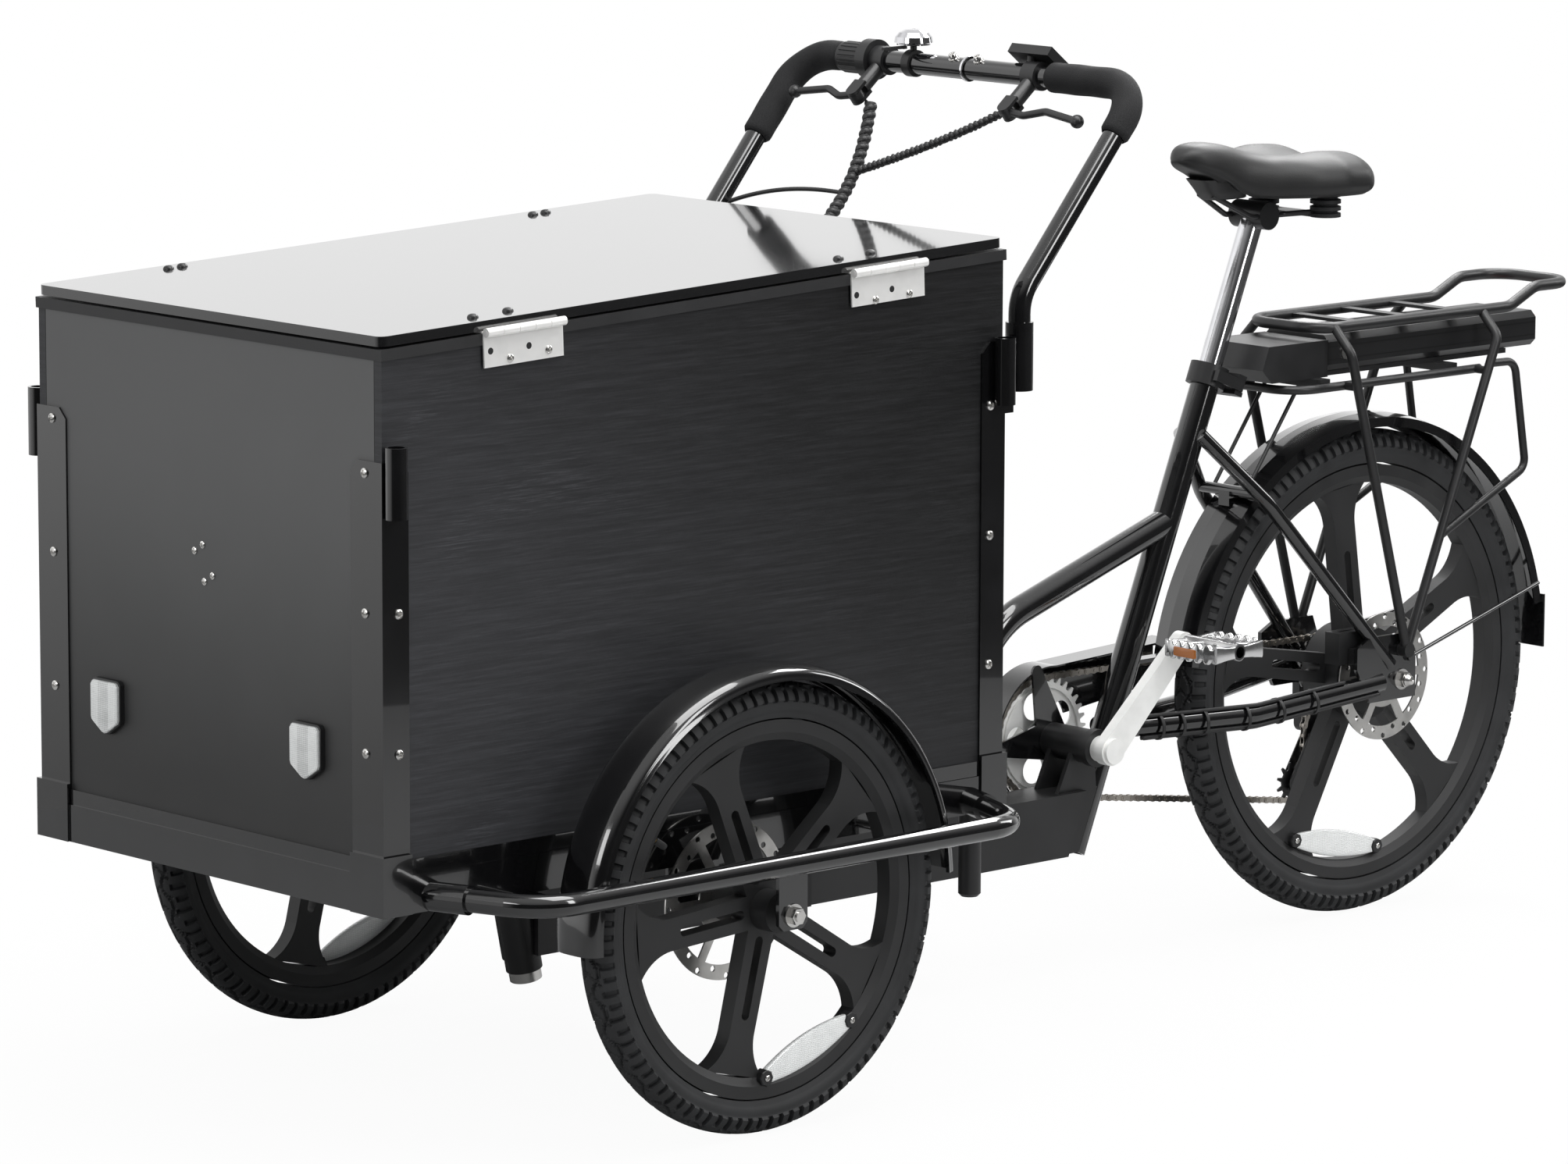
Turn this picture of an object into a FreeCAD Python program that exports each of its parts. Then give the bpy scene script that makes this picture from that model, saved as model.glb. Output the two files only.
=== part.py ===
"""Cargo tricycle: a lidded box between two front wheels, steered as one carriage on a king-pin.

The origin is on the ground under the middle of the whole length, +X forward, +Y left, +Z up.
All lengths are in millimetres and all angles in degrees.
"""

import FreeCAD
import Part
import Sketcher
import math
import os

from FreeCAD import Rotation, Vector

SIZES = {
    # stance
    "wheelbase": 1343,
    "track": 754,
    # box: outer faces of the corner posts, front face measured from the front axle
    "box_front": 464,
    "box_length": 907,
    "box_width": 600,
    "box_top": 892,
    "box_rise": 36,
    "panel_foot": 322,
    "panel_thick": 12,
    "floor_z": 326,
    "floor_thick": 12,
    # corner posts, folded from sheet
    "post_sheet": 2.5,
    "post_end_flange": 52,
    "post_side_flange": 36,
    "front_post_top": 776,
    "rear_post_top": 828,
    "post_corner": 12,
    "post_step": 6,
    # canopy sockets and handlebar sockets on the posts
    "socket_radius": 12,
    "socket_bore": 9,
    "socket_length": 76,
    "socket_inset": 11,
    "socket_sink": 1,
    "front_socket_foot": 717,
    "rear_socket_foot": 757,
    "bar_socket_radius": 16,
    "bar_socket_length": 78,
    "bar_socket_foot": 766,
    "bar_socket_inset": 18,
    "bar_socket_stand": 39,
    "bar_socket_web": 8,
    "bar_socket_web_drop": 24,
    # rim trim and lid, laid out along the sloping top
    "rim_height": 12,
    "rim_seat": 0.02,
    "rim_wall": 2,
    "rim_gap": 0.5,
    "rim_cap": 3,
    "lid_gap": 2.5,
    "lid_thick": 11,
    "lid_inset": 2,
    "lid_corner": 10,
    # hinges on the left edge
    "hinge_length": 110,
    "hinge_front": 138,
    "hinge_pitch": 530,
    "hinge_leaf": 2,
    "hinge_drop": 38,
    "hinge_reach": 32,
    "hinge_knuckle": 5,
    "hinge_pin": 2.5,
    "hinge_fit": 0.05,
    "hinge_play": 0.5,
    "hinge_stand": 5.5,
    # carriage rails under the box
    "rail_foot": 291,
    "rail_step": 333,
    "rail_top": 350,
    "rail_sheet": 4,
    "rail_proud": 1.5,
    "rail_flange": 46,
    "cross_width": 42,
    "cross_wall": 2.5,
    "cross_front": 300,
    "cross_rear": -330,
    "crown_width": 96,
    # wheel guards
    "guard_radius": 12.7,
    "guard_bore": 10.7,
    "guard_z": 306,
    "guard_y": 430,
    "guard_front": 352,
    "guard_rear": -345,
    "guard_front_root": 398,
    "guard_rear_root": -392,
    "guard_bend": 62,
    "guard_socket_radius": 16,
    "guard_socket_length": 46,
    "guard_entry": 12,
    # axle plates
    "axle_plate": 5,
    "axle_plate_width": 42,
    "axle_plate_foot": 234,
    "inner_plate_y": 291,
    "inner_plate_front": 58,
    "inner_plate_rear": -142,
    "inner_plate_waist": 264,
    "inner_plate_half": 26,
    # front axle, hub and wheel
    "front_tyre_radius": 250,
    "front_rim_radius": 209.5,
    "axle_radius": 6,
    "bearing_fit": 0.05,
    "axle_stub": 12,
    "nut_radius": 9.8,
    "nut_height": 8,
    "washer_radius": 13,
    "washer_thick": 2,
    "cone_radius": 9,
    "cone_play": 0.4,
    "hub_radius": 23,
    "hub_out": 36,
    "hub_in": 62,
    "tyre_width": 50,
    "tyre_wall": 5,
    "rim_half": 16,
    "rim_flange": 3,
    "rim_well": 11,
    "rim_depth": 23,
    "spoke_thick": 20,
    "spoke_root": 19,
    "spoke_waist": 18,
    "spoke_flare": 44,
    "spoke_flare_length": 48,
    "spoke_slot": 5.5,
    "spoke_slot_start": 36,
    "spoke_slot_end": 118,
    "spoke_count": 5,
    "front_spoke_angle": 22,
    "rear_spoke_angle": 8,
    # disc brakes
    "front_rotor_radius": 89,
    "rear_rotor_radius": 80,
    "rotor_band": 17,
    "rotor_thick": 2,
    "rotor_arm": 11,
    "rotor_hub": 22,
    "rotor_hole": 3.4,
    "front_rotor_y": 54,
    "rear_rotor_y": 55,
    "caliper_length": 52,
    "caliper_height": 40,
    "caliper_depth": 18,
    "caliper_gap": 2.2,
    "caliper_bracket": 5,
    # mudguards
    "mudguard_gap": 17,
    "mudguard_sheet": 2,
    "mudguard_half": 33,
    "mudguard_skirt": 12,
    "mudguard_crown": 4,
    "front_guard_start": -3,
    "front_guard_end": 178,
    "front_bracket_width": 24,
    "front_bracket_thick": 3,
    # reflectors on the front panel
    "reflector_depth": 11,
    "reflector_width": 50,
    "reflector_height": 62,
    "reflector_y": 175,
    "reflector_z": 453,
    # king-pin, head tube and steering stops
    "kingpin_x": 27,
    "kingpin_z": 178,
    "kingpin_tilt": 12,
    "kingpin_radius": 12,
    "kingpin_foot": 69,
    "kingpin_top": 136,
    "kingpin_cap_radius": 18.5,
    "kingpin_cap_height": 12,
    "kingpin_collar": 28,
    "kingpin_collar_height": 10,
    "head_radius": 23,
    "head_play": 0.5,
    "head_lip_radius": 21,
    "head_lip": 16,
    "stop_x": -420,
    "stop_y": 272,
    "stop_radius": 13,
    "stop_foot": 188,
    "stop_pin": 7,
    # main frame
    "beam_foot": 142,
    "beam_height": 77,
    "beam_width": 60,
    "beam_wall": 4,
    "beam_front": 20,
    "beam_rear": -819,
    "beam_corner": 14,
    "bb_x": -852,
    "bb_z": 273,
    "bb_radius": 21,
    "bb_right": 33,
    "bb_left": 36,
    "bb_cup_radius": 23,
    "bb_cup": 10,
    "spindle_radius": 8.5,
    "bb_web": 6,
    "bb_web_y": 18,
    "bb_web_front": 44,
    "bb_web_rear": 22,
    "seat_tube_radius": 17.5,
    "seat_tube_foot_x": -852,
    "seat_tube_foot_z": 140,
    "seat_angle": 22,
    "seat_tube_length": 617,
    "top_tube_radius": 17,
    "top_tube_bore": 15,
    "top_tube_root": 418,
    "top_tube_knee_x": -722,
    "top_tube_knee_z": 432,
    "top_tube_foot_x": -585,
    "top_tube_bend": 120,
    # rear triangle
    "dropout_y": 82,
    "dropout_thick": 6,
    "dropout_low": 24,
    "dropout_rear": 26,
    "dropout_front": 80,
    "dropout_top": 58,
    "dropout_waist": 46,
    "dropout_toe": 20,
    "chainstay_radius": 12,
    "chainstay_z": 285,
    "chainstay_front_y": 14,
    "chainstay_waist_x": 236,
    "chainstay_waist_y": 58,
    "seatstay_radius": 9,
    "seatstay_root": 530,
    "seatstay_root_y": 17,
    "seatstay_knee_x": 214,
    "seatstay_knee_z": 545,
    "seatstay_knee_y": 56,
    "seatstay_bend": 60,
    "stay_bridge_radius": 7,
    "stay_bridge_x": 224,
    "stay_bridge_z": 555,
    "stay_end_x": 34,
    "stay_top_x": 18,
    # rear wheel and its hub motor
    "rear_tyre_radius": 305,
    "rear_rim_radius": 261,
    "motor_radius": 58,
    "motor_half": 30,
    "motor_lip": 50,
    "motor_lip_half": 34,
    "rear_spoke_slot_start": 74,
    "rear_spoke_slot_end": 150,
    "rotor_boss_end": 56,
    "freewheel_boss": 16,
    "freewheel_boss_end": 72,
    "rear_caliper_x": 42,
    "rear_caliper_z": 25,
    "rear_caliper_depth": 12,
    "rear_bracket_x": 58,
    "rear_bracket_width": 20,
    # rear mudguard
    "rear_guard_start": 8,
    "rear_guard_end": 170,
    "flap_width": 74,
    "flap_length": 58,
    "flap_thick": 3,
    "stay_rod": 2.5,
    "stay_rod_x": -14,
    "stay_rod_z": 27,
    "stay_rod_eye": 6,
    "stay_rod_rear": -311,
    "stay_rod_rear_z": 81,
    "guard_tab_half": 9,
    "guard_tab_thick": 5,
    # rack
    "rack_z": 752,
    "rack_y": 64,
    "rack_tube": 7,
    "rack_front": 135,
    "rack_knee": 210,
    "rack_loop_rise": 22,
    "rack_loop_step": 48,
    "rack_loop_reach": 331,
    "rack_bend": 40,
    "rack_slat": 16,
    "rack_slat_thick": 4,
    "rack_slat_first": 48,
    "rack_slat_pitch": -88,
    "rack_low_z": 680,
    "rack_low_y": 70,
    "rack_low_tube": 5.5,
    "rack_low_front": 186,
    "rack_low_rear": -150,
    "rack_leg_tube": 6,
    "rack_leg_y": 93,
    "rack_leg_front": 108,
    "rack_leg_rear": -158,
    "rack_leg_foot": 38,
    "rack_leg_bend": 36,
    "rack_loop_tube": 5,
    "rack_side_top": -190,
    "rack_side_low": -214,
    "rack_side_z": 552,
    "rack_side_top_z": 688,
    "rack_side_foot_share": 0.64,
    "rack_leg_knee": 30,
    "rack_cross_width": 18,
    "rack_cross_front": 130,
    "rack_cross_rear": -100,
    "rack_foot_radius": 9,
    "rack_brace_y": 28,
    # battery, its dock and controller case
    "battery_front": 108,
    "battery_rear": -272,
    "battery_width": 108,
    "battery_foot": 697,
    "battery_height": 44,
    "battery_corner": 8,
    "tail_light": 16,
    "dock_thick": 6,
    "dock_gap": 0.6,
    "dock_front": 224,
    "dock_nose": 34,
    "dock_top": 736,
    "lock_radius": 8,
    "lock_depth": 12,
    "lock_proud": 2.5,
    "lock_x": 78,
    "lock_z": 718,
    # crankset, chain and freewheel
    "crank_length": 170,
    "crank_angle": 136,
    "crank_boss": 18,
    "crank_eye": 13,
    "crank_thick": 14,
    "crank_y": 56,
    "crank_right_y": 77,
    "crank_gap": 0.6,
    "crank_cap": 5,
    "pedal_barrel": 11,
    "pedal_axle": 7,
    "pedal_gap": 4,
    "pedal_width": 88,
    "pedal_length": 92,
    "pedal_height": 24,
    "pedal_bar": 9,
    "chain_pitch": 12.7,
    "chain_y": -54,
    "ring_teeth": 36,
    "ring_thick": 2,
    "ring_root": 4.6,
    "ring_tip": 3.6,
    "ring_window": 17,
    "ring_window_radius": 41,
    "ring_lip": 64,
    "ring_lip_width": 3,
    "ring_boss": 24,
    "cog_teeth": 18,
    "cog_thick": 2,
    "cog_gap": 4.9,
    "cog_step": 2,
    "cog_count": 7,
    "cog_body": 20,
    "pulley_teeth": 11,
    "guide_x": 5,
    "guide_z": 229,
    "tension_x": 48,
    "tension_z": 160,
    "cage_plate": 1.6,
    "cage_half": 7,
    "cage_rim": 11,
    "pulley_pin": 3,
    "link_plate": 0.8,
    "link_inner": 1.7,
    "link_height": 8,
    "link_pin": 1.8,
    "hanger_drop": 29,
    "hanger_depth": 12,
    # chain guard
    "case_outer": 73,
    "case_inner": 36,
    "case_sheet": 2,
    "case_radius": 90,
    "case_opening": 60,
    "case_rear": -1062,
    "case_rear_top": 372,
    "case_rear_foot": 312,
    "case_bracket": 3,
    "case_bracket_half": 8,
    "case_bracket_hub": 26,
    "case_start": -40,
    "case_end": 96,
    "case_tuck": 160,
    # seat post and saddle
    "post_radius": 14.3,
    "post_sink": 150,
    "post_fit": 0.08,
    "post_rise": 194,
    "post_wall": 2.5,
    "collar_radius": 24,
    "collar_height": 26,
    "collar_ear": 16,
    "lever_length": 46,
    "lever_thick": 7,
    "lever_width": 14,
    "saddle_nose": 136,
    "saddle_tail": -142,
    "saddle_stand": 30,
    "saddle_tall": 63,
    "saddle_half": 104,
    "saddle_rail": 3.5,
    "saddle_rail_y": 22,
    "bellows_radius": 19,
    "bellows_groove": 15,
    "bellows_x": -72,
    "bellows_y": 52,
    "bellows_ribs": 4,
    "clamp_half": 27,
    "clamp_radius": 17,
    # handlebar and what it carries
    "bar_radius": 12.7,
    "bar_bore": 10.7,
    "bar_knee_z": 873,
    "bar_x": -672,
    "bar_z": 1099,
    "bar_y": 285,
    "bar_top_bend": 52,
    "bar_ring_radius": 14.5,
    "bar_ring_half": 3,
    "bar_split": 0.5,
    "grip_radius": 18,
    "left_grip_in": 138,
    "right_grip_in": 214,
    "left_grip_share": 0.24,
    "right_grip_share": 0.42,
    "perch_half": 11,
    "perch_radius": 17,
    "left_perch_y": 112,
    "right_perch_y": 145,
    "lever_pivot": 3,
    "lever_reach": 46,
    "lever_fall": 38,
    "lever_span": 118,
    "right_lever_span": 102,
    "lever_blade": 9,
    "lever_ball": 8,
    "lever_eye": 9,
    "lever_cheek": 4,
    "lever_play": 0.4,
    "lever_neck": 12,
    "lever_bend": 14,
    "lever_bow": 5,
    "twist_radius": 19,
    "twist_length": 40,
    "twist_gap": 0.4,
    "shifter_radius": 24,
    "shifter_length": 16,
    "bell_radius": 23,
    "bell_height": 16,
    "bell_wall": 1.5,
    "bell_y": -95,
    "bell_rise": 25,
    "bell_stem": 4,
    "bell_clamp": 6,
    "bell_hammer": 2,
    "bell_hammer_reach": 34,
    "bell_base": 20,
    "bell_pivot": 16,
    "bell_pivot_pin": 1.5,
    "display_y": 104,
    "display_width": 66,
    "display_depth": 52,
    "display_thick": 12,
    "display_rise": -6,
    "display_back": 34,
    "display_post_height": 10,
    "display_lean": 38,
    "display_post": 10,
    # cables
    "loom_radius": 8,
    "cable_radius": 2.8,
    "wrap_radius": 5,
    "loom_1_x": -634,
    "loom_1_y": -127.6,
    "loom_1_z": 1052,
    "loom_2_x": -614,
    "loom_2_y": -116,
    "loom_2_z": 1000,
    "loom_3_x": -560,
    "loom_3_y": -110,
    "loom_3_z": 925,
    "loom_4_x": -452.7,
    "loom_4_y": -108,
    "loom_4_z": 846,
    "loom_5_x": -452.7,
    "loom_5_y": -108,
    "loom_5_z": 254,
    "loom_6_x": -70,
    "loom_6_y": -70,
    "loom_6_z": 254,
    "loom_bend": 30,
    "wrap_1_x": -632,
    "wrap_1_y": 94,
    "wrap_1_z": 1056,
    "wrap_2_x": -612,
    "wrap_2_y": 20,
    "wrap_2_z": 1018,
    "wrap_3_x": -595,
    "wrap_3_y": -113,
    "wrap_3_z": 974,
    "wrap_bend": 60,
    "cable_1_x": -578,
    "cable_1_y": -112,
    "cable_1_z": 950,
    "cable_2_x": -560,
    "cable_2_y": -200,
    "cable_2_z": 958,
    "cable_3_x": -537,
    "cable_3_y": -270,
    "cable_3_z": 930,
    "cable_bend": 40,
    "overrun": 20,
}

doc = FreeCAD.newDocument("CargoTricycle")
sheet = doc.addObject("Spreadsheet::Sheet", "Sizes")
for row, (name, value) in enumerate(SIZES.items(), start=1):
    sheet.set(f"A{row}", name)
    sheet.set(f"B{row}", str(value))
    sheet.setAlias(f"B{row}", name)
doc.recompute()


class Size:
    """A length, angle or count: its number, and the sheet expression that gives it."""

    def __init__(self, number, text):
        self.number = float(number)
        self.text = text

    def __add__(self, other):
        return Size(self.number + number_of(other), f"({self.text} + {text_of(other)})")

    def __radd__(self, other):
        return Size(number_of(other) + self.number, f"({text_of(other)} + {self.text})")

    def __sub__(self, other):
        return Size(self.number - number_of(other), f"({self.text} - {text_of(other)})")

    def __rsub__(self, other):
        return Size(number_of(other) - self.number, f"({text_of(other)} - {self.text})")

    def __mul__(self, other):
        return Size(self.number * number_of(other), f"({self.text} * {text_of(other)})")

    __rmul__ = __mul__

    def __truediv__(self, other):
        return Size(self.number / number_of(other), f"({self.text} / {text_of(other)})")

    def __neg__(self):
        return Size(-self.number, f"(0 - {self.text})")


def number_of(value):
    return value.number if isinstance(value, Size) else float(value)


def text_of(value):
    return value.text if isinstance(value, Size) else repr(float(value))


def sin_of(angle):
    return Size(math.sin(math.radians(angle.number)), f"sin({angle.text})")


def cos_of(angle):
    return Size(math.cos(math.radians(angle.number)), f"cos({angle.text})")


def tan_of(angle):
    return Size(math.tan(math.radians(angle.number)), f"tan({angle.text})")


class Values:
    """The driving dimensions, read from the sheet by name."""

    def __getattr__(self, name):
        return Size(sheet.get(name), f"Sizes.{name}")


S = Values()
SIDES = (1, -1)
TURNS = {
    "x": Rotation(Vector(0, 1, 0), 90),
    "y": Rotation(Vector(1, 0, 0), -90),
    "z": Rotation(),
}
FULL_TURN = 360
nodes = []


def vec(x, y, z):
    return Vector(number_of(x), number_of(y), number_of(z))


def bind(thing, prop, value):
    thing.setExpression(prop, text_of(value))


def place(thing, x=0, y=0, z=0):
    for axis, value in zip("xyz", (x, y, z)):
        bind(thing, f"Placement.Base.{axis}", value)
    return thing


def node(name, thing):
    """Give a finished piece the name that its file takes."""
    thing.Label = name
    nodes.append(thing)
    return thing


def shaped(name, shape):
    made = doc.addObject("Part::Feature", name)
    made.Shape = shape
    return made


def block(name, x, y, z):
    made = doc.addObject("Part::Box", name)
    for prop, span in zip(("Length", "Width", "Height"), (x, y, z)):
        bind(made, prop, span[1] - span[0])
    return place(made, x[0], y[0], z[0])


def rod(name, radius, x, y, z, length, axis="z"):
    made = doc.addObject("Part::Cylinder", name)
    bind(made, "Radius", radius)
    bind(made, "Height", length)
    made.Placement = FreeCAD.Placement(Vector(), TURNS[axis])
    return place(made, x, y, z)


def bar(name, radius, start, end):
    """A round bar between two points."""
    made = doc.addObject("Part::Cylinder", name)
    bind(made, "Radius", radius)
    squares = [f"({text_of(b)} - {text_of(a)})^2" for a, b in zip(start, end)]
    made.setExpression("Height", f"sqrt({' + '.join(squares)})")
    made.Placement = FreeCAD.Placement(Vector(), Rotation(Vector(0, 0, 1), vec(*end) - vec(*start)))
    return place(made, *start)


def fuse(name, *things, refine=True):
    made = doc.addObject("Part::MultiFuse", name)
    made.Shapes = list(things)
    made.Refine = refine
    return made


def cut(name, base, *tools):
    for tool in tools:
        made = doc.addObject("Part::Cut", name)
        made.Base = base
        made.Tool = tool
        base = made
    return base


def group(name, *things):
    made = doc.addObject("Part::Compound", name)
    made.Links = list(things)
    return made


def mirrored(name, thing):
    """The same piece on the other side of the middle plane."""
    made = doc.addObject("Part::Mirroring", name)
    made.Source = thing
    made.Normal = Vector(0, 1, 0)
    return made


def both_sides(name, thing):
    return group(name, thing, mirrored(f"{name}_right", thing))


def origin_plane(body, role):
    return [feature for feature in body.Origin.OriginFeatures if feature.Role == role][0]


def outline_sketch(body, role, outline, holes=()):
    """A closed outline of straight lines and round holes, each point tied to the sheet."""
    sketch = body.newObject("Sketcher::SketchObject", f"{body.Name}_sketch")
    sketch.AttachmentSupport = (origin_plane(body, role), [""])
    sketch.MapMode = "FlatFace"
    points = [vec(u, v, 0) for u, v in outline]
    count = len(points)
    lines = [Part.LineSegment(points[i], points[(i + 1) % count]) for i in range(count)]
    sketch.addGeometry(lines, False)
    for i in range(count):
        sketch.addConstraint(Sketcher.Constraint("Coincident", i, 2, (i + 1) % count, 1))
    for i, (u, v) in enumerate(outline):
        for kind, value in (("DistanceX", u), ("DistanceY", v)):
            index = sketch.addConstraint(Sketcher.Constraint(kind, -1, 1, i, 1, number_of(value)))
            sketch.setExpression(f"Constraints[{index}]", text_of(value))
    for u, v, radius in holes:
        circle = sketch.addGeometry(Part.Circle(vec(u, v, 0), Vector(0, 0, 1), number_of(radius)), False)
        for kind, value in (("DistanceX", u), ("DistanceY", v)):
            index = sketch.addConstraint(Sketcher.Constraint(kind, -1, 1, circle, 3, number_of(value)))
            sketch.setExpression(f"Constraints[{index}]", text_of(value))
        index = sketch.addConstraint(Sketcher.Constraint("Radius", circle, number_of(radius)))
        sketch.setExpression(f"Constraints[{index}]", text_of(radius))
    return sketch


def plate(name, plane, outline, thick, middle, holes=()):
    """A flat piece: an outline padded evenly about its middle plane."""
    body = doc.addObject("PartDesign::Body", name)
    pad = body.newObject("PartDesign::Pad", f"{name}_pad")
    pad.Profile = outline_sketch(body, f"{plane}_Plane", outline, holes)
    pad.SideType = "Symmetric"
    bind(pad, "Length", thick)
    body.Tip = pad
    where = {"XY": (0, 0, middle), "XZ": (0, middle, 0), "YZ": (middle, 0, 0)}[plane]
    return place(body, *where)


def turned(name, outline, axis, x, y, z):
    """A turned piece: an outline of radius and height, swung about its axis."""
    body = doc.addObject("PartDesign::Body", name)
    sketch = outline_sketch(body, "XZ_Plane", outline)
    swing = body.newObject("PartDesign::Revolution", f"{name}_turn")
    swing.Profile = sketch
    swing.ReferenceAxis = (sketch, ["V_Axis"])
    swing.Angle = FULL_TURN
    body.Tip = swing
    body.Placement = FreeCAD.Placement(Vector(), TURNS[axis])
    return place(body, x, y, z)


def route(points, bend):
    """Straight runs through the points, joined by tangent arcs."""
    spots = [vec(*point) for point in points]
    radius = number_of(bend)
    edges = []
    start = spots[0]
    for before, corner, after in zip(spots, spots[1:], spots[2:]):
        back = (before - corner).normalize()
        ahead = (after - corner).normalize()
        half_turn = (math.pi - back.getAngle(ahead)) / 2
        reach = radius * math.tan(half_turn)
        entry = corner + back * reach
        leave = corner + ahead * reach
        inward = (back + ahead).normalize()
        middle = corner + inward * (radius / math.cos(half_turn) - radius)
        edges.append(Part.LineSegment(start, entry).toShape())
        edges.append(Part.Arc(entry, middle, leave).toShape())
        start = leave
    edges.append(Part.LineSegment(start, spots[-1]).toShape())
    return Part.Wire(edges)


def tube(name, points, bend, radius, bore=None):
    """A bent tube, or a solid rod without a bore."""
    path = shaped(f"{name}_path", route(points, bend))
    start = vec(*points[0])
    turn = Rotation(Vector(0, 0, 1), vec(*points[1]) - start)
    sweeps = []
    for size in (radius, bore):
        if size is None:
            continue
        section = doc.addObject("Part::Circle", f"{name}_section")
        bind(section, "Radius", size)
        section.Placement = FreeCAD.Placement(start, turn)
        made = doc.addObject("Part::Sweep", name)
        made.Sections = [section]
        made.Spine = (path, [])
        made.Solid = True
        sweeps.append(made)
    return sweeps[0] if bore is None else cut(name, *sweeps)


def spun(shape, centre, angle):
    """A copy of a shape turned about an axis along Y."""
    made = shape.copy()
    made.rotate(centre, Vector(0, 1, 0), angle)
    return made


# Stations that everything is placed by
front_end = S.box_front - S.post_sheet + S.reflector_depth
rear_end = S.rack_loop_reach + S.rack_tube
fx = (S.wheelbase + rear_end - front_end) / 2
rx = fx - S.wheelbase
wheel_y = S.track / 2
front = fx + S.box_front
rear = front - S.box_length
half = S.box_width / 2
panel_front = front - S.post_sheet
panel_rear = rear + S.post_sheet
panel_y = half - S.post_sheet
inner_y = panel_y - S.panel_thick


def top_at(x):
    """Height of the sloping top edge of the panels."""
    return S.box_top + (front - x) * S.box_rise / S.box_length


# Box panels: the sides run the whole length and the ends stand between them
side_outline = [
    (panel_rear, S.panel_foot),
    (panel_front, S.panel_foot),
    (panel_front, top_at(panel_front)),
    (panel_rear, top_at(panel_rear)),
]
side_panel = plate("side_panel", "XZ", side_outline, S.panel_thick, panel_y - S.panel_thick / 2)

front_panel = block(
    "front_panel", (panel_front - S.panel_thick, panel_front), (-inner_y, inner_y),
    (S.panel_foot, top_at(panel_front)))
rear_panel = block(
    "rear_panel", (panel_rear, panel_rear + S.panel_thick), (-inner_y, inner_y),
    (S.panel_foot, top_at(panel_rear + S.panel_thick)))
other_side = mirrored("side_panel_right", side_panel)
node("box_panels", group("panels", side_panel, other_side, front_panel, rear_panel))

node("box_floor", block(
    "floor", (panel_rear + S.panel_thick, panel_front - S.panel_thick), (-inner_y, inner_y),
    (S.floor_z, S.floor_z + S.floor_thick)))

# Rim trim: a channel that caps the panel edges, made flat and laid along the slope
slope = math.degrees(math.atan2(S.box_rise.number, S.box_length.number))
slope_turn = Rotation(Vector(0, 1, 0), slope)
rim_top = S.box_top + S.rim_cap + S.rim_seat
rim_inner = S.panel_thick + 2 * S.rim_gap + 2 * S.rim_wall
rim_long = S.box_length / math.cos(math.radians(slope))


def on_slope(thing, rise=0):
    """Lay a piece that was made from the front edge backwards along the sloping rim."""
    thing.Placement = FreeCAD.Placement(Vector(), slope_turn)
    return place(thing, front, 0, rim_top + rise)


rim_block = block("rim_block", (-rim_long, 0), (-half, half), (-S.rim_height, 0))
rim_mouth = block(
    "rim_mouth", (rim_inner - rim_long, -rim_inner), (rim_inner - half, half - rim_inner),
    (-S.rim_height, 0))
slot_out = block(
    "rim_slot_out", (S.rim_wall - rim_long, -S.rim_wall), (S.rim_wall - half, half - S.rim_wall),
    (-S.rim_height, -S.rim_cap))
slot_core = block(
    "rim_slot_core",
    (rim_inner - S.rim_wall - rim_long, S.rim_wall - rim_inner),
    (rim_inner - S.rim_wall - half, half - rim_inner + S.rim_wall),
    (-S.rim_height, -S.rim_cap))
rim_slot = cut("rim_slot", slot_out, slot_core)
node("rim_trim", on_slope(cut("rim", rim_block, rim_mouth, rim_slot)))

# Lid: a flat board with rounded corners just above the rim
lid_board = block(
    "lid_board", (S.lid_inset - S.box_length, -S.lid_inset), (S.lid_inset - half, half - S.lid_inset),
    (S.lid_gap, S.lid_gap + S.lid_thick))
doc.recompute()
lid_round = doc.addObject("Part::Fillet", "lid_round")
lid_round.Base = lid_board
upright = [
    index for index, edge in enumerate(lid_board.Shape.Edges, start=1)
    if abs(edge.tangentAt(edge.FirstParameter).z) > math.cos(math.radians(slope))
]
lid_round.Edges = [(index, S.lid_corner.number, S.lid_corner.number) for index in upright]
node("lid", on_slope(lid_round))

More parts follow.
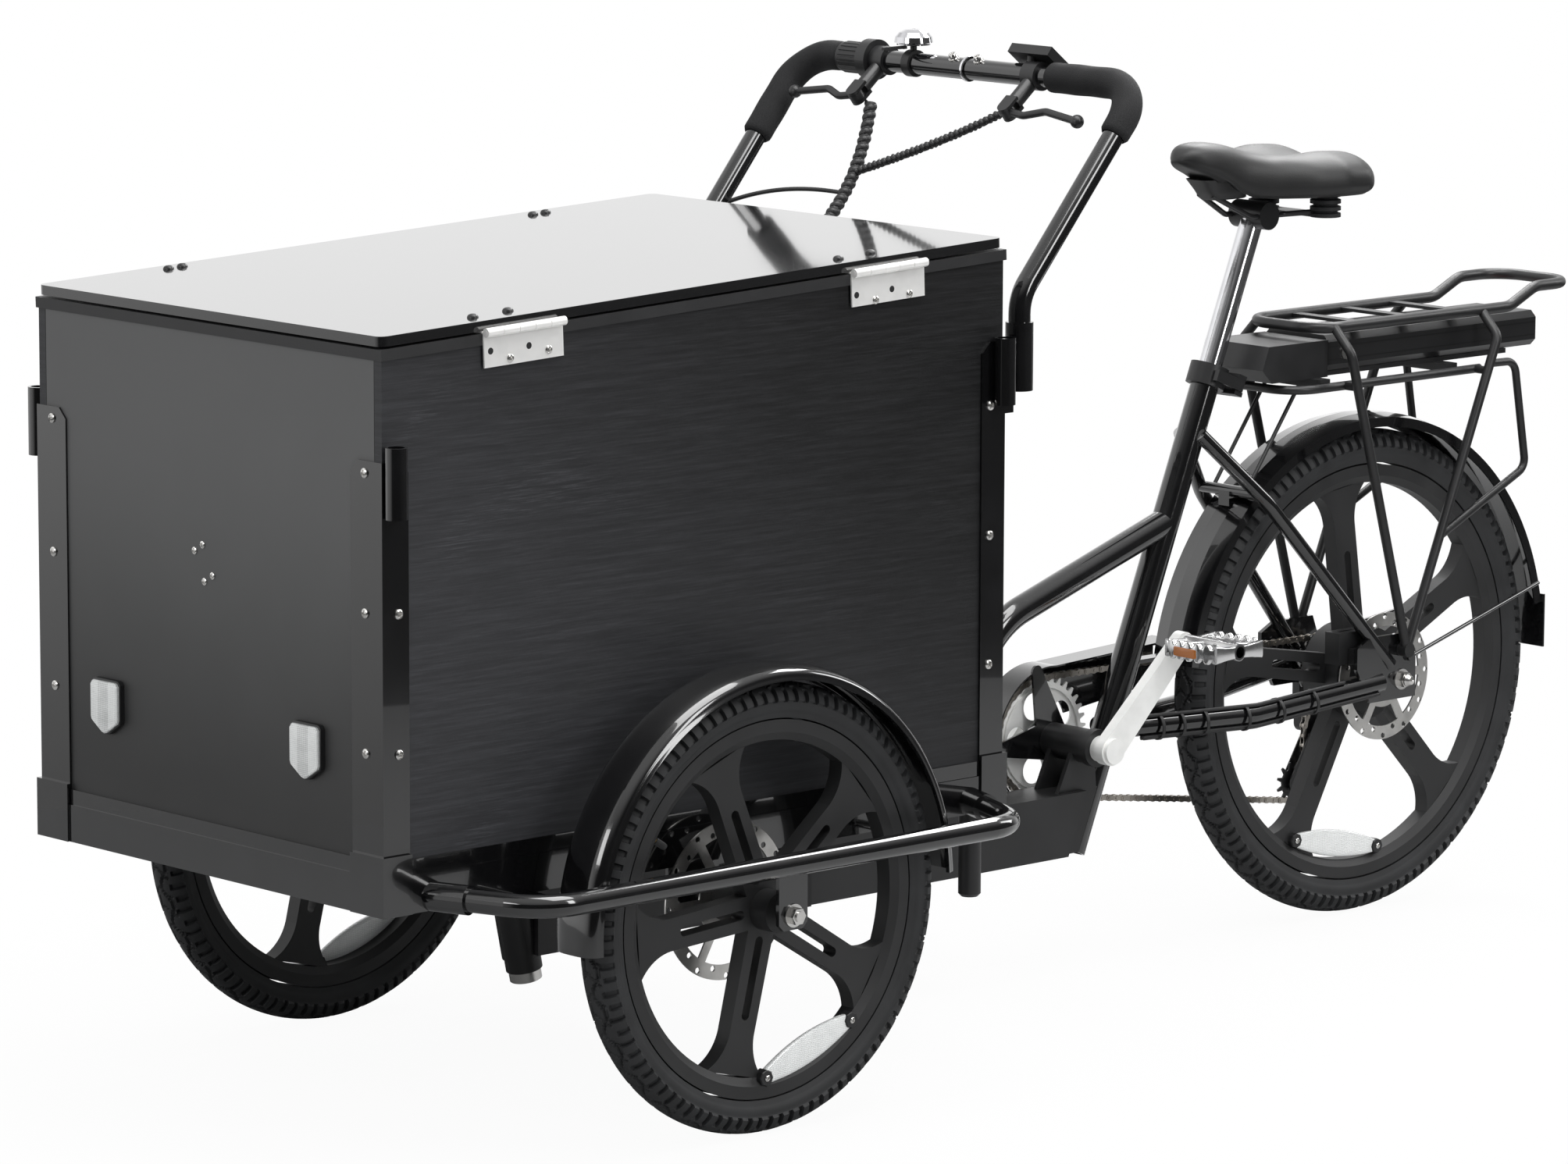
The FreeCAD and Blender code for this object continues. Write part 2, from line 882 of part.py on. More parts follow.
# Hinges: box leaf with its pin and three knuckles, lid leaf with two
leaf_z = S.lid_gap - S.hinge_leaf
axis_y = half + S.hinge_stand
axis_z = S.lid_gap - S.hinge_leaf / 2
knuckle_count = 5
knuckle_pitch = S.hinge_length / knuckle_count
box_leaves = []
lid_leaves = []
for number in range(2):
    start = -S.hinge_front - S.hinge_length - S.hinge_pitch * number
    box_parts = [
        rod("hinge_pin", S.hinge_pin, start, axis_y, axis_z, S.hinge_length, "x"),
        block("box_leaf", (start, start + S.hinge_length), (half, half + S.hinge_leaf),
              (axis_z - S.hinge_drop, axis_z - S.hinge_knuckle - S.hinge_play)),
    ]
    lid_parts = [
        block("lid_leaf", (start, start + S.hinge_length), (half - S.hinge_reach, half), (leaf_z, S.lid_gap)),
    ]
    for step in range(knuckle_count):
        low = start + knuckle_pitch * step + S.hinge_play / 2
        length = knuckle_pitch - S.hinge_play
        knuckle = rod("knuckle", S.hinge_knuckle, low, axis_y, axis_z, length, "x")
        if step % 2 == 0:
            neck = block("box_neck", (low, low + length), (half, half + S.hinge_leaf),
                         (axis_z - S.hinge_drop, axis_z))
            box_parts += [knuckle, neck]
        else:
            neck = block("lid_neck", (low, low + length), (half - S.hinge_reach, axis_y), (leaf_z, S.lid_gap))
            lid_parts += [knuckle, neck]
    bore = rod("hinge_bore", S.hinge_pin + S.hinge_fit, start, axis_y, axis_z, S.hinge_length, "x")
    leaf = fuse("lid_hinge", *lid_parts)
    gaps = []
    for step in range(0, knuckle_count, 2):
        low = start + knuckle_pitch * step
        gaps.append(block("lid_gap_cut", (low - S.hinge_play / 2, low + knuckle_pitch + S.hinge_play / 2),
                          (half - S.hinge_play, axis_y + S.hinge_knuckle), (-S.hinge_drop, S.hinge_drop)))
    lid_leaves.append(cut("lid_hinge_leaf", leaf, bore, *gaps))
    slots = []
    for step in range(1, knuckle_count, 2):
        low = start + knuckle_pitch * step
        room = S.hinge_knuckle + S.hinge_play
        slots.append(cut(
            "box_gap_ring",
            rod("box_gap_cut", room, low, axis_y, axis_z, knuckle_pitch, "x"),
            rod("box_gap_pin", S.hinge_pin, low, axis_y, axis_z, knuckle_pitch, "x")))
    box_leaves.append(cut("box_hinge_leaf", fuse("box_hinge", *box_parts), *slots))
node("box_hinge_leaves", on_slope(group("box_hinges", *box_leaves)))
node("lid_hinge_leaves", on_slope(group("lid_hinges", *lid_leaves)))


# Corner posts with their sockets
def corner_post(name, face, inward, top, socket_foot):
    """A folded corner post; face is the outer end face and inward points along X into the box."""
    step_out = S.rail_proud + S.post_sheet

    def span(a, b):
        ends = (face + inward * a, face + inward * b)
        return ends if inward > 0 else ends[::-1]

    crop = S.post_corner
    edge = half - S.post_end_flange
    end_outline = [
        (half, S.rail_top), (half, top), (edge + crop, top), (edge, top - crop), (edge, S.rail_top)]
    end = plate(f"{name}_end", "YZ", end_outline, S.post_sheet, face + inward * S.post_sheet / 2)
    far = face + inward * S.post_side_flange
    side_outline = [
        (face, S.rail_top), (face, top), (far - inward * crop, top), (far, top - crop), (far, S.rail_top)]
    side = plate(f"{name}_side", "XZ", side_outline, S.post_sheet, half - S.post_sheet / 2)
    shelf = (S.rail_top, S.rail_top + S.post_step)
    low = (S.rail_foot, S.rail_top + S.post_step)
    out = half + step_out
    parts = [
        end, side,
        block(f"{name}_end_shelf", span(-step_out, S.post_sheet), (edge, out), shelf),
        block(f"{name}_side_shelf", span(-step_out, S.post_side_flange), (panel_y, out), shelf),
        block(f"{name}_end_low", span(-step_out, -S.rail_proud), (edge, out), low),
        block(f"{name}_side_low", span(-step_out, S.post_side_flange), (half + S.rail_proud, out), low),
    ]
    socket_x = face + inward * S.socket_inset
    socket_y = half + S.socket_radius - S.socket_sink
    parts.append(rod(f"{name}_socket", S.socket_radius, socket_x, socket_y, socket_foot, S.socket_length))
    bores = [rod(f"{name}_bore", S.socket_bore, socket_x, socket_y, socket_foot, S.socket_length)]
    return parts, bores


front_parts, front_bores = corner_post("front_post", front, -1, S.front_post_top, S.front_socket_foot)
front_post = cut("front_post", fuse("front_post_solid", *front_parts), *front_bores)

bar_leg_x = rear - S.bar_socket_stand
bar_leg_y = half - S.bar_socket_inset
rear_parts, rear_bores = corner_post("rear_post", rear, 1, S.rear_post_top, S.rear_socket_foot)
rear_parts.append(rod(
    "bar_socket", S.bar_socket_radius, bar_leg_x, bar_leg_y, S.bar_socket_foot, S.bar_socket_length))
rear_parts.append(block(
    "bar_socket_web", (bar_leg_x, rear),
    (bar_leg_y - S.bar_socket_web / 2, bar_leg_y + S.bar_socket_web / 2),
    (S.bar_socket_foot - S.bar_socket_web_drop, S.rear_post_top - S.post_corner)))
rear_bores.append(rod(
    "bar_socket_bore", S.bar_radius, bar_leg_x, bar_leg_y,
    S.bar_socket_foot - S.bar_socket_web_drop, S.bar_socket_length + S.bar_socket_web_drop))
rear_post = cut("rear_post", fuse("rear_post_solid", *rear_parts), *rear_bores)
posts = group(
    "posts", front_post, mirrored("front_post_right", front_post), rear_post,
    mirrored("rear_post_right", rear_post))
node("corner_posts", posts)

# King-pin axis, leaning forward at the top
lean_turn = Rotation(Vector(0, 1, 0), S.kingpin_tilt.number)
pin_x = fx + S.kingpin_x


def on_pin(thing, along):
    """Stand an upright piece on the king-pin axis, at a distance along it from the reference point."""
    thing.Placement = FreeCAD.Placement(Vector(), lean_turn)
    return place(
        thing, pin_x + along * sin_of(S.kingpin_tilt), 0, S.kingpin_z + along * cos_of(S.kingpin_tilt))


def pin_rod(name, radius, low, high):
    return on_pin(rod(name, radius, 0, 0, 0, high - low), low)


# Carriage rails, cross members, axle plates and guard sockets
def frame_ring(name, out, inset, z):
    outer = block(
        f"{name}_outer", (rear - out, front + out), (-half - out, half + out), z)
    inner = block(
        f"{name}_inner", (rear - out + inset, front + out - inset),
        (inset - half - out, half + out - inset), z)
    return cut(name, outer, inner)


rails = [
    frame_ring("rail_upper", 0, S.post_sheet, (S.rail_step, S.rail_top)),
    frame_ring("rail_lower", S.rail_proud, S.rail_proud + S.post_sheet, (S.rail_foot, S.rail_step)),
    frame_ring("rail_bottom", S.rail_proud, S.rail_flange, (S.rail_foot, S.rail_foot + S.rail_sheet)),
]
cross_z = (S.rail_foot, S.panel_foot)
crown_x = pin_x + (S.rail_foot - S.kingpin_z) * tan_of(S.kingpin_tilt)
crosses = []
for name, middle, width in (
        ("cross_front", fx + S.cross_front, S.cross_width),
        ("cross_crown", crown_x, S.crown_width),
        ("cross_rear", fx + S.cross_rear, S.cross_width)):
    outer = block(name, (middle - width / 2, middle + width / 2), (-panel_y, panel_y), cross_z)
    wall = S.cross_wall
    hollow = block(
        f"{name}_hollow", (middle - width / 2 + wall, middle + width / 2 - wall),
        (wall - panel_y, panel_y - wall), (cross_z[0] + wall, cross_z[1] - wall))
    crosses.append(cut(name, outer, hollow))
inner_plate_outline = [
    (fx + S.inner_plate_front, S.rail_foot),
    (fx + S.inner_plate_rear, S.rail_foot),
    (fx + S.inner_plate_rear, S.inner_plate_waist),
    (fx - S.inner_plate_half, S.axle_plate_foot),
    (fx + S.inner_plate_half, S.axle_plate_foot),
    (fx + S.inner_plate_front, S.inner_plate_waist),
]
axle_hole = (fx, S.front_tyre_radius, S.axle_radius)
inner_plate = plate("inner_plate", "XZ", inner_plate_outline, S.axle_plate, S.inner_plate_y, [axle_hole])
guard_points = [
    (fx + S.guard_front_root, half, S.guard_z),
    (fx + S.guard_front, S.guard_y, S.guard_z),
    (fx + S.guard_rear, S.guard_y, S.guard_z),
    (fx + S.guard_rear_root, half, S.guard_z),
]


def along(start, end, distance):
    """The point at a distance from start on the way to end."""
    way = vec(*end) - vec(*start)
    share = number_of(distance) / way.Length
    return tuple(a + (b - a) * share for a, b in zip(start, end))


room = block(
    "guard_socket_room", (rear - S.overrun, front + S.overrun),
    (-panel_y - S.rail_proud, panel_y + S.rail_proud),
    (S.rail_foot - S.overrun, S.rail_top + S.overrun))
sockets = []
for root, knee in ((guard_points[0], guard_points[1]), (guard_points[3], guard_points[2])):
    inside = along(root, knee, -S.guard_socket_length)
    mouth = along(root, knee, S.guard_socket_length)
    entry = along(root, knee, S.guard_entry)
    collar = bar("guard_socket", S.guard_socket_radius, inside, mouth)
    bore = bar("guard_socket_bore", S.guard_radius, entry, along(root, knee, 2 * S.guard_socket_length))
    sockets.append(cut("guard_socket_open", collar, room, bore, front_post, rear_post))
stop_pin = rod(
    "stop_pin", S.stop_pin, fx + S.stop_x, S.stop_y, S.stop_foot + S.stop_pin,
    S.rail_foot - S.stop_foot - S.stop_pin)
left_side = [inner_plate, *sockets, stop_pin]
right_side = [mirrored("carriage_right", piece) for piece in left_side]
carriage = fuse("carriage_solid", *rails, *crosses, *left_side, *right_side)
pin_hole = pin_rod("carriage_pin_hole", S.kingpin_radius, 0, S.kingpin_top + S.overrun)
node("carriage_frame", cut("carriage", carriage, pin_hole))

# Steering stops: rubber sleeves on the carriage pins
stop_sleeve = turned(
    "stop_sleeve",
    [(0, 0), (S.stop_radius - S.stop_pin / 2, 0), (S.stop_radius, S.stop_pin / 2),
     (S.stop_radius, S.rail_foot - S.stop_foot),
     (S.stop_pin, S.rail_foot - S.stop_foot),
     (S.stop_pin, S.stop_pin), (0, S.stop_pin)],
    "z", fx + S.stop_x, S.stop_y, S.stop_foot)
node("steering_stops", both_sides("stops", stop_sleeve))

# King-pin: shaft, thrust collar under the crown and nut at the foot
collar_top = (S.rail_foot - S.kingpin_z - S.kingpin_collar * sin_of(S.kingpin_tilt)) / cos_of(S.kingpin_tilt)
pin_shaft = pin_rod("pin_shaft", S.kingpin_radius, -S.kingpin_foot, S.kingpin_top)
pin_collar = pin_rod("pin_collar", S.kingpin_collar, collar_top - S.kingpin_collar_height, collar_top)
pin_cap = pin_rod("pin_cap", S.kingpin_cap_radius, -S.kingpin_foot, S.kingpin_cap_height - S.kingpin_foot)
node("kingpin", fuse("kingpin_solid", pin_shaft, pin_collar, pin_cap))

# Wheel guards: bent tube with the outer axle plate
guard_entry = along(guard_points[0], guard_points[1], S.guard_entry)
guard_leave = along(guard_points[3], guard_points[2], S.guard_entry)
guard_path = [guard_entry, guard_points[1], guard_points[2], guard_leave]
guard_outer = tube("guard_outer", guard_path, S.guard_bend, S.guard_radius)
guard_bore = tube("guard_bore", guard_path, S.guard_bend, S.guard_bore)
crop = S.axle_plate_width / 6
outer_plate_outline = [
    (fx - S.axle_plate_width / 2, S.guard_z),
    (fx - S.axle_plate_width / 2, S.axle_plate_foot + crop),
    (fx - S.axle_plate_width / 2 + crop, S.axle_plate_foot),
    (fx + S.axle_plate_width / 2 - crop, S.axle_plate_foot),
    (fx + S.axle_plate_width / 2, S.axle_plate_foot + crop),
    (fx + S.axle_plate_width / 2, S.guard_z),
]
outer_plate = plate("outer_plate", "XZ", outer_plate_outline, S.axle_plate, S.guard_y, [axle_hole])
wheel_guard = cut("wheel_guard", fuse("guard_solid", guard_outer, outer_plate), guard_bore)
node("wheel_guards", both_sides("guards", wheel_guard))

# Front axles with cones, washers and nuts
inner_face = S.inner_plate_y + S.axle_plate / 2
outer_face = S.guard_y - S.axle_plate / 2
axle_z = S.front_tyre_radius
nut_out = outer_face + S.axle_plate
hub_low = wheel_y - S.hub_in
hub_high = wheel_y + S.hub_out


def hex_nut(name, x, y, z):
    made = doc.addObject("Part::Prism", name)
    made.Polygon = 6
    bind(made, "Circumradius", S.nut_radius)
    bind(made, "Height", S.nut_height)
    made.Placement = FreeCAD.Placement(Vector(), TURNS["y"])
    return place(made, x, y, z)


axle_parts = [
    rod("axle_bolt", S.axle_radius, fx, inner_face - S.axle_plate - S.axle_stub, axle_z,
        outer_face - inner_face + 2 * S.axle_plate + 2 * S.axle_stub, "y"),
    rod("axle_cone_in", S.cone_radius, fx, inner_face, axle_z, hub_low - S.cone_play - inner_face, "y"),
    rod("axle_cone_out", S.cone_radius, fx, hub_high + S.cone_play, axle_z,
        outer_face - hub_high - S.cone_play, "y"),
    rod("axle_washer", S.washer_radius, fx, nut_out, axle_z, S.washer_thick, "y"),
    hex_nut("axle_nut_out", fx, nut_out + S.washer_thick, axle_z),
    hex_nut("axle_nut_in", fx, inner_face - S.axle_plate - S.nut_height, axle_z),
]
front_axle = fuse("front_axle", *axle_parts)
node("front_axles", both_sides("axles", front_axle))


# Cast wheels: rim, slotted spokes that flare into it, and hub
def cast_wheel(rim_radius, hub_radius, hub_in, hub_out, slot_start, slot_end, spoke_angle, bore):
    """A wheel about the Y axis through the origin, rim in the plane y = 0."""
    rim_r = rim_radius.number
    y_half = S.rim_half.number
    lip = S.rim_flange.number
    well = rim_r - S.rim_well.number
    inner = rim_r - S.rim_depth.number
    flank = S.spoke_thick.number / 2
    profile = [
        (inner, -flank), (well - lip, -y_half), (rim_r, -y_half), (rim_r, lip - y_half),
        (well, 2 * lip - y_half), (well, y_half - 2 * lip), (rim_r, y_half - lip), (rim_r, y_half),
        (well - lip, y_half), (inner, flank),
    ]
    points = [Vector(r, y, 0) for r, y in profile]
    rim = Part.Face(Part.makePolygon(points + points[:1])).revolve(Vector(), Vector(0, 1, 0), FULL_TURN)
    axis = Vector(0, 1, 0)
    root = S.spoke_root.number
    waist = S.spoke_waist.number
    flare = S.spoke_flare.number
    knee = inner - S.spoke_flare_length.number
    bow_share = 0.22
    end = math.sqrt((inner + lip) ** 2 - flare ** 2)
    bow_r = (knee + end) / 2
    bow_w = waist + (flare - waist) * bow_share
    edges = [
        Part.LineSegment(Vector(0, -flank, -root), Vector(knee, -flank, -waist)).toShape(),
        Part.Arc(
            Vector(knee, -flank, -waist), Vector(bow_r, -flank, -bow_w),
            Vector(end, -flank, -flare)).toShape(),
        Part.LineSegment(Vector(end, -flank, -flare), Vector(end, -flank, flare)).toShape(),
        Part.Arc(
            Vector(end, -flank, flare), Vector(bow_r, -flank, bow_w), Vector(knee, -flank, waist)).toShape(),
        Part.LineSegment(Vector(knee, -flank, waist), Vector(0, -flank, root)).toShape(),
        Part.LineSegment(Vector(0, -flank, root), Vector(0, -flank, -root)).toShape(),
    ]
    depth = Vector(0, S.spoke_thick.number, 0)
    spoke = Part.Face(Part.Wire(edges)).extrude(depth)
    slot_half = S.spoke_slot.number
    slot_length = slot_end.number - slot_start.number
    slot_corner = Vector(slot_start.number, -flank, -slot_half)
    slot = Part.makeBox(slot_length, S.spoke_thick.number, 2 * slot_half, slot_corner)
    for spot in (slot_start.number, slot_end.number):
        slot = slot.fuse(Part.makeCylinder(slot_half, S.spoke_thick.number, Vector(spot, -flank, 0), axis))
    spoke = spoke.cut(slot)
    count = int(S.spoke_count.number)
    upright = -90 + spoke_angle.number
    spokes = [spun(spoke, Vector(), upright + FULL_TURN * i / count) for i in range(count)]
    hub = Part.makeCylinder(
        hub_radius.number, hub_in.number + hub_out.number, Vector(0, -hub_in.number, 0), axis)
    wheel = rim.multiFuse([hub, *spokes])
    hole = Part.makeCylinder(
        bore.number, hub_in.number + hub_out.number, Vector(0, -hub_in.number, 0), axis)
    return wheel.cut(hole).removeSplitter()


def tyre_outline(tyre_radius, rim_radius):
    """Half section of a hollow tyre, as radius and width, from bead to bead."""
    seat = rim_radius - S.rim_well
    bead = S.rim_half - 2 * S.rim_flange
    lip = S.rim_half - S.rim_flange
    wide = S.tyre_width / 2
    height = tyre_radius - rim_radius
    wall = S.tyre_wall
    shoulder_shares = ((0.12, 0.74), (0.40, 1.0), (0.72, 0.94), (0.92, 0.66), (1.0, 0.26))
    outer = [(seat, bead), (rim_radius, lip)]
    outer += [(rim_radius + height * a, wide * b) for a, b in shoulder_shares]
    inner = [(seat, bead - wall), (rim_radius, lip - wall)]
    inner += [
        (rim_radius + (height - wall) * a, (wide - wall) * b) for a, b in shoulder_shares[1:]]
    half_outer = outer + [(r, -y) for r, y in reversed(outer)]
    half_inner = [(r, -y) for r, y in inner] + list(reversed(inner))
    return half_outer + half_inner


# Front wheels: casting, tyre and brake rotor on each side
front_casting = cast_wheel(
    S.front_rim_radius, S.hub_radius, S.hub_in, S.hub_out, S.spoke_slot_start, S.spoke_slot_end,
    S.front_spoke_angle, S.axle_radius + S.bearing_fit)


def rotor(radius, hub_radius):
    """A drilled brake rotor about the Y axis, with arms to its hub ring."""
    axis = Vector(0, 1, 0)
    thick = S.rotor_thick.number
    r = radius.number
    band = S.rotor_band.number
    foot = Vector(0, -thick / 2, 0)
    ring = Part.makeCylinder(r, thick, foot, axis).cut(Part.makeCylinder(r - band, thick, foot, axis))
    core = Part.makeCylinder(hub_radius.number + band, thick, foot, axis)
    arm_wide = S.rotor_arm.number
    arm = Part.makeBox(r - band / 2, thick, arm_wide, Vector(0, -thick / 2, -arm_wide / 2))
    arm_count = 6
    arms = [spun(arm, Vector(), FULL_TURN * i / arm_count) for i in range(arm_count)]
    solid = ring.multiFuse([core, *arms])
    holes = [Part.makeCylinder(hub_radius.number, thick, foot, axis)]
    hole_shares = ((0.28, 0), (0.72, 0.5))
    pitch = FULL_TURN / (2 * arm_count)
    for i in range(2 * arm_count):
        for along_share, turn_share in hole_shares:
            spot = Vector(r - band * along_share, -thick / 2, 0)
            hole = Part.makeCylinder(S.rotor_hole.number, thick, spot, axis)
            holes.append(spun(hole, Vector(), pitch * (i + turn_share)))
    return solid.cut(Part.makeCompound(holes)).removeSplitter()


front_disc = rotor(S.front_rotor_radius, S.hub_radius)
for side, name in ((1, "left"), (-1, "right")):
    casting = front_casting if side > 0 else front_casting.mirror(Vector(), Vector(0, 1, 0))
    node(f"front_wheel_{name}", place(shaped(f"casting_{name}", casting), fx, wheel_y * side, axle_z))
    node(f"front_tyre_{name}", turned(
        f"tyre_{name}", tyre_outline(S.front_tyre_radius, S.front_rim_radius), "y",
        fx, wheel_y * side, axle_z))
    node(f"front_rotor_{name}", place(
        shaped(f"disc_{name}", front_disc), fx, (wheel_y - S.front_rotor_y) * side, axle_z))


def root_of(value):
    return Size(math.sqrt(value.number), f"sqrt({value.text})")


def strap(name, a, b, a_radius, b_radius, y, thick):
    """A tapered flat link with round ends between two points of an upright plane."""
    length = root_of((b[0] - a[0]) * (b[0] - a[0]) + (b[1] - a[1]) * (b[1] - a[1]))
    side_x = (a[1] - b[1]) / length
    side_z = (b[0] - a[0]) / length
    outline = [
        (a[0] + side_x * a_radius, a[1] + side_z * a_radius),
        (a[0] - side_x * a_radius, a[1] - side_z * a_radius),
        (b[0] - side_x * b_radius, b[1] - side_z * b_radius),
        (b[0] + side_x * b_radius, b[1] + side_z * b_radius),
    ]
    web = plate(f"{name}_web", "XZ", outline, thick, y)
    ends = [
        rod(f"{name}_end", radius, spot[0], y - thick / 2, spot[1], thick, "y")
        for spot, radius in ((a, a_radius), (b, b_radius))
    ]
    return fuse(name, web, *ends)


def spots(prefix, count):
    """Points of a cable path, read from the sheet and measured from the front axle."""
    found = []
    for i in range(1, count + 1):
        x, y, z = (getattr(S, f"{prefix}_{i}_{axis}") for axis in "xyz")
        found.append((fx + x, y, z))
    return found


# Mudguards: a crowned channel swung about the axle
def mudguard(tyre_radius, start, end):
    """A mudguard about the Y axis through the origin; angles are measured up from the front."""
    ri = tyre_radius.number + S.mudguard_gap.number
    y_half = S.mudguard_half.number
    skin = S.mudguard_sheet.number
    crown = S.mudguard_crown.number
    flat = y_half / 3
    hem = ri - S.mudguard_skirt.number
    outer = [(hem, y_half), (ri, y_half), (ri + crown, flat)]
    inner = [(hem, y_half - skin), (ri - skin, y_half - skin), (ri + crown - skin, flat)]
    right = [(r, -y) for r, y in outer]
    right_inner = [(r, -y) for r, y in inner]
    profile = outer + right[::-1] + right_inner + inner[::-1]
    points = [Vector(r, y, 0) for r, y in profile]
    face = Part.Face(Part.makePolygon(points + points[:1]))
    axis = Vector(0, -1, 0)
    face.rotate(Vector(), axis, start.number)
    return face.revolve(Vector(), axis, end.number - start.number)


front_guard = place(
    shaped("front_guard", mudguard(S.front_tyre_radius, S.front_guard_start, S.front_guard_end)),
    fx, wheel_y, axle_z)
guard_reach = S.front_tyre_radius + S.mudguard_gap - S.mudguard_skirt
guard_brackets = []
for side in SIDES:
    ends = sorted(((side * guard_reach), side * (guard_reach + S.front_bracket_width)), key=number_of)
    guard_brackets.append(block(
        "front_guard_bracket", (fx + ends[0], fx + ends[1]), (inner_y - S.front_bracket_width, wheel_y),
        (S.rail_foot - S.front_bracket_thick, S.rail_foot)))
node("front_mudguards", both_sides("front_guards", fuse("front_guard_left", front_guard, *guard_brackets)))

# Reflectors on the front board
wide = S.reflector_width / 2
tall = S.reflector_height / 2
reflector_outline = [
    (S.reflector_y - wide, S.reflector_z + tall),
    (S.reflector_y + wide, S.reflector_z + tall),
    (S.reflector_y + wide, S.reflector_z - tall / 2),
    (S.reflector_y + wide / 2, S.reflector_z - tall),
    (S.reflector_y - wide / 2, S.reflector_z - tall),
    (S.reflector_y - wide, S.reflector_z - tall / 2),
]
reflector = plate(
    "reflector", "YZ", reflector_outline, S.reflector_depth, panel_front + S.reflector_depth / 2)
node("front_reflectors", both_sides("reflectors", reflector))

# Front brake calipers: a fork over the rotor, bolted to the inner axle plate
rotor_y = wheel_y - S.front_rotor_y
jaw_back = fx - S.front_rotor_radius - S.rotor_hub
jaw_z = (axle_z - S.caliper_height / 2, axle_z + S.caliper_height / 2)
jaw_block = block(
    "front_jaw", (jaw_back, jaw_back + S.caliper_length),
    (rotor_y - S.caliper_depth, rotor_y + S.caliper_depth),
    jaw_z)
jaw_slot = block(
    "front_jaw_slot", (fx - S.front_rotor_radius - S.caliper_bracket, fx),
    (rotor_y - S.caliper_gap, rotor_y + S.caliper_gap), jaw_z)
jaw_bracket = block(
    "front_jaw_bracket", (jaw_back, jaw_back + S.rotor_hub), (inner_face, rotor_y - S.caliper_depth),
    (axle_z + S.caliper_bracket, jaw_z[1]))
front_caliper = fuse("front_caliper", cut("front_jaw_open", jaw_block, jaw_slot), jaw_bracket)
node("front_calipers", both_sides("calipers", front_caliper))

# Seat tube axis, leaning back at the top
seat_turn = Rotation(Vector(0, 1, 0), -S.seat_angle.number)
seat_foot_x = fx + S.seat_tube_foot_x


def seat_x(distance):
    return seat_foot_x - distance * sin_of(S.seat_angle)


def seat_z(distance):
    return S.seat_tube_foot_z + distance * cos_of(S.seat_angle)


def on_seat(thing, distance):
    """Stand an upright piece on the seat tube axis, at a distance along it from the foot."""
    thing.Placement = FreeCAD.Placement(Vector(), seat_turn)
    return place(thing, seat_x(distance), 0, seat_z(distance))


def seat_rod(name, radius, low, high):
    return on_seat(rod(name, radius, 0, 0, 0, high - low), low)


seat_solid = seat_rod("seat_solid", S.seat_tube_radius, 0, S.seat_tube_length)
seat_bore = seat_rod("seat_bore", S.post_radius + S.post_fit, 0, S.seat_tube_length)
node("seat_tube", cut("seat_tube_open", seat_solid, seat_bore))

# Main beam with head tube and bottom bracket
beam_top = S.beam_foot + S.beam_height
beam_lean = tan_of(S.seat_angle)
rear_low = fx + S.beam_rear
rear_high = rear_low - S.beam_height * beam_lean
beam_outline = [
    (fx + S.beam_front, S.beam_foot), (fx + S.beam_front, beam_top),
    (rear_high, beam_top), (rear_low, S.beam_foot)]
beam_solid = plate("beam_solid", "XZ", beam_outline, S.beam_width, 0)
wall = S.beam_wall
beam_core = block(
    "beam_core", (rear_low + wall, pin_x - S.head_radius - S.beam_corner),
    (wall - S.beam_width / 2, S.beam_width / 2 - wall), (S.beam_foot + wall, beam_top - wall))
tail_reach = S.beam_rear - S.seat_tube_foot_x - S.beam_wall
tail_outline = [
    (rear_low + S.beam_corner, S.beam_foot), (rear_high + S.beam_corner, beam_top),
    (rear_high - tail_reach, beam_top), (rear_low - tail_reach, S.beam_foot)]
beam_tail = plate("beam_tail", "XZ", tail_outline, 2 * S.seat_tube_radius, 0)
head_low = S.kingpin_cap_height - S.kingpin_foot + S.head_play
head_high = collar_top - S.kingpin_collar_height - S.head_play
head_tube = pin_rod("head_tube", S.head_radius, head_low + S.head_lip, head_high)
head_lip = pin_rod("head_lip", S.head_lip_radius, head_low, head_low + S.head_lip)
head_bore = pin_rod(
    "head_bore", S.kingpin_radius + S.bearing_fit, head_low - S.overrun, head_high + S.overrun)
bb_x = fx + S.bb_x
bb_shell = rod("bb_shell", S.bb_radius, bb_x, -S.bb_right, S.bb_z, S.bb_right + S.bb_left, "y")
bb_cup = rod("bb_cup", S.bb_cup_radius, bb_x, S.bb_left, S.bb_z, S.bb_cup, "y")
bb_bore = rod(
    "bb_bore", S.spindle_radius + S.bearing_fit, bb_x, -S.bb_right - S.overrun, S.bb_z,
    S.bb_right + S.bb_left + 2 * S.overrun, "y")
web_outline = [
    (bb_x + S.bb_web_front, beam_top - wall), (bb_x + S.bb_radius - wall, S.bb_z),
    (bb_x - S.bb_radius + wall, S.bb_z), (bb_x - S.bb_web_rear, beam_top - wall)]
webs = [plate("bb_web", "XZ", web_outline, S.bb_web, side * S.bb_web_y) for side in SIDES]
bridge_end = seat_foot_x - (S.bb_z - S.seat_tube_foot_z) * beam_lean
bb_bridge = block(
    "bb_bridge", (bridge_end, bb_x), (-2 * S.bb_web, 2 * S.bb_web),
    (S.bb_z - S.bb_radius / 2, S.bb_z + S.bb_radius / 2))
beam_shell = cut("beam_shell", beam_solid, beam_core)
beam_parts = fuse(
    "beam_parts", beam_shell, beam_tail, head_tube, head_lip, bb_shell, bb_cup, *webs, bb_bridge)
node("main_beam", cut("beam", beam_parts, head_bore, bb_bore, seat_solid))

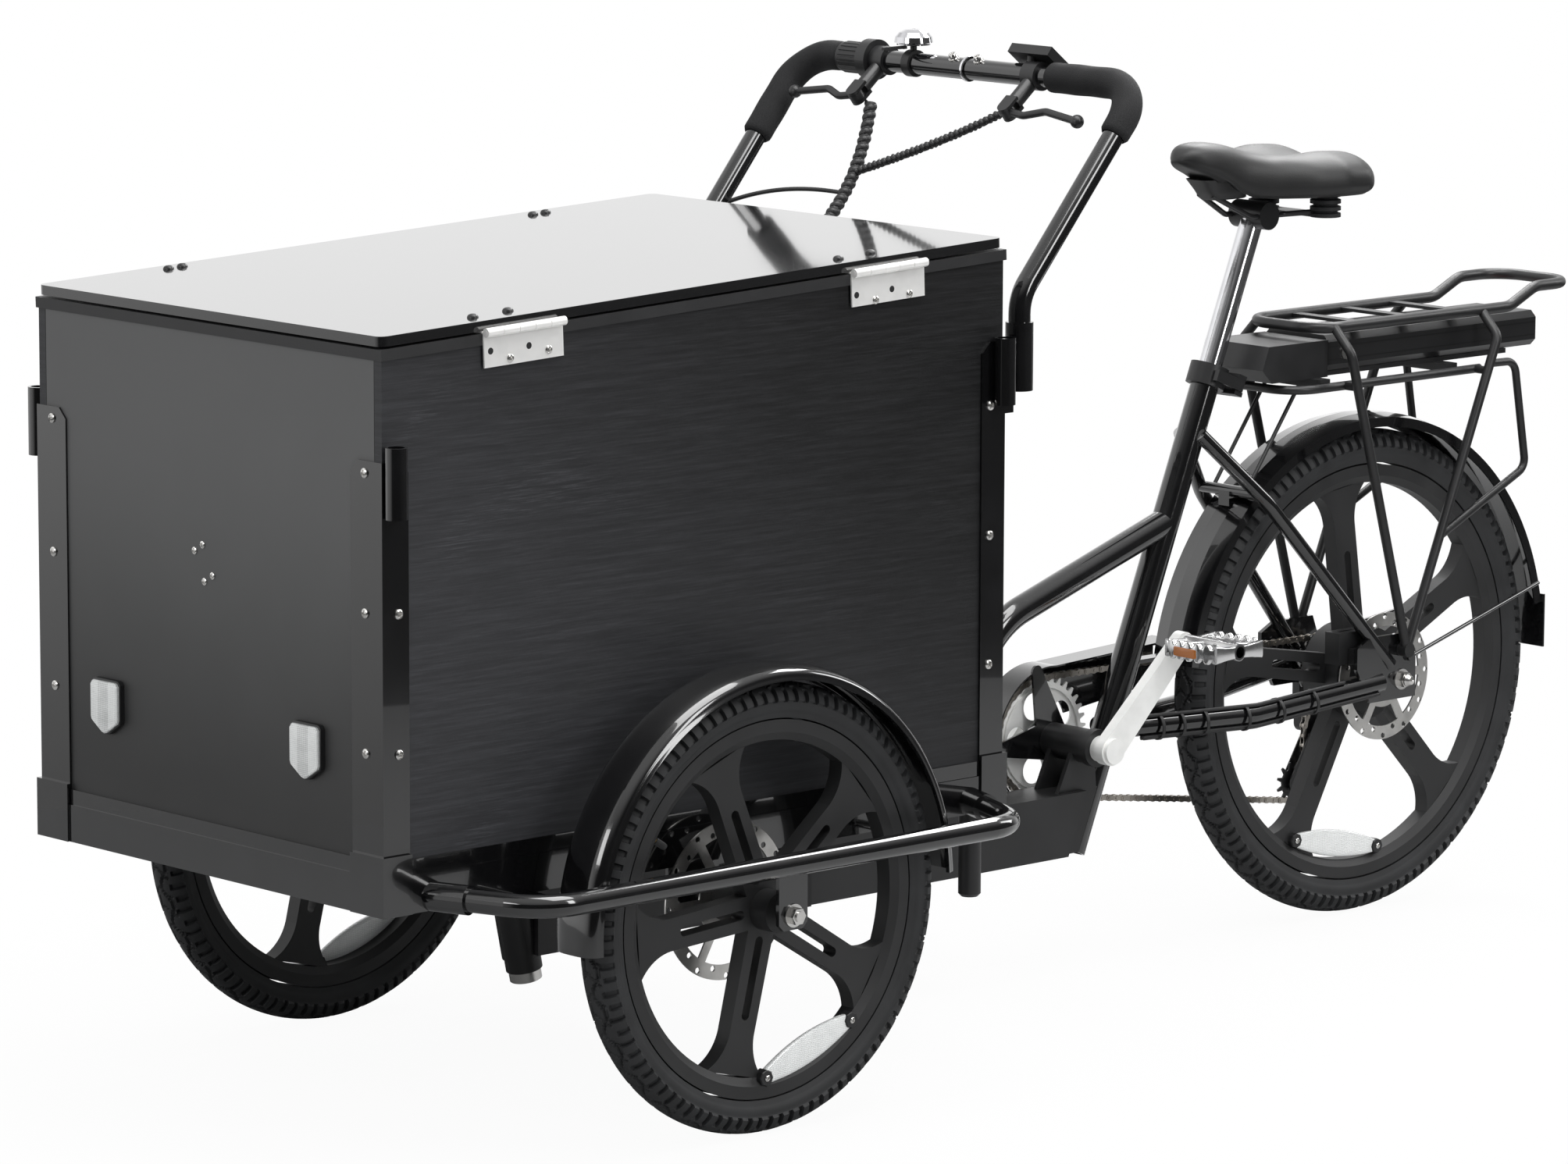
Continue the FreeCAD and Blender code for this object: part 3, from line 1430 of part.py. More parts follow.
# Top tube, from the seat tube over a knee down to the beam
top_tube_path = [
    (seat_x(S.top_tube_root), 0, seat_z(S.top_tube_root)),
    (fx + S.top_tube_knee_x, 0, S.top_tube_knee_z),
    (fx + S.top_tube_foot_x, 0, beam_top - S.top_tube_radius),
]
top_tube_open = tube("top_tube_open", top_tube_path, S.top_tube_bend, S.top_tube_radius, S.top_tube_bore)
node("top_tube", cut("top_tube_cut", top_tube_open, seat_solid, beam_solid))

# Rear triangle: stays, bridge and dropouts
rear_z = S.rear_tyre_radius
drop_face = S.dropout_y + S.dropout_thick / 2
drop_inner = S.dropout_y - S.dropout_thick / 2
chainstay_root = (S.chainstay_z - S.seat_tube_foot_z) / cos_of(S.seat_angle)
chainstay_path = [
    (seat_x(chainstay_root), S.chainstay_front_y, S.chainstay_z),
    (rx + S.chainstay_waist_x, S.chainstay_waist_y, S.chainstay_z + S.bearing_fit),
    (rx + S.stay_end_x, S.dropout_y, rear_z - S.bearing_fit),
]
seatstay_path = [
    (seat_x(S.seatstay_root), S.seatstay_root_y, seat_z(S.seatstay_root)),
    (rx + S.seatstay_knee_x, S.seatstay_knee_y, S.seatstay_knee_z),
    (rx + S.stay_top_x, S.dropout_y, rear_z + S.dropout_toe),
]
dropout_outline = [
    (rx - S.dropout_rear, rear_z - S.dropout_low),
    (rx + S.dropout_front - S.dropout_low, rear_z - S.dropout_low),
    (rx + S.dropout_front, rear_z + S.dropout_toe),
    (rx + S.dropout_front, rear_z + S.dropout_waist),
    (rx + S.dropout_front - S.dropout_low, rear_z + S.dropout_top),
    (rx - S.dropout_rear / 2, rear_z + S.dropout_top),
    (rx - S.dropout_rear, rear_z + S.dropout_low),
]
rear_hole = (rx, rear_z, S.axle_radius)
bridge_half = S.seatstay_knee_y - S.seatstay_radius / 2
bridge_rod = rod(
    "stay_bridge", S.stay_bridge_radius, rx + S.stay_bridge_x, -bridge_half, S.stay_bridge_z,
    2 * bridge_half, "y")
stay_parts = [
    cut("chainstay_cut", tube("chainstay", chainstay_path, S.seatstay_bend, S.chainstay_radius), seat_solid),
    cut("seatstay_cut", tube("seatstay", seatstay_path, S.seatstay_bend, S.seatstay_radius), seat_solid),
    plate("dropout", "XZ", dropout_outline, S.dropout_thick, S.dropout_y, [rear_hole]),
]
left_stays = fuse("left_stays", *stay_parts, refine=False)
right_stays = mirrored("right_stays", left_stays)
node("rear_triangle", fuse("triangle", left_stays, right_stays, bridge_rod, refine=False))

# Rear wheel with its hub motor, tyre and rotor
rear_casting = cast_wheel(
    S.rear_rim_radius, S.motor_radius, S.motor_half, S.motor_half, S.rear_spoke_slot_start,
    S.rear_spoke_slot_end, S.rear_spoke_angle, S.axle_radius + S.bearing_fit)
motor_parts = [
    place(shaped("rear_casting", rear_casting), rx, 0, rear_z),
    rod("motor_lips", S.motor_lip, rx, -S.motor_lip_half, rear_z, 2 * S.motor_lip_half, "y"),
    rod("rotor_boss", S.rotor_hub, rx, 0, rear_z, S.rotor_boss_end, "y"),
    rod("freewheel_seat", S.freewheel_boss, rx, -S.freewheel_boss_end, rear_z, S.freewheel_boss_end, "y"),
]
motor_bore = rod(
    "motor_bore", S.axle_radius + S.bearing_fit, rx, -S.freewheel_boss_end, rear_z,
    S.freewheel_boss_end + S.rotor_boss_end, "y")
node("rear_wheel", cut("rear_wheel_open", fuse("rear_wheel_solid", *motor_parts), motor_bore))
node("rear_tyre", turned(
    "rear_tyre_body", tyre_outline(S.rear_tyre_radius, S.rear_rim_radius), "y", rx, 0, rear_z))
rear_disc = rotor(S.rear_rotor_radius, S.rotor_hub)
node("rear_rotor", place(shaped("rear_disc", rear_disc), rx, S.rear_rotor_y, rear_z))

# Rear axle
dome_outline = [
    (0, 0), (S.nut_radius - S.washer_thick, 0), (S.nut_radius - S.washer_thick, S.nut_height / 3),
    (S.nut_radius / 2, S.nut_height), (0, S.nut_height + S.washer_thick)]
dome_y = drop_face + S.washer_thick + S.nut_height
rear_axle_parts = [
    rod("rear_bolt", S.axle_radius, rx, -dome_y, rear_z, 2 * dome_y, "y"),
    rod("rear_cone_left", S.cone_radius, rx, S.rotor_boss_end + S.cone_play, rear_z,
        drop_inner - S.rotor_boss_end - S.cone_play, "y"),
    rod("rear_cone_right", S.cone_radius, rx, -drop_inner, rear_z,
        drop_inner - S.freewheel_boss_end - S.cone_play, "y"),
    rod("rear_washer_left", S.washer_radius, rx, drop_face, rear_z, S.washer_thick, "y"),
    rod("rear_washer_right", S.washer_radius, rx, -drop_face - S.washer_thick, rear_z, S.washer_thick, "y"),
    hex_nut("rear_nut_left", rx, drop_face + S.washer_thick, rear_z),
    hex_nut("rear_nut_right", rx, -dome_y, rear_z),
    turned("rear_dome", dome_outline, "y", rx, dome_y, rear_z),
]
node("rear_axle", fuse("rear_axle_solid", *rear_axle_parts))

# Rear brake caliper inside the left dropout
brake_x = (rx + S.rear_caliper_x, rx + S.rear_caliper_x + S.caliper_length)
brake_z = (rear_z + S.rear_caliper_z, rear_z + S.rear_caliper_z + S.caliper_height)
brake_block = block(
    "rear_jaw", brake_x,
    (S.rear_rotor_y - S.rear_caliper_depth, S.rear_rotor_y + S.rear_caliper_depth), brake_z)
reach_share = 0.78
brake_slot = block(
    "rear_jaw_slot", (brake_x[0], brake_x[0] + S.caliper_length * reach_share),
    (S.rear_rotor_y - S.caliper_gap, S.rear_rotor_y + S.caliper_gap), brake_z)
brake_bracket = block(
    "rear_jaw_bracket", (rx + S.rear_bracket_x, rx + S.rear_bracket_x + S.rear_bracket_width),
    (S.rear_rotor_y + S.rear_caliper_depth, drop_inner),
    (brake_z[0], brake_z[0] + S.rear_bracket_width))
node("rear_caliper", fuse("rear_brake", cut("rear_jaw_open", brake_block, brake_slot), brake_bracket))

# Rear mudguard with flap, stay rods and the tabs that hold it
rear_guard = place(
    shaped("rear_guard", mudguard(S.rear_tyre_radius, S.rear_guard_start, S.rear_guard_end)), rx, 0, rear_z)
guard_r = S.rear_tyre_radius + S.mudguard_gap
flap_x = rx - guard_r * sin_of(S.rear_guard_end - FULL_TURN / 4)
flap_z = rear_z + guard_r * sin_of(S.rear_guard_end)
flap = block(
    "flap", (flap_x - S.flap_thick, flap_x), (-S.flap_width / 2, S.flap_width / 2),
    (flap_z - S.flap_length, flap_z + S.overrun / 2))
rod_start = (rx + S.stay_rod_x, drop_face + S.stay_rod, rear_z + S.stay_rod_z)
rod_end = (rx + S.stay_rod_rear, S.mudguard_half, rear_z + S.stay_rod_rear_z)
stay_rods = []
for side in SIDES:
    first = (rod_start[0], rod_start[1] * side, rod_start[2])
    last = (rod_end[0], rod_end[1] * side, rod_end[2])
    stay_rods.append(bar("stay_rod", S.stay_rod, first, last))
    eye_y = drop_face if side > 0 else -drop_face - 2 * S.stay_rod
    stay_rods.append(rod("stay_eye", S.stay_rod_eye, rod_start[0], eye_y, rod_start[2], 2 * S.stay_rod, "y"))
tab_z = rear_z + guard_r * sin_of(S.rear_guard_start) + S.guard_tab_half
tab_end = seat_foot_x - (tab_z - S.seat_tube_foot_z) * beam_lean
front_tab = block(
    "front_tab", (rx + guard_r - S.guard_tab_half, tab_end), (-S.guard_tab_half, S.guard_tab_half),
    (tab_z, tab_z + S.guard_tab_thick))
bridge_tab = block(
    "bridge_tab",
    (rx + S.stay_bridge_x - S.guard_tab_half, rx + S.stay_bridge_x + S.guard_tab_half),
    (-S.guard_tab_half, S.guard_tab_half),
    (S.stay_bridge_z - 2 * S.guard_tab_half, S.stay_bridge_z))
front_tab = cut("front_tab_cut", front_tab, seat_solid)
guard_all = fuse("rear_guard_all", rear_guard, flap, *stay_rods, front_tab, bridge_tab)
node("rear_mudguard", cut("rear_guard_cut", guard_all, bridge_rod, left_stays, right_stays))

# Rack: deck loop, lower loop, legs, slats and side loops, each half mirrored
deck_path = [
    (rx + S.rack_front, 0, S.rack_z),
    (rx + S.rack_front, S.rack_y, S.rack_z),
    (rx - S.rack_knee, S.rack_y, S.rack_z),
    (rx - S.rack_knee - S.rack_loop_step, S.rack_y, S.rack_z + S.rack_loop_rise),
    (rx - S.rack_loop_reach, S.rack_y, S.rack_z + S.rack_loop_rise),
    (rx - S.rack_loop_reach, 0, S.rack_z + S.rack_loop_rise),
]
low_path = [
    (rx + S.rack_low_front, 0, S.rack_low_z),
    (rx + S.rack_low_front, S.rack_low_y, S.rack_low_z),
    (rx + S.rack_low_rear, S.rack_low_y, S.rack_low_z),
]
leg_foot_z = rear_z + S.rack_leg_foot
leg_knee_z = S.rack_z - S.rack_leg_knee
front_leg = [
    (rx + S.rack_leg_front, S.rack_y, S.rack_z),
    (rx + S.rack_leg_front, S.rack_leg_y, leg_knee_z),
    (rx, S.rack_leg_y, leg_foot_z),
]
rear_leg = [
    (rx + S.rack_leg_rear, S.rack_y, S.rack_z),
    (rx + S.rack_leg_rear, S.rack_leg_y, leg_knee_z),
    (rx, S.rack_leg_y, leg_foot_z),
]
side_loop_top = along(rear_leg[1], rear_leg[2], S.rack_leg_bend)
side_loop_foot = tuple(a + (b - a) * S.rack_side_foot_share for a, b in zip(rear_leg[1], rear_leg[2]))
side_loop = [
    side_loop_top,
    (rx + S.rack_side_top, S.rack_leg_y, S.rack_side_top_z),
    (rx + S.rack_side_low, S.rack_leg_y, S.rack_side_z),
    side_loop_foot,
]
rack_parts = [
    tube("rack_deck", deck_path, S.rack_bend, S.rack_tube),
    tube("rack_low", low_path, S.rack_bend, S.rack_low_tube),
    tube("rack_front_leg", front_leg, S.rack_leg_bend / 2, S.rack_leg_tube),
    tube("rack_rear_leg", rear_leg, S.rack_leg_bend / 2, S.rack_leg_tube),
    tube("rack_side", side_loop, S.rack_leg_bend / 2, S.rack_loop_tube),
    rod("rack_foot", S.rack_foot_radius, rx, drop_face, leg_foot_z,
        S.rack_leg_y + S.rack_leg_tube - drop_face, "y"),
]
for leg in (front_leg, rear_leg):
    drop_share = (leg_knee_z - S.rack_low_z) / (leg_knee_z - leg_foot_z)
    tie_x = leg[1][0] + (leg[2][0] - leg[1][0]) * drop_share
    rack_parts.append(rod(
        "rack_tie", S.rack_loop_tube, tie_x, S.rack_low_y, S.rack_low_z, S.rack_leg_y - S.rack_low_y, "y"))
rack_parts += [mirrored("rack_right", piece) for piece in rack_parts]
dock_foot = S.battery_foot - S.dock_gap - S.dock_thick
for spot in (S.rack_cross_front, S.rack_cross_rear):
    rack_parts.append(block(
        "rack_cross", (rx + spot - S.rack_cross_width / 2, rx + spot + S.rack_cross_width / 2),
        (-S.rack_low_y, S.rack_low_y), (S.rack_low_z, dock_foot)))
slat_count = 3
for i in range(slat_count):
    slat_x = rx + S.rack_slat_first + S.rack_slat_pitch * i
    rack_parts.append(block(
        "rack_slat", (slat_x - S.rack_slat / 2, slat_x + S.rack_slat / 2), (-S.rack_y, S.rack_y),
        (S.rack_z - S.rack_slat_thick / 2, S.rack_z + S.rack_slat_thick / 2)))
for side in SIDES:
    rack_parts.append(bar(
        "rack_brace", S.stay_rod,
        (rx + S.rack_cross_front, S.rack_brace_y * side, S.rack_low_z + S.stay_rod),
        (rx + S.stay_bridge_x, S.rack_brace_y * side, S.stay_bridge_z)))
node("rack", cut("rack_cut", fuse("rack_solid", *rack_parts), bridge_rod))

# Battery dock and controller case, battery with tail light, key lock
battery_half = S.battery_width / 2
battery_top = S.battery_foot + S.battery_height
dock_tray = block(
    "dock_tray", (rx + S.battery_rear + S.rack_low_front / 4, rx + S.battery_front + S.dock_thick),
    (S.battery_corner - battery_half, battery_half - S.battery_corner), (dock_foot, dock_foot + S.dock_thick))
case_back = rx + S.battery_front + S.dock_gap
case_outline = [
    (case_back, dock_foot), (rx + S.dock_front - S.dock_nose / 2, dock_foot),
    (rx + S.dock_front, dock_foot + S.dock_nose / 2), (rx + S.dock_front - S.dock_nose / 3, S.dock_top),
    (case_back, S.dock_top)]
dock_case = plate("dock_case", "XZ", case_outline, S.battery_width, 0)
node("battery_dock", fuse("dock_solid", dock_tray, dock_case))

crop = S.battery_corner
battery_outline = [
    (crop - battery_half, S.battery_foot), (battery_half - crop, S.battery_foot),
    (battery_half, S.battery_foot + crop), (battery_half, battery_top - crop),
    (battery_half - crop, battery_top), (crop - battery_half, battery_top),
    (-battery_half, battery_top - crop), (-battery_half, S.battery_foot + crop)]
battery_long = S.battery_front - S.battery_rear
battery_case = plate(
    "battery_case", "YZ", battery_outline, battery_long, rx + S.battery_rear + battery_long / 2)
light = block(
    "tail_light_body", (rx + S.battery_rear - S.tail_light, rx + S.battery_rear),
    (S.tail_light - battery_half, battery_half - S.tail_light),
    (S.battery_foot + crop, battery_top - crop))
lock_hole = rod(
    "lock_hole", S.lock_radius + S.bearing_fit, rx + S.lock_x, battery_half - S.lock_depth, S.lock_z,
    S.lock_depth + S.overrun, "y")
node("battery", cut("battery_open", fuse("battery_solid", battery_case, light), lock_hole))
lock_barrel = rod(
    "lock_barrel", S.lock_radius, rx + S.lock_x, battery_half - S.lock_depth + S.dock_gap, S.lock_z,
    S.lock_depth - S.dock_gap + S.lock_proud, "y")
lock_slit = block(
    "lock_slit",
    (rx + S.lock_x - S.link_plate, rx + S.lock_x + S.link_plate),
    (battery_half + S.lock_proud - S.lock_proud / 2, battery_half + S.lock_proud),
    (S.lock_z - S.lock_radius / 2, S.lock_z + S.lock_radius / 2))
node("battery_lock", cut("lock", lock_barrel, lock_slit))

# Crank arms with the spindle and pedal axles
crank_cos = cos_of(S.crank_angle)
crank_sin = sin_of(S.crank_angle)
eyes = {side: (bb_x + S.crank_length * crank_cos * side, S.bb_z + S.crank_length * crank_sin * side)
        for side in SIDES}
left_out = S.crank_y + S.crank_thick
right_out = S.crank_right_y + S.crank_thick
axle_reach = S.pedal_gap + S.pedal_width
left_boss = S.bb_left + S.bb_cup + S.crank_gap
crank_parts = [
    rod("spindle", S.spindle_radius, bb_x, -right_out, S.bb_z, right_out + left_out, "y"),
    strap("crank_left", (bb_x, S.bb_z), eyes[1], S.crank_boss, S.crank_eye,
          S.crank_y + S.crank_thick / 2, S.crank_thick),
    strap("crank_right", (bb_x, S.bb_z), eyes[-1], S.crank_boss, S.crank_eye,
          -S.crank_right_y - S.crank_thick / 2, S.crank_thick),
    rod("crank_boss_left", S.crank_boss - S.crank_cap / 2, bb_x, left_boss, S.bb_z,
        left_out + S.crank_cap - left_boss, "y"),
    rod("crank_cap_right", S.crank_boss - S.crank_cap, bb_x, -right_out - S.crank_cap, S.bb_z,
        S.crank_cap, "y"),
    rod("pedal_axle_left", S.pedal_axle, eyes[1][0], S.crank_y, eyes[1][1], S.crank_thick + axle_reach, "y"),
    rod("pedal_axle_right", S.pedal_axle, eyes[-1][0], -right_out - axle_reach, eyes[-1][1],
        S.crank_thick + axle_reach, "y"),
]
node("crank_arms", fuse("crank_solid", *crank_parts))


def pedal(name, x, low, z):
    """A cage pedal with its barrel on the pedal axle; low is the smaller y of the two sides."""
    long = S.pedal_length / 2
    high = low + S.pedal_width
    tall = (z - S.pedal_height / 2, z + S.pedal_height / 2)
    cage = block(f"{name}_cage", (x - long, x + long), (low, high), tall)
    gap_y = (low + S.pedal_bar, high - S.pedal_bar)
    windows = []
    for side in SIDES:
        ends = sorted((x + side * S.pedal_barrel, x + side * (long - S.pedal_bar)), key=number_of)
        windows.append(block(f"{name}_window", tuple(ends), gap_y, tall))
    barrel = rod(f"{name}_barrel", S.pedal_barrel, x, low, z, S.pedal_width, "y")
    bore = rod(f"{name}_bore", S.pedal_axle + S.bearing_fit, x, low - S.overrun, z,
               S.pedal_width + 2 * S.overrun, "y")
    return cut(name, fuse(f"{name}_solid", cut(f"{name}_open", cage, *windows), barrel), bore)


node("pedal_left", pedal("left_pedal", eyes[1][0], left_out + S.pedal_gap, eyes[1][1]))
node("pedal_right", pedal("right_pedal", eyes[-1][0], -right_out - axle_reach, eyes[-1][1]))


# Toothed wheels of the chain drive
def pitch_radius(teeth):
    return S.chain_pitch.number / (2 * math.sin(math.pi / teeth))


def toothed(teeth, thick):
    """A toothed disc about the Y axis, half its thickness either side of the origin."""
    middle = pitch_radius(teeth)
    low = middle - S.ring_root.number
    high = middle + S.ring_tip.number
    tooth_shares = ((0.0, low), (0.20, low), (0.40, high), (0.60, high), (0.80, low))
    points = []
    for i in range(teeth):
        for turn_share, radius in tooth_shares[1:]:
            angle = 2 * math.pi * (i + turn_share) / teeth
            points.append(Vector(radius * math.cos(angle), -thick / 2, radius * math.sin(angle)))
    return Part.Face(Part.makePolygon(points + points[:1])).extrude(Vector(0, thick, 0))


y_axis = Vector(0, 1, 0)
ring_thick = S.ring_thick.number
ring_foot = Vector(0, -ring_thick / 2, 0)
ring = toothed(int(S.ring_teeth.number), ring_thick)
lip_thick = ring_thick + S.ring_lip_width.number
ring_lip = Part.makeCylinder(S.ring_lip.number, lip_thick, ring_foot, y_axis)
ring_lip = ring_lip.cut(
    Part.makeCylinder(S.ring_lip.number - S.ring_lip_width.number, lip_thick, ring_foot, y_axis))
ring_boss = Part.makeCylinder(S.ring_boss.number, lip_thick, ring_foot, y_axis)
ring = ring.multiFuse([ring_lip, ring_boss])
window_count = 5
window = Part.makeCylinder(
    S.ring_window.number, lip_thick, Vector(S.ring_window_radius.number, -ring_thick / 2, 0), y_axis)
openings = [spun(window, Vector(), FULL_TURN * i / window_count) for i in range(window_count)]
openings.append(Part.makeCylinder(S.spindle_radius.number, lip_thick, ring_foot, y_axis))
ring = ring.cut(Part.makeCompound(openings)).removeSplitter()
node("chainring", place(shaped("ring", ring), bb_x, S.chain_y, S.bb_z))

cog_count = int(S.cog_count.number)
middle_cog = cog_count // 2
cogs = []
for i in range(cog_count):
    teeth = int(S.cog_teeth.number + S.cog_step.number * (middle_cog - i))
    cog = toothed(teeth, S.cog_thick.number)
    cog.translate(Vector(0, S.cog_gap.number * (middle_cog - i), 0))
    cogs.append(cog)
stack = S.cog_gap.number * middle_cog + S.cog_thick.number / 2
body_foot = Vector(0, -stack, 0)
cog_body = Part.makeCylinder(S.cog_body.number, 2 * stack, body_foot, y_axis)
cog_bore = Part.makeCylinder(
    S.freewheel_boss.number + S.bearing_fit.number, 2 * stack, body_foot, y_axis)
freewheel = cog_body.multiFuse(cogs).cut(cog_bore).removeSplitter()
node("freewheel", place(shaped("cog_stack", freewheel), rx, S.chain_y, rear_z))

guide = (rx + S.guide_x, S.guide_z)
tension = (rx + S.tension_x, S.tension_z)
pulley_teeth = int(S.pulley_teeth.number)
pulley_bore = Part.makeCylinder(
    S.pulley_pin.number + S.bearing_fit.number, S.cog_thick.number,
    Vector(0, -S.cog_thick.number / 2, 0), y_axis)
pulley = toothed(pulley_teeth, S.cog_thick.number).cut(pulley_bore)
node("guide_pulley", place(shaped("guide_wheel", pulley), guide[0], S.chain_y, guide[1]))
node("tension_pulley", place(shaped("tension_wheel", pulley), tension[0], S.chain_y, tension[1]))

# Chain: link plates set out along the belt line round the four toothed wheels
wheels = [
    (Vector(bb_x.number, S.bb_z.number, 0), pitch_radius(int(S.ring_teeth.number)), 1),
    (Vector(rx.number, rear_z.number, 0), pitch_radius(int(S.cog_teeth.number)), 1),
    (Vector(guide[0].number, guide[1].number, 0), pitch_radius(pulley_teeth), -1),
    (Vector(tension[0].number, tension[1].number, 0), pitch_radius(pulley_teeth), 1),
]
tangents = []
for (c1, r1, s1), (c2, r2, s2) in zip(wheels, wheels[1:] + wheels[:1]):
    way = c2 - c1
    turn = math.atan2(way.y, way.x) + math.acos((s2 * r2 - s1 * r1) / way.Length)
    normal = Vector(math.cos(turn), math.sin(turn), 0)
    tangents.append((c1 - normal * (s1 * r1), c2 - normal * (s2 * r2)))
edges = []
for i, (centre, radius, sense) in enumerate(wheels):
    arrive = tangents[i - 1][1]
    leave = tangents[i][0]
    first = math.atan2(arrive.y - centre.y, arrive.x - centre.x)
    last = math.atan2(leave.y - centre.y, leave.x - centre.x)
    sweep = (sense * (last - first)) % (2 * math.pi)
    halfway = first + sense * sweep / 2
    top = centre + Vector(radius * math.cos(halfway), radius * math.sin(halfway), 0)
    edges.append(Part.Arc(arrive, top, leave).toShape())
    edges.append(Part.LineSegment(*tangents[i]).toShape())
lengths = [edge.Length for edge in edges]
pair = 2 * S.chain_pitch.number
link_count = 2 * round(sum(lengths) / pair)
link_pitch = sum(lengths) / link_count


def chain_point(distance):
    """The point of the belt line at a distance from its start."""
    for edge, length in zip(edges, lengths):
        if distance <= length:
            share = distance / length
            return edge.valueAt(edge.FirstParameter + share * (edge.LastParameter - edge.FirstParameter))
        distance -= length
    return edges[-1].Vertexes[-1].Point


joints = [chain_point(link_pitch * i) for i in range(link_count)]
link_plate = S.link_plate.number
link_inner = S.link_inner.number
link_height = S.link_height.number
chain_y = S.chain_y.number
link_end_share = 0.8
chain_parts = []
for i, (a, b) in enumerate(zip(joints, joints[1:] + joints[:1])):
    way = b - a
    gap = link_inner if i % 2 == 0 else link_inner + link_plate
    long = way.Length + link_height * link_end_share
    for side in SIDES:
        low = gap if side > 0 else -gap - link_plate
        link = Part.makeBox(long, link_plate, link_height, Vector(-long / 2, low, -link_height / 2))
        link.rotate(Vector(), Vector(0, -1, 0), math.degrees(math.atan2(way.y, way.x)))
        middle = (a + b) / 2
        link.translate(Vector(middle.x, chain_y, middle.y))
        chain_parts.append(link)
clear_pin = S.link_pin.number + S.ring_tip.number + S.link_plate.number
pin_points = 6
for spot in joints:
    if any((spot - centre).Length < radius + clear_pin for centre, radius, sense in wheels):
        continue
    corners = []
    for k in range(pin_points + 1):
        angle = 2 * math.pi * k / pin_points
        corners.append(Vector(
            spot.x + S.link_pin.number * math.cos(angle), chain_y - link_inner,
            spot.y + S.link_pin.number * math.sin(angle)))
    chain_parts.append(Part.Face(Part.makePolygon(corners)).extrude(Vector(0, 2 * link_inner, 0)))
node("chain", shaped("chain_links", Part.makeCompound(chain_parts)))

# Derailleur: cage plates on the pulley pins, and the body up to the right dropout
cage_parts = []
for side in SIDES:
    cage_y = S.chain_y + side * S.cage_half
    cage_parts.append(strap(
        "cage_plate", guide, tension, S.cage_rim, S.cage_rim, cage_y, S.cage_plate))
for spot in (guide, tension):
    cage_parts.append(rod(
        "cage_pin", S.pulley_pin, spot[0], S.chain_y - S.cage_half, spot[1], 2 * S.cage_half, "y"))
hanger_x = rx + S.guide_x
hanger_z = rear_z - S.dropout_low
arm_y = S.chain_y - S.cage_half
arm_thick = S.dropout_y + arm_y
cage_parts.append(strap(
    "derailleur_arm", guide, (hanger_x, hanger_z - S.hanger_drop), S.cage_rim, S.cage_rim,
    arm_y - arm_thick / 2, arm_thick))
cage_parts.append(block(
    "hanger", (hanger_x - S.cage_rim, hanger_x + S.cage_rim), (-drop_face, S.hanger_depth - drop_face),
    (hanger_z - S.hanger_drop, hanger_z)))
node("derailleur", fuse("derailleur_solid", *cage_parts))

# Chain guard: a flat face with a turned-in rim over the chainring and the upper run
def guard_face(radius, top, end_x, opening, start, drop, y):
    """Closed face of the guard: an arc over the chainring, a run to the rear and an opening."""
    centre = Vector(bb_x.number, y, S.bb_z.number)

    def spot(size, angle):
        turn = math.radians(angle)
        return centre + Vector(size * math.cos(turn), 0, size * math.sin(turn))

    finish = S.case_end.number
    tuck = S.case_tuck.number
    rear_foot = S.case_rear_foot.number - drop
    corners = [spot(radius, finish), Vector(end_x, y, top), Vector(end_x, y, rear_foot), spot(opening, tuck)]
    middle = (start + finish) / 2
    outline = [Part.Arc(spot(radius, start), spot(radius, middle), spot(radius, finish)).toShape()]
    outline += [Part.LineSegment(a, b).toShape() for a, b in zip(corners, corners[1:])]
    outline.append(Part.Arc(
        spot(opening, tuck), spot(opening, (start + tuck) / 2), spot(opening, start)).toShape())
    outline.append(Part.LineSegment(spot(opening, start), spot(radius, start)).toShape())
    return Part.Face(Part.Wire(outline))


skin = S.case_sheet.number
case_low = -S.case_outer.number
case_depth = S.case_outer.number - S.case_inner.number
margin = S.overrun.number
case_solid = guard_face(
    S.case_radius.number, S.case_rear_top.number, fx.number + S.case_rear.number, S.case_opening.number,
    S.case_start.number, 0, case_low).extrude(Vector(0, case_depth, 0))
case_hollow = guard_face(
    S.case_radius.number - skin, S.case_rear_top.number - skin, fx.number + S.case_rear.number - margin,
    S.case_opening.number - margin, S.case_start.number - margin, margin,
    case_low + skin).extrude(Vector(0, case_depth, 0))
case_shell = shaped("case_shell", case_solid.cut(case_hollow))
bracket_y = -S.case_inner + S.case_bracket / 2
case_arms = []
for turn_share in (0.28, 0.83):
    angle = S.case_start + (S.case_end - S.case_start) * turn_share
    tip = (bb_x + S.case_radius * cos_of(angle), S.bb_z + S.case_radius * sin_of(angle))
    case_arms.append(strap(
        "case_arm", (bb_x, S.bb_z), tip, S.case_bracket_hub, S.case_bracket_half, bracket_y, S.case_bracket))
bracket_hole = rod(
    "case_bracket_hole", S.spindle_radius + S.crank_cap, bb_x, -S.case_inner - S.overrun, S.bb_z,
    2 * S.overrun, "y")
case_bracket = cut("case_bracket_open", fuse("case_bracket", *case_arms), bracket_hole)
node("chain_guard", group("case", case_shell, case_bracket))

# Seat post, collar and its lever
post_solid = seat_rod(
    "post_solid", S.post_radius, S.seat_tube_length - S.post_sink, S.seat_tube_length + S.post_rise)
post_bore = seat_rod(
    "post_bore", S.post_radius - S.post_wall, S.seat_tube_length - S.post_sink,
    S.seat_tube_length + S.post_rise - S.collar_height)
node("seat_post", cut("post", post_solid, post_bore))

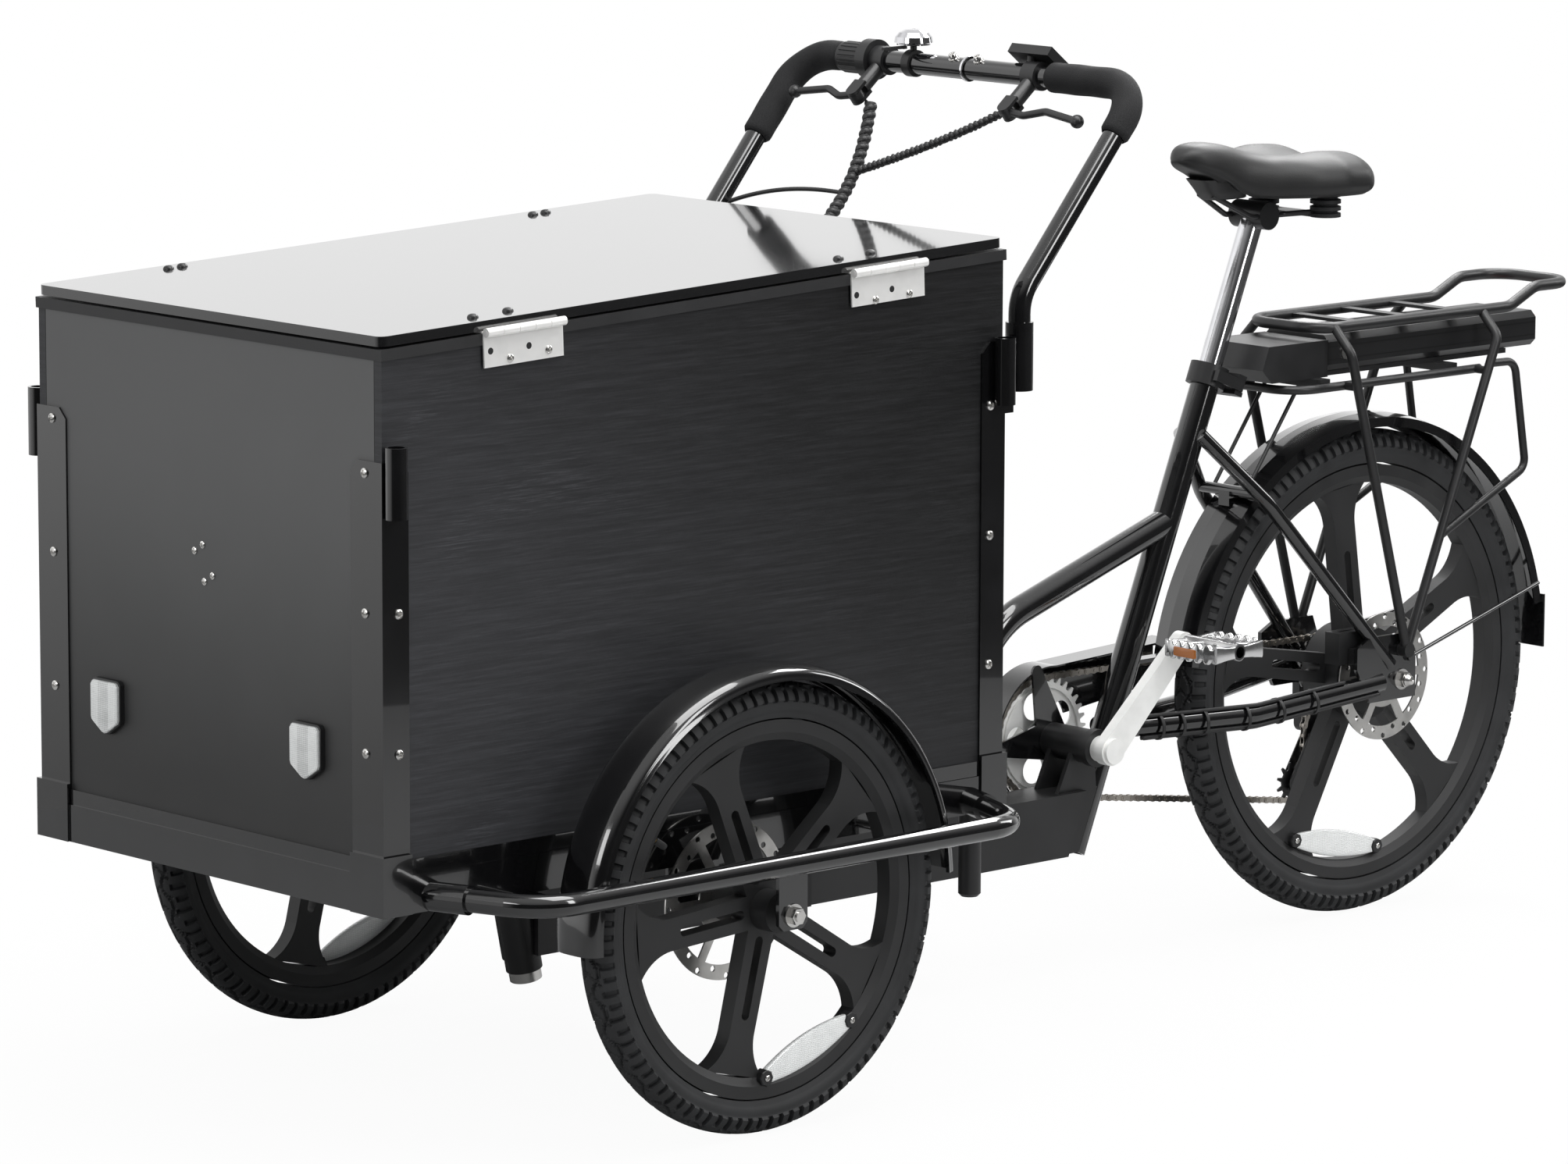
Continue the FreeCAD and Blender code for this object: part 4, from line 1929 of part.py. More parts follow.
collar_ring = rod("collar_ring", S.collar_radius, 0, 0, 0, S.collar_height)
collar_ear = block(
    "collar_ear", (-S.collar_radius - S.collar_ear, 0), (-S.collar_ear, S.collar_ear / 2),
    (0, S.collar_height))
collar_bore = rod("collar_bore", S.seat_tube_radius, 0, 0, 0, S.collar_height)
collar_slit = block(
    "collar_slit", (-S.collar_radius - S.collar_ear, 0), (-S.cone_play, S.cone_play), (0, S.collar_height))
pivot_x = -S.collar_radius - S.collar_ear / 2
pivot_y = S.collar_radius + 2 * S.lever_play
lever_pin = rod("clamp_pin", S.lever_pivot, pivot_x, pivot_y, 0, S.collar_height)
pin_cheeks = []
cheek = (S.collar_height - S.lever_width) / 2 - S.lever_play
for low in (0, S.collar_height - cheek):
    pin_cheeks.append(block(
        "clamp_cheek", (pivot_x - S.lever_thick, pivot_x + S.lever_thick),
        (0, pivot_y + S.lever_pivot + S.lever_play), (low, low + cheek)))
collar = fuse(
    "collar", cut("collar_open", fuse("collar_solid", collar_ring, collar_ear), collar_bore, collar_slit),
    lever_pin, *pin_cheeks)
collar_at = S.seat_tube_length - S.collar_height
node("seat_collar", on_seat(collar, collar_at))

lever_low = (S.collar_height - S.lever_width) / 2
lever_eye = rod(
    "clamp_eye", S.lever_thick - S.lever_play, pivot_x, pivot_y, lever_low, S.lever_width)
lever_arm = block(
    "clamp_arm", (pivot_x, pivot_x + S.lever_length), (pivot_y, pivot_y + S.lever_thick - S.lever_play),
    (lever_low, lever_low + S.lever_width))
lever_hole = rod("clamp_hole", S.lever_pivot + S.bearing_fit, pivot_x, pivot_y, 0, S.collar_height)
clamp_lever = cut("clamp_lever", fuse("clamp_lever_solid", lever_eye, lever_arm), lever_hole)
node("seat_clamp_lever", on_seat(clamp_lever, collar_at))

# Saddle: a padded cover lofted from tail to nose, on rails, bellows and clamp
post_top = S.seat_tube_length + S.post_rise
clamp_z = seat_z(post_top)
clamp_x = seat_x(post_top)
saddle_foot = clamp_z + S.saddle_stand
saddle_span = S.saddle_nose.number - S.saddle_tail.number
saddle_tall = S.saddle_tall.number
saddle_shares = (
    (0.0, 0.52, 0.42, 0.74),
    (0.06, 0.82, 0.12, 0.92),
    (0.22, 1.0, 0.0, 1.0),
    (0.45, 0.72, 0.0, 0.95),
    (0.62, 0.38, 0.0, 0.90),
    (0.84, 0.27, 0.06, 0.88),
    (0.97, 0.20, 0.22, 0.78),
    (1.0, 0.10, 0.40, 0.62),
)
crown_share = 0.24
tuck_share = 0.80
saddle_sections = []
for at_share, wide_share, low_share, top_share in saddle_shares:
    x = number_of(clamp_x) + S.saddle_tail.number + saddle_span * at_share
    w = S.saddle_half.number * wide_share
    low = number_of(saddle_foot) + saddle_tall * low_share
    top = number_of(saddle_foot) + saddle_tall * top_share
    edge = top - (top - low) * crown_share
    tuck = w * tuck_share
    bulge = (low + edge) / 2
    saddle_sections.append(Part.Wire([
        Part.LineSegment(Vector(x, -tuck, low), Vector(x, tuck, low)).toShape(),
        Part.Arc(Vector(x, tuck, low), Vector(x, w, bulge), Vector(x, w, edge)).toShape(),
        Part.Arc(Vector(x, w, edge), Vector(x, 0, top), Vector(x, -w, edge)).toShape(),
        Part.Arc(Vector(x, -w, edge), Vector(x, -w, bulge), Vector(x, -tuck, low)).toShape(),
    ]))
saddle_pad = shaped("saddle_pad", Part.makeLoft(saddle_sections, True, False))
node("saddle_cover", saddle_pad)

rail_z = clamp_z
rail_front_share = 0.62
rail_path = [
    (clamp_x + S.saddle_nose * rail_front_share, S.saddle_rail_y / 2, saddle_foot),
    (clamp_x + S.clamp_half, S.saddle_rail_y, rail_z),
    (clamp_x - S.clamp_half, S.saddle_rail_y, rail_z),
    (clamp_x + S.bellows_x, S.bellows_y, rail_z + S.saddle_rail),
]
rail_room = block(
    "rail_room", (clamp_x + S.saddle_tail, clamp_x + S.saddle_nose), (-S.saddle_half, S.saddle_half),
    (saddle_foot, saddle_foot + S.saddle_tall))
saddle_rail = cut("saddle_rail_cut", tube("saddle_rail", rail_path, S.collar_ear, S.saddle_rail), rail_room)
bellows_foot = rail_z - S.saddle_rail
bellows_tall = saddle_foot - bellows_foot
bellows_outline = [(0, 0), (S.bellows_radius, 0)]
rib_count = int(S.bellows_ribs.number)
for i in range(rib_count):
    groove_shares = ((0.55, S.bellows_radius), (0.72, S.bellows_groove), (0.86, S.bellows_groove))
    bellows_outline += [
        (radius, bellows_tall * (i + rise_share) / rib_count) for rise_share, radius in groove_shares]
    bellows_outline.append((S.bellows_radius, bellows_tall * (i + 1) / rib_count))
bellows_outline.append((0, bellows_tall))
bellows = turned(
    "bellows", bellows_outline, "z", clamp_x + S.bellows_x, S.bellows_y, bellows_foot)
saddle_base = block(
    "saddle_base", (clamp_x + S.bellows_x - S.bellows_groove, clamp_x + S.bellows_x + S.bellows_groove),
    (-S.bellows_y, S.bellows_y), (bellows_foot, bellows_foot + S.saddle_rail))
saddle_clamp = rod(
    "saddle_clamp", S.clamp_radius, clamp_x, -S.clamp_half, rail_z, 2 * S.clamp_half, "y")
frame_parts = [saddle_rail, bellows]
frame_parts += [mirrored("saddle_right", piece) for piece in frame_parts]
saddle_frame = fuse("saddle_under", *frame_parts, saddle_base, saddle_clamp)
node("saddle_frame", cut("saddle_frame_cut", saddle_frame, post_solid, saddle_pad))

# Handlebar: two halves from the sockets, joined by a middle ring
bar_x = fx + S.bar_x
leg_knee = (bar_leg_x, bar_leg_y, S.bar_knee_z)
bar_corner = (bar_x, S.bar_y, S.bar_z)
bar_path = [
    (bar_leg_x, bar_leg_y, S.bar_socket_foot), leg_knee, bar_corner, (bar_x, S.bar_split, S.bar_z)]
bar_half = tube("bar_half", bar_path, S.bar_top_bend, S.bar_radius, S.bar_bore)
bar_ring = cut(
    "bar_ring",
    rod("bar_ring_out", S.bar_ring_radius, bar_x, -S.bar_ring_half, S.bar_z, 2 * S.bar_ring_half, "y"),
    rod("bar_ring_bore", S.bar_radius, bar_x, -S.bar_ring_half, S.bar_z, 2 * S.bar_ring_half, "y"))
node("handlebar", group("bars", bar_half, mirrored("bar_right", bar_half), bar_ring))


def grip(name, side, inner_end, leg_share):
    """A foam grip round the bend of the bar and a share of the way down its leg."""
    corner = (bar_x, side * S.bar_y, S.bar_z)
    knee = (bar_leg_x, side * bar_leg_y, S.bar_knee_z)
    end = tuple(a + (b - a) * leg_share for a, b in zip(corner, knee))
    return tube(
        name, [(bar_x, side * inner_end, S.bar_z), corner, end], S.bar_top_bend, S.grip_radius, S.bar_radius)


node("grips", group(
    "grip_pair", grip("left_grip", 1, S.left_grip_in, S.left_grip_share),
    grip("right_grip", -1, S.right_grip_in, S.right_grip_share)))

# Brake perches and levers, made about the lever pivot and leaned forward from the bar
lever_lean = math.degrees(math.atan2(S.lever_fall.number, S.lever_reach.number))
perch_length = root_of(S.lever_reach * S.lever_reach + S.lever_fall * S.lever_fall)
blade = S.lever_blade / 2
cheek_low = blade + 2 * S.lever_play


def on_perch(thing, y):
    """Set a piece made about the lever pivot in its place below the bar."""
    thing.Placement = FreeCAD.Placement(Vector(), Rotation(Vector(0, 1, 0), lever_lean))
    return place(thing, bar_x + S.lever_reach, y, S.bar_z - S.lever_fall)


def perch(name, y):
    clamp = rod(f"{name}_clamp", S.perch_radius, -perch_length, -S.perch_half, 0, 2 * S.perch_half, "y")
    arm = rod(f"{name}_arm", cheek_low + S.lever_cheek, -perch_length, 0, 0, perch_length - S.lever_neck, "x")
    parts = [clamp, arm, rod(f"{name}_pin", S.lever_pivot, 0, 0, -cheek_low - S.lever_cheek,
                             2 * cheek_low + 2 * S.lever_cheek)]
    for low in (cheek_low, -cheek_low - S.lever_cheek):
        parts.append(rod(f"{name}_cheek", S.lever_eye, 0, 0, low, S.lever_cheek))
        parts.append(block(f"{name}_side", (-S.lever_neck - S.lever_cheek, 0), (-S.lever_eye, S.lever_eye),
                           (low, low + S.lever_cheek)))
    bore = rod(f"{name}_bore", S.bar_radius, -perch_length, -S.perch_half, 0, 2 * S.perch_half, "y")
    return on_perch(cut(name, fuse(f"{name}_solid", *parts), bore), y)


def brake_lever(name, reach, y):
    path = [
        (0, 0, 0), (S.lever_bow, reach / 4, 0), (-S.lever_bow, reach / 2, 0), (S.lever_bow, reach, 0)]
    parts = [
        rod(f"{name}_eye", S.lever_eye, 0, 0, -blade - S.lever_play, S.lever_blade + 2 * S.lever_play),
        tube(f"{name}_blade", path, S.lever_bend, blade),
    ]
    ball = doc.addObject("Part::Sphere", f"{name}_ball")
    bind(ball, "Radius", S.lever_ball)
    parts.append(place(ball, S.lever_bow, reach, 0))
    bore = rod(f"{name}_bore", S.lever_pivot + S.bearing_fit, 0, 0, -S.overrun, 2 * S.overrun)
    return on_perch(cut(name, fuse(f"{name}_solid", *parts), bore), y)


node("brake_lever_left", brake_lever("left_lever", S.lever_span, S.left_perch_y))
node("brake_lever_right", brake_lever("right_lever", -S.right_lever_span, -S.right_perch_y))

# Shifter housing and display share a node with the perches
housing_end = -S.right_perch_y - S.perch_half - S.twist_gap
housing = cut(
    "shifter_housing",
    rod("housing_out", S.shifter_radius, bar_x, housing_end - S.shifter_length, S.bar_z,
        S.shifter_length, "y"),
    rod("housing_bore", S.bar_radius, bar_x, housing_end - S.shifter_length, S.bar_z, S.shifter_length, "y"))
display_face = block(
    "display_face", (-S.display_depth / 2, S.display_depth / 2), (-S.display_width / 2, S.display_width / 2),
    (0, S.display_thick))
display_face.Placement = FreeCAD.Placement(Vector(), Rotation(Vector(0, 1, 0), -S.display_lean.number))
place(display_face, bar_x - S.display_back, S.display_y - S.display_width / 2, S.bar_z + S.display_rise)
display_post = rod(
    "display_post", S.display_post / 2, bar_x, S.display_y, S.bar_z + S.bar_radius, S.display_post_height)
node("bar_fittings", group(
    "fittings", fuse("left_cluster", perch("left_perch", S.left_perch_y), display_face, display_post),
    perch("right_perch", -S.right_perch_y), housing))

twist_end = housing_end - S.shifter_length - S.twist_gap
twist = cut(
    "twist",
    rod("twist_out", S.twist_radius, bar_x, twist_end - S.twist_length, S.bar_z, S.twist_length, "y"),
    rod("twist_bore", S.bar_radius + S.bearing_fit, bar_x, twist_end - S.twist_length, S.bar_z,
        S.twist_length, "y"))
node("twist_grip", twist)

# Bell: clamp, stem, base and dome, with a thumb hammer on a small pin
dome_z = S.bar_z + S.bell_rise
dome_shares = ((1.0, 0.0), (0.95, 0.42), (0.76, 0.74), (0.44, 0.94))
outer_dome = [(S.bell_radius * a, S.bell_height * b) for a, b in dome_shares]
inner_r = S.bell_radius - S.bell_wall
inner_h = S.bell_height - S.bell_wall
inner_dome = [(inner_r * a, inner_h * b) for a, b in dome_shares]
dome_profile = outer_dome + [(0, S.bell_height), (0, inner_h)] + inner_dome[::-1]
base_low = dome_z - 2 * S.bell_wall
base_thick = S.bell_wall
pivot_spot = bar_x + S.bell_pivot
hammer_low = base_low - S.bell_stem
bell_parts = [
    turned("bell_dome", dome_profile, "z", bar_x, S.bell_y, dome_z),
    rod("bell_post", S.bell_stem / 2, bar_x, S.bell_y, base_low, 2 * S.bell_wall + S.bell_height),
    rod("bell_plate", S.bell_base, bar_x, S.bell_y, base_low, base_thick),
    rod("bell_stem", S.bell_stem, bar_x, S.bell_y, S.bar_z, base_low - S.bar_z),
    rod("bell_clamp", S.bar_ring_radius + S.bell_wall, bar_x, S.bell_y - S.bell_clamp, S.bar_z,
        2 * S.bell_clamp, "y"),
    rod("bell_pivot", S.bell_pivot_pin, pivot_spot, S.bell_y, hammer_low - S.lever_play,
        S.bell_stem + S.lever_play),
]
bell_bore = rod("bell_bore", S.bar_radius, bar_x, S.bell_y - S.overrun, S.bar_z, 2 * S.overrun, "y")
node("bell", cut("bell_open", fuse("bell_solid", *bell_parts), bell_bore))
hammer_parts = [
    rod("hammer_eye", S.bell_stem, pivot_spot, S.bell_y, hammer_low, S.bell_stem - S.lever_play),
    block("hammer_arm", (pivot_spot, pivot_spot + S.bell_hammer_reach),
          (S.bell_y - S.bell_hammer, S.bell_y + S.bell_hammer),
          (hammer_low, hammer_low + S.bell_stem - S.lever_play)),
]
hammer_bore = rod(
    "hammer_bore", S.bell_pivot_pin + S.bearing_fit, pivot_spot, S.bell_y, hammer_low, S.bell_stem)
node("bell_hammer", cut("hammer", fuse("hammer_solid", *hammer_parts), hammer_bore))

# Cable loom behind the box, wrapped cable of the left lever and a thin cable to the right leg
loom = tube("loom", spots("loom", 6), S.loom_bend, S.loom_radius)
wrap = tube("wrap", spots("wrap", 3), S.wrap_bend, S.wrap_radius)
thin = tube("thin_cable", spots("cable", 3), S.cable_bend, S.cable_radius)
node("bar_cables", fuse("cables", loom, wrap, thin))


doc.recompute()
for thing in doc.Objects:
    if "Invalid" in thing.State or "Error" in thing.State:
        raise RuntimeError(f"{thing.Label} failed: {thing.State}")
for thing in nodes:
    if thing.Shape.isNull() or not thing.Shape.isValid():
        raise RuntimeError(f"{thing.Label} has no valid shape")
os.makedirs("parts", exist_ok=True)
for thing in nodes:
    thing.Shape.exportStep(f"parts/{thing.Label}.step")
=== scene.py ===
import math

import bmesh
import bpy
import numpy as np
from mathutils import Matrix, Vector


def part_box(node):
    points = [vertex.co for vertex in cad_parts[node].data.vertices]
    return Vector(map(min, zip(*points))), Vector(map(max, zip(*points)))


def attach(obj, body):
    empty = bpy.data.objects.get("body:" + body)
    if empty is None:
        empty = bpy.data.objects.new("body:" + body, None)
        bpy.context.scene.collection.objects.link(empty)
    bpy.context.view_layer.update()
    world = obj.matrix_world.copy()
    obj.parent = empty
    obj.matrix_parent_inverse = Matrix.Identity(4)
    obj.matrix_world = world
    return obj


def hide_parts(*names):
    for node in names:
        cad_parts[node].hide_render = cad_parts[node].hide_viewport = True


bl_info = {
    "name": "Cargo tricycle looks",
    "version": (1, 0, 0),
    "blender": (4, 5, 0),
    "location": "3D View > Sidebar > Tricycle",
    "description": "Dresses the packed cargo tricycle with finishes, fittings and a studio stage",
    "category": "Object",
}

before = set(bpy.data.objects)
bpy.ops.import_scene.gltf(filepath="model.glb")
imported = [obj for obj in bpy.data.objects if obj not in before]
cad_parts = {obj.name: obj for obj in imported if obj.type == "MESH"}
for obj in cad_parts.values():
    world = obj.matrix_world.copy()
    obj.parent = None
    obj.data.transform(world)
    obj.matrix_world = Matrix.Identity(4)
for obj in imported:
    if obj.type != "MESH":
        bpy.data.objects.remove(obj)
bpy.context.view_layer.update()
SIDES = {"left": 1, "right": -1}
MM = 0.001


def box(node):
    """Lower and upper corner of a node's box at rest."""
    return [np.array(corner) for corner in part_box(node)]


def middle(node):
    """Centre of a node's box at rest."""
    low, high = box(node)
    return (low + high) / 2


FRONT_HUB = {side: middle(f"front_tyre_{side}") for side in SIDES}
REAR_HUB = middle("rear_tyre")
FX = FRONT_HUB["left"][0]


# Properties that a user would change
class TrikeFinishes(bpy.types.PropertyGroup):
    """Colours of the painted, stained and moulded surfaces."""

    def colour(name, description, value):
        return bpy.props.FloatVectorProperty(
            name=name, description=description, subtype="COLOR", size=3, min=0, max=1, default=value)

    stain: colour("Stain", "Black stain of the plywood sides", (0.0055, 0.0056, 0.0062))
    board: colour("Front board", "Smooth black face of the front and rear boards", (0.046, 0.046, 0.046))
    paint: colour("Paint", "Gloss black paint of posts, rails and tubes", (0.0035, 0.0035, 0.0038))
    powder: colour("Powder coat", "Satin black coat of beam and rack", (0.010, 0.010, 0.0105))
    casting: colour("Casting", "Matt black of the cast wheels", (0.0125, 0.0125, 0.013))
    tyre: colour("Tyre", "Rubber of the tyres", (0.0125, 0.013, 0.014))
    vinyl: colour("Vinyl", "Saddle cover", (0.0068, 0.0068, 0.0070))
    foam: colour("Foam", "Handlebar grips", (0.0115, 0.0115, 0.012))
    plastic: colour("Plastic", "Moulded fittings", (0.011, 0.011, 0.0115))
    amber: colour("Amber", "Pedal reflectors", (0.55, 0.16, 0.01))
    tail_red: colour("Tail light", "Red lens of the tail light", (0.55, 0.012, 0.012))


class TrikeSizes(bpy.types.PropertyGroup):
    """Sizes of the small fittings."""

    def length(name, description, value):
        return bpy.props.FloatProperty(
            name=name, description=description, unit="LENGTH", min=0, precision=5, default=value)

    screw_radius: length("Screw head", "Radius of the pan-head screws", 0.0054)
    screw_height: length("Screw height", "Height of the pan-head screws", 0.0030)
    tread_depth: length("Tread depth", "Depth of the grooves between the tread blocks", 0.0046)
    grip_radius: length("Grip radius", "Outer radius of the foam grips", 0.0178)
    loom_radius: length("Loom radius", "Outer radius of the wrapped cable loom", 0.0080)
    tread_blocks: bpy.props.IntProperty(
        name="Tread blocks", description="Shoulder blocks round a front tyre", min=12, default=96)


class TrikeStage(bpy.types.PropertyGroup):
    """Camera and light of the studio."""

    camera_place: bpy.props.FloatVectorProperty(
        name="Camera", description="Where the camera stands", subtype="TRANSLATION", size=3,
        default=(5.78185, 6.0701, 1.8818))

    def number(name, description, value, **more):
        return bpy.props.FloatProperty(name=name, description=description, default=value, **more)

    yaw: number("Yaw", "Heading of the view", -2.3122, subtype="ANGLE")
    pitch: number("Pitch", "Tilt of the view", -0.1638, subtype="ANGLE")
    roll: number("Roll", "Roll of the camera", 0.0035, subtype="ANGLE")
    lens: number("Lens", "Focal length on a 36 mm wide sensor, in millimetres", 165.48)
    ambient: number("Ambient", "Strength of the even studio light", 0.50, min=0)


# Shader maths
PLAIN = (1, 1, 1)


class Field:
    """A value that varies over a surface; sums and products of fields add Math nodes."""

    def __init__(self, finish, socket):
        self.finish = finish
        self.socket = socket

    def math(self, operation, first, second=0.0):
        return self.finish.node("ShaderNodeMath", {"operation": operation}, {0: first, 1: second})

    def __add__(self, other):
        return self.math("ADD", self, other)

    def __radd__(self, other):
        return self.math("ADD", other, self)

    def __sub__(self, other):
        return self.math("SUBTRACT", self, other)

    def __rsub__(self, other):
        return self.math("SUBTRACT", other, self)

    def __mul__(self, other):
        return self.math("MULTIPLY", self, other)

    def __rmul__(self, other):
        return self.math("MULTIPLY", other, self)

    def __abs__(self):
        return self.math("ABSOLUTE", self)

    def __gt__(self, other):
        return self.math("GREATER_THAN", self, other)

    def __lt__(self, other):
        return self.math("LESS_THAN", self, other)

    def sine(self):
        return self.math("SINE", self)

    def step(self, low, high):
        """0 below low, 1 above high, smooth between."""
        return self.finish.node(
            "ShaderNodeMapRange", {"interpolation_type": "SMOOTHSTEP"},
            {"Value": self, "From Min": low, "From Max": high})


class Finish:
    """A material or world being made; node() adds any node from its type, settings and socket values."""

    def __init__(self, name, kind="materials", coordinates="Object"):
        self.material = getattr(bpy.data, kind).new(name)
        self.material.use_nodes = True
        self.tree = self.material.node_tree
        self.tree.nodes.clear()
        self.place = self.node("ShaderNodeTexCoord", out=coordinates)

    def node(self, kind, settings=None, sockets=None, out=0):
        made = self.tree.nodes.new(kind)
        for key, value in (settings or {}).items():
            setattr(made, key, value)
        for key, value in (sockets or {}).items():
            if isinstance(value, Field):
                self.tree.links.new(value.socket, made.inputs[key])
            else:
                made.inputs[key].default_value = value
        return Field(self, made.outputs[out]) if out is not None else None

    def spread(self, stretch):
        """The coordinates, stretched along the axes."""
        return self.node("ShaderNodeMapping", None, {"Vector": self.place, "Scale": stretch})

    def axes(self):
        """The three coordinates as fields."""
        split = self.tree.nodes.new("ShaderNodeSeparateXYZ")
        self.tree.links.new(self.place.socket, split.inputs[0])
        return [Field(self, socket) for socket in split.outputs]

    def noise(self, scale, detail=3.0, stretch=PLAIN, rough=0.5):
        return self.node("ShaderNodeTexNoise", None, {
            "Vector": self.spread(stretch), "Scale": scale, "Detail": detail, "Roughness": rough})

    def cells(self, scale, feature="F1"):
        return self.node("ShaderNodeTexVoronoi", {"feature": feature}, {
            "Vector": self.spread(PLAIN), "Scale": scale})

    def mix(self, share, first, second):
        """Colour that goes from first to second with share."""
        return self.node("ShaderNodeMix", {"data_type": "RGBA"}, {0: share, 6: first, 7: second}, out=2)

    def shade(self, sockets, height=None, strength=0.2, reach=0.001):
        """Ends the material: a Principled shader with these sockets and a bump from height."""
        sockets = dict(sockets)
        if height is not None:
            sockets["Normal"] = self.node("ShaderNodeBump", None, {
                "Height": height, "Strength": strength, "Distance": reach})
        return self.end(self.node("ShaderNodeBsdfPrincipled", None, sockets))

    def end(self, surface, kind="ShaderNodeOutputMaterial"):
        """Links the last shader to the output."""
        self.node(kind, None, {"Surface": surface}, out=None)
        return self.material


def rgba(colour, gain=1.0):
    """A colour with its alpha, made lighter or darker by gain."""
    return tuple(min(1.0, c * gain) for c in colour) + (1.0,)


FINISHES = {}
SIDE_FACE = 0.2853
SEAM_FROM = 1.06
REFLECTOR_Y = 0.175
TAIL_LENS = 0.0155
DOME_HEIGHT = 0.0195
BELLOWS_FROM = 0.031


def panel_finish(tints):
    """Stained plywood: streaks along the board, arched figure on the sides, smooth board at the ends; painted
    sheen lightens the sides towards the front and bottom and the boards towards the top.
    """
    f = Finish("stained_board")
    x, y, z = f.axes()
    side = abs(y).step(SIDE_FACE - 0.0003, SIDE_FACE + 0.0003)
    streak = f.noise(1.0, 6.0, (7, 7, 190), 0.62)
    pores = f.noise(1.0, 4.0, (26, 26, 620), 0.7)
    drift = f.noise(1.0, 2.0, (1.5, 1.5, 2.6), 0.45)
    arch = (z * 34 + drift * 17 + (x - 0.62) * (x - 0.62) * 26).sine()
    figure = arch.step(0.55, 1.0) * f.noise(1.0, 2.0, (2.2, 2.2, 3.0)).step(0.42, 0.68)
    flecks = pores.step(0.45, 0.75)
    tone = (streak.step(0.35, 0.75) * 0.45 + flecks * 0.35 + figure * flecks * 0.8) * side
    mottle = f.noise(9.0, 4.0)
    # Painted sheen on the sides: a darker copy of the stain towards the top and rear and a lighter copy
    # towards the front and bottom, blended along x - 0.9 z.
    shaded_stain = f.mix(tone, rgba(tints.stain, 0.50), rgba(tints.stain, 2.9))
    wear_and_sheen = f.mix(tone, rgba(tints.stain, 4.0), rgba(tints.stain, 9.0))
    stained = f.mix((x - z * 0.9).step(-0.45, 0.55), shaded_stain, wear_and_sheen)
    # Painted sheen on the front and rear boards: darker at the bottom and lighter towards the top, with a
    # faint random mottle.
    mottle_and_top_sheen = mottle * 0.15 + z.step(0.34, 0.80) * 0.85
    plain = f.mix(mottle_and_top_sheen, rgba(tints.board, 0.20), rgba(tints.board, 2.3))
    seam = (abs(abs(y) - SIDE_FACE) < 0.0006) * (x > SEAM_FROM)
    base = f.mix(seam, f.mix(side, plain, stained), rgba(tints.stain, 0.2))
    rough = 0.40 + mottle * 0.08 - side * 0.08 + pores * side * 0.16
    height = (streak * 0.5 + pores * 0.9 + figure * 0.25) * side + f.noise(900.0, 2.0) * 0.15
    return f.shade({"Base Color": base, "Roughness": rough, "IOR": 1.42}, height, 0.22, 0.0004)


def lid_finish(tints):
    """Glossy film-faced board: a near mirror with faint long waves and fine scuffs."""
    f = Finish("lid_board")
    waves = f.noise(1.0, 2.0, (3, 9, 3))
    scuffs = f.noise(1.0, 5.0, (12, 240, 12), 0.65).step(0.62, 0.85)
    base = f.mix(waves.step(0.3, 0.7), rgba(tints.paint, 1.0), rgba(tints.paint, 1.9))
    rough = 0.075 + scuffs * 0.06 + waves * 0.03
    return f.shade({
        "Base Color": base, "Roughness": rough, "IOR": 1.8, "Coat Weight": 1.0, "Coat Roughness": 0.05,
    }, waves * 0.6 + scuffs * 0.1, 0.10, 0.0006)


def coat_finish(name, tint, gains, cloud, rough, bump, step=None, grain=None, cells=None, fixed=None):
    """Even coat: colour and roughness drift with a cloud of noise; a fine grain or cells give the bump."""
    f = Finish(name)
    fine = f.noise(*grain) if grain else f.cells(cells)
    drift = f.noise(*cloud)
    share = drift.step(*step) if step else drift
    base = f.mix(share, *(rgba(tint, gain) for gain in gains))
    sockets = {"Base Color": base, "Roughness": rough[0] + drift * rough[1], **(fixed or {})}
    return f.shade(sockets, fine, *bump)


def foam_finish(tints):
    """Closed-cell foam: matt, with a skin of small cells."""
    f = Finish("grip_foam")
    pores = f.cells(900.0)
    cloud = f.noise(60.0, 4.0)
    base = f.mix(pores.step(0.1, 0.6), rgba(tints.foam, 0.7), rgba(tints.foam, 1.35))
    return f.shade({
        "Base Color": base, "Roughness": 0.8 + cloud * 0.15, "IOR": 1.35,
    }, pores + cloud * 0.4, 0.35, 0.0006)


def vinyl_finish(tints):
    """Saddle vinyl: leather-like cells, wrinkles and a sheen of wear on top."""
    f = Finish("saddle_vinyl")
    cells = f.cells(620.0, "SMOOTH_F1")
    wrinkle = f.noise(150.0, 4.0)
    wear_and_sheen = f.noise(16.0, 4.0)
    base = f.mix(wear_and_sheen.step(0.3, 0.75), rgba(tints.vinyl, 0.85), rgba(tints.vinyl, 1.4))
    return f.shade({
        "Base Color": base, "Roughness": 0.40 + wear_and_sheen * 0.14,
    }, cells * 0.7 + wrinkle * 0.5, 0.22, 0.0005)


def metal_finish(name, colour, rough, brush, bump=0.05, stain=0.75, metal=1.0):
    """Bare or plated metal: brushed streaks in one direction and cloudy tarnish."""
    f = Finish(name)
    streak = f.noise(420.0, 4.0, brush, 0.6)
    cloud = f.noise(35.0, 4.0)
    base = f.mix(cloud.step(0.35, 0.8), rgba(colour), rgba(colour, stain))
    return f.shade({
        "Base Color": base, "Metallic": metal, "Roughness": rough + streak * 0.10 + cloud * 0.05,
    }, streak, bump, 0.0002)


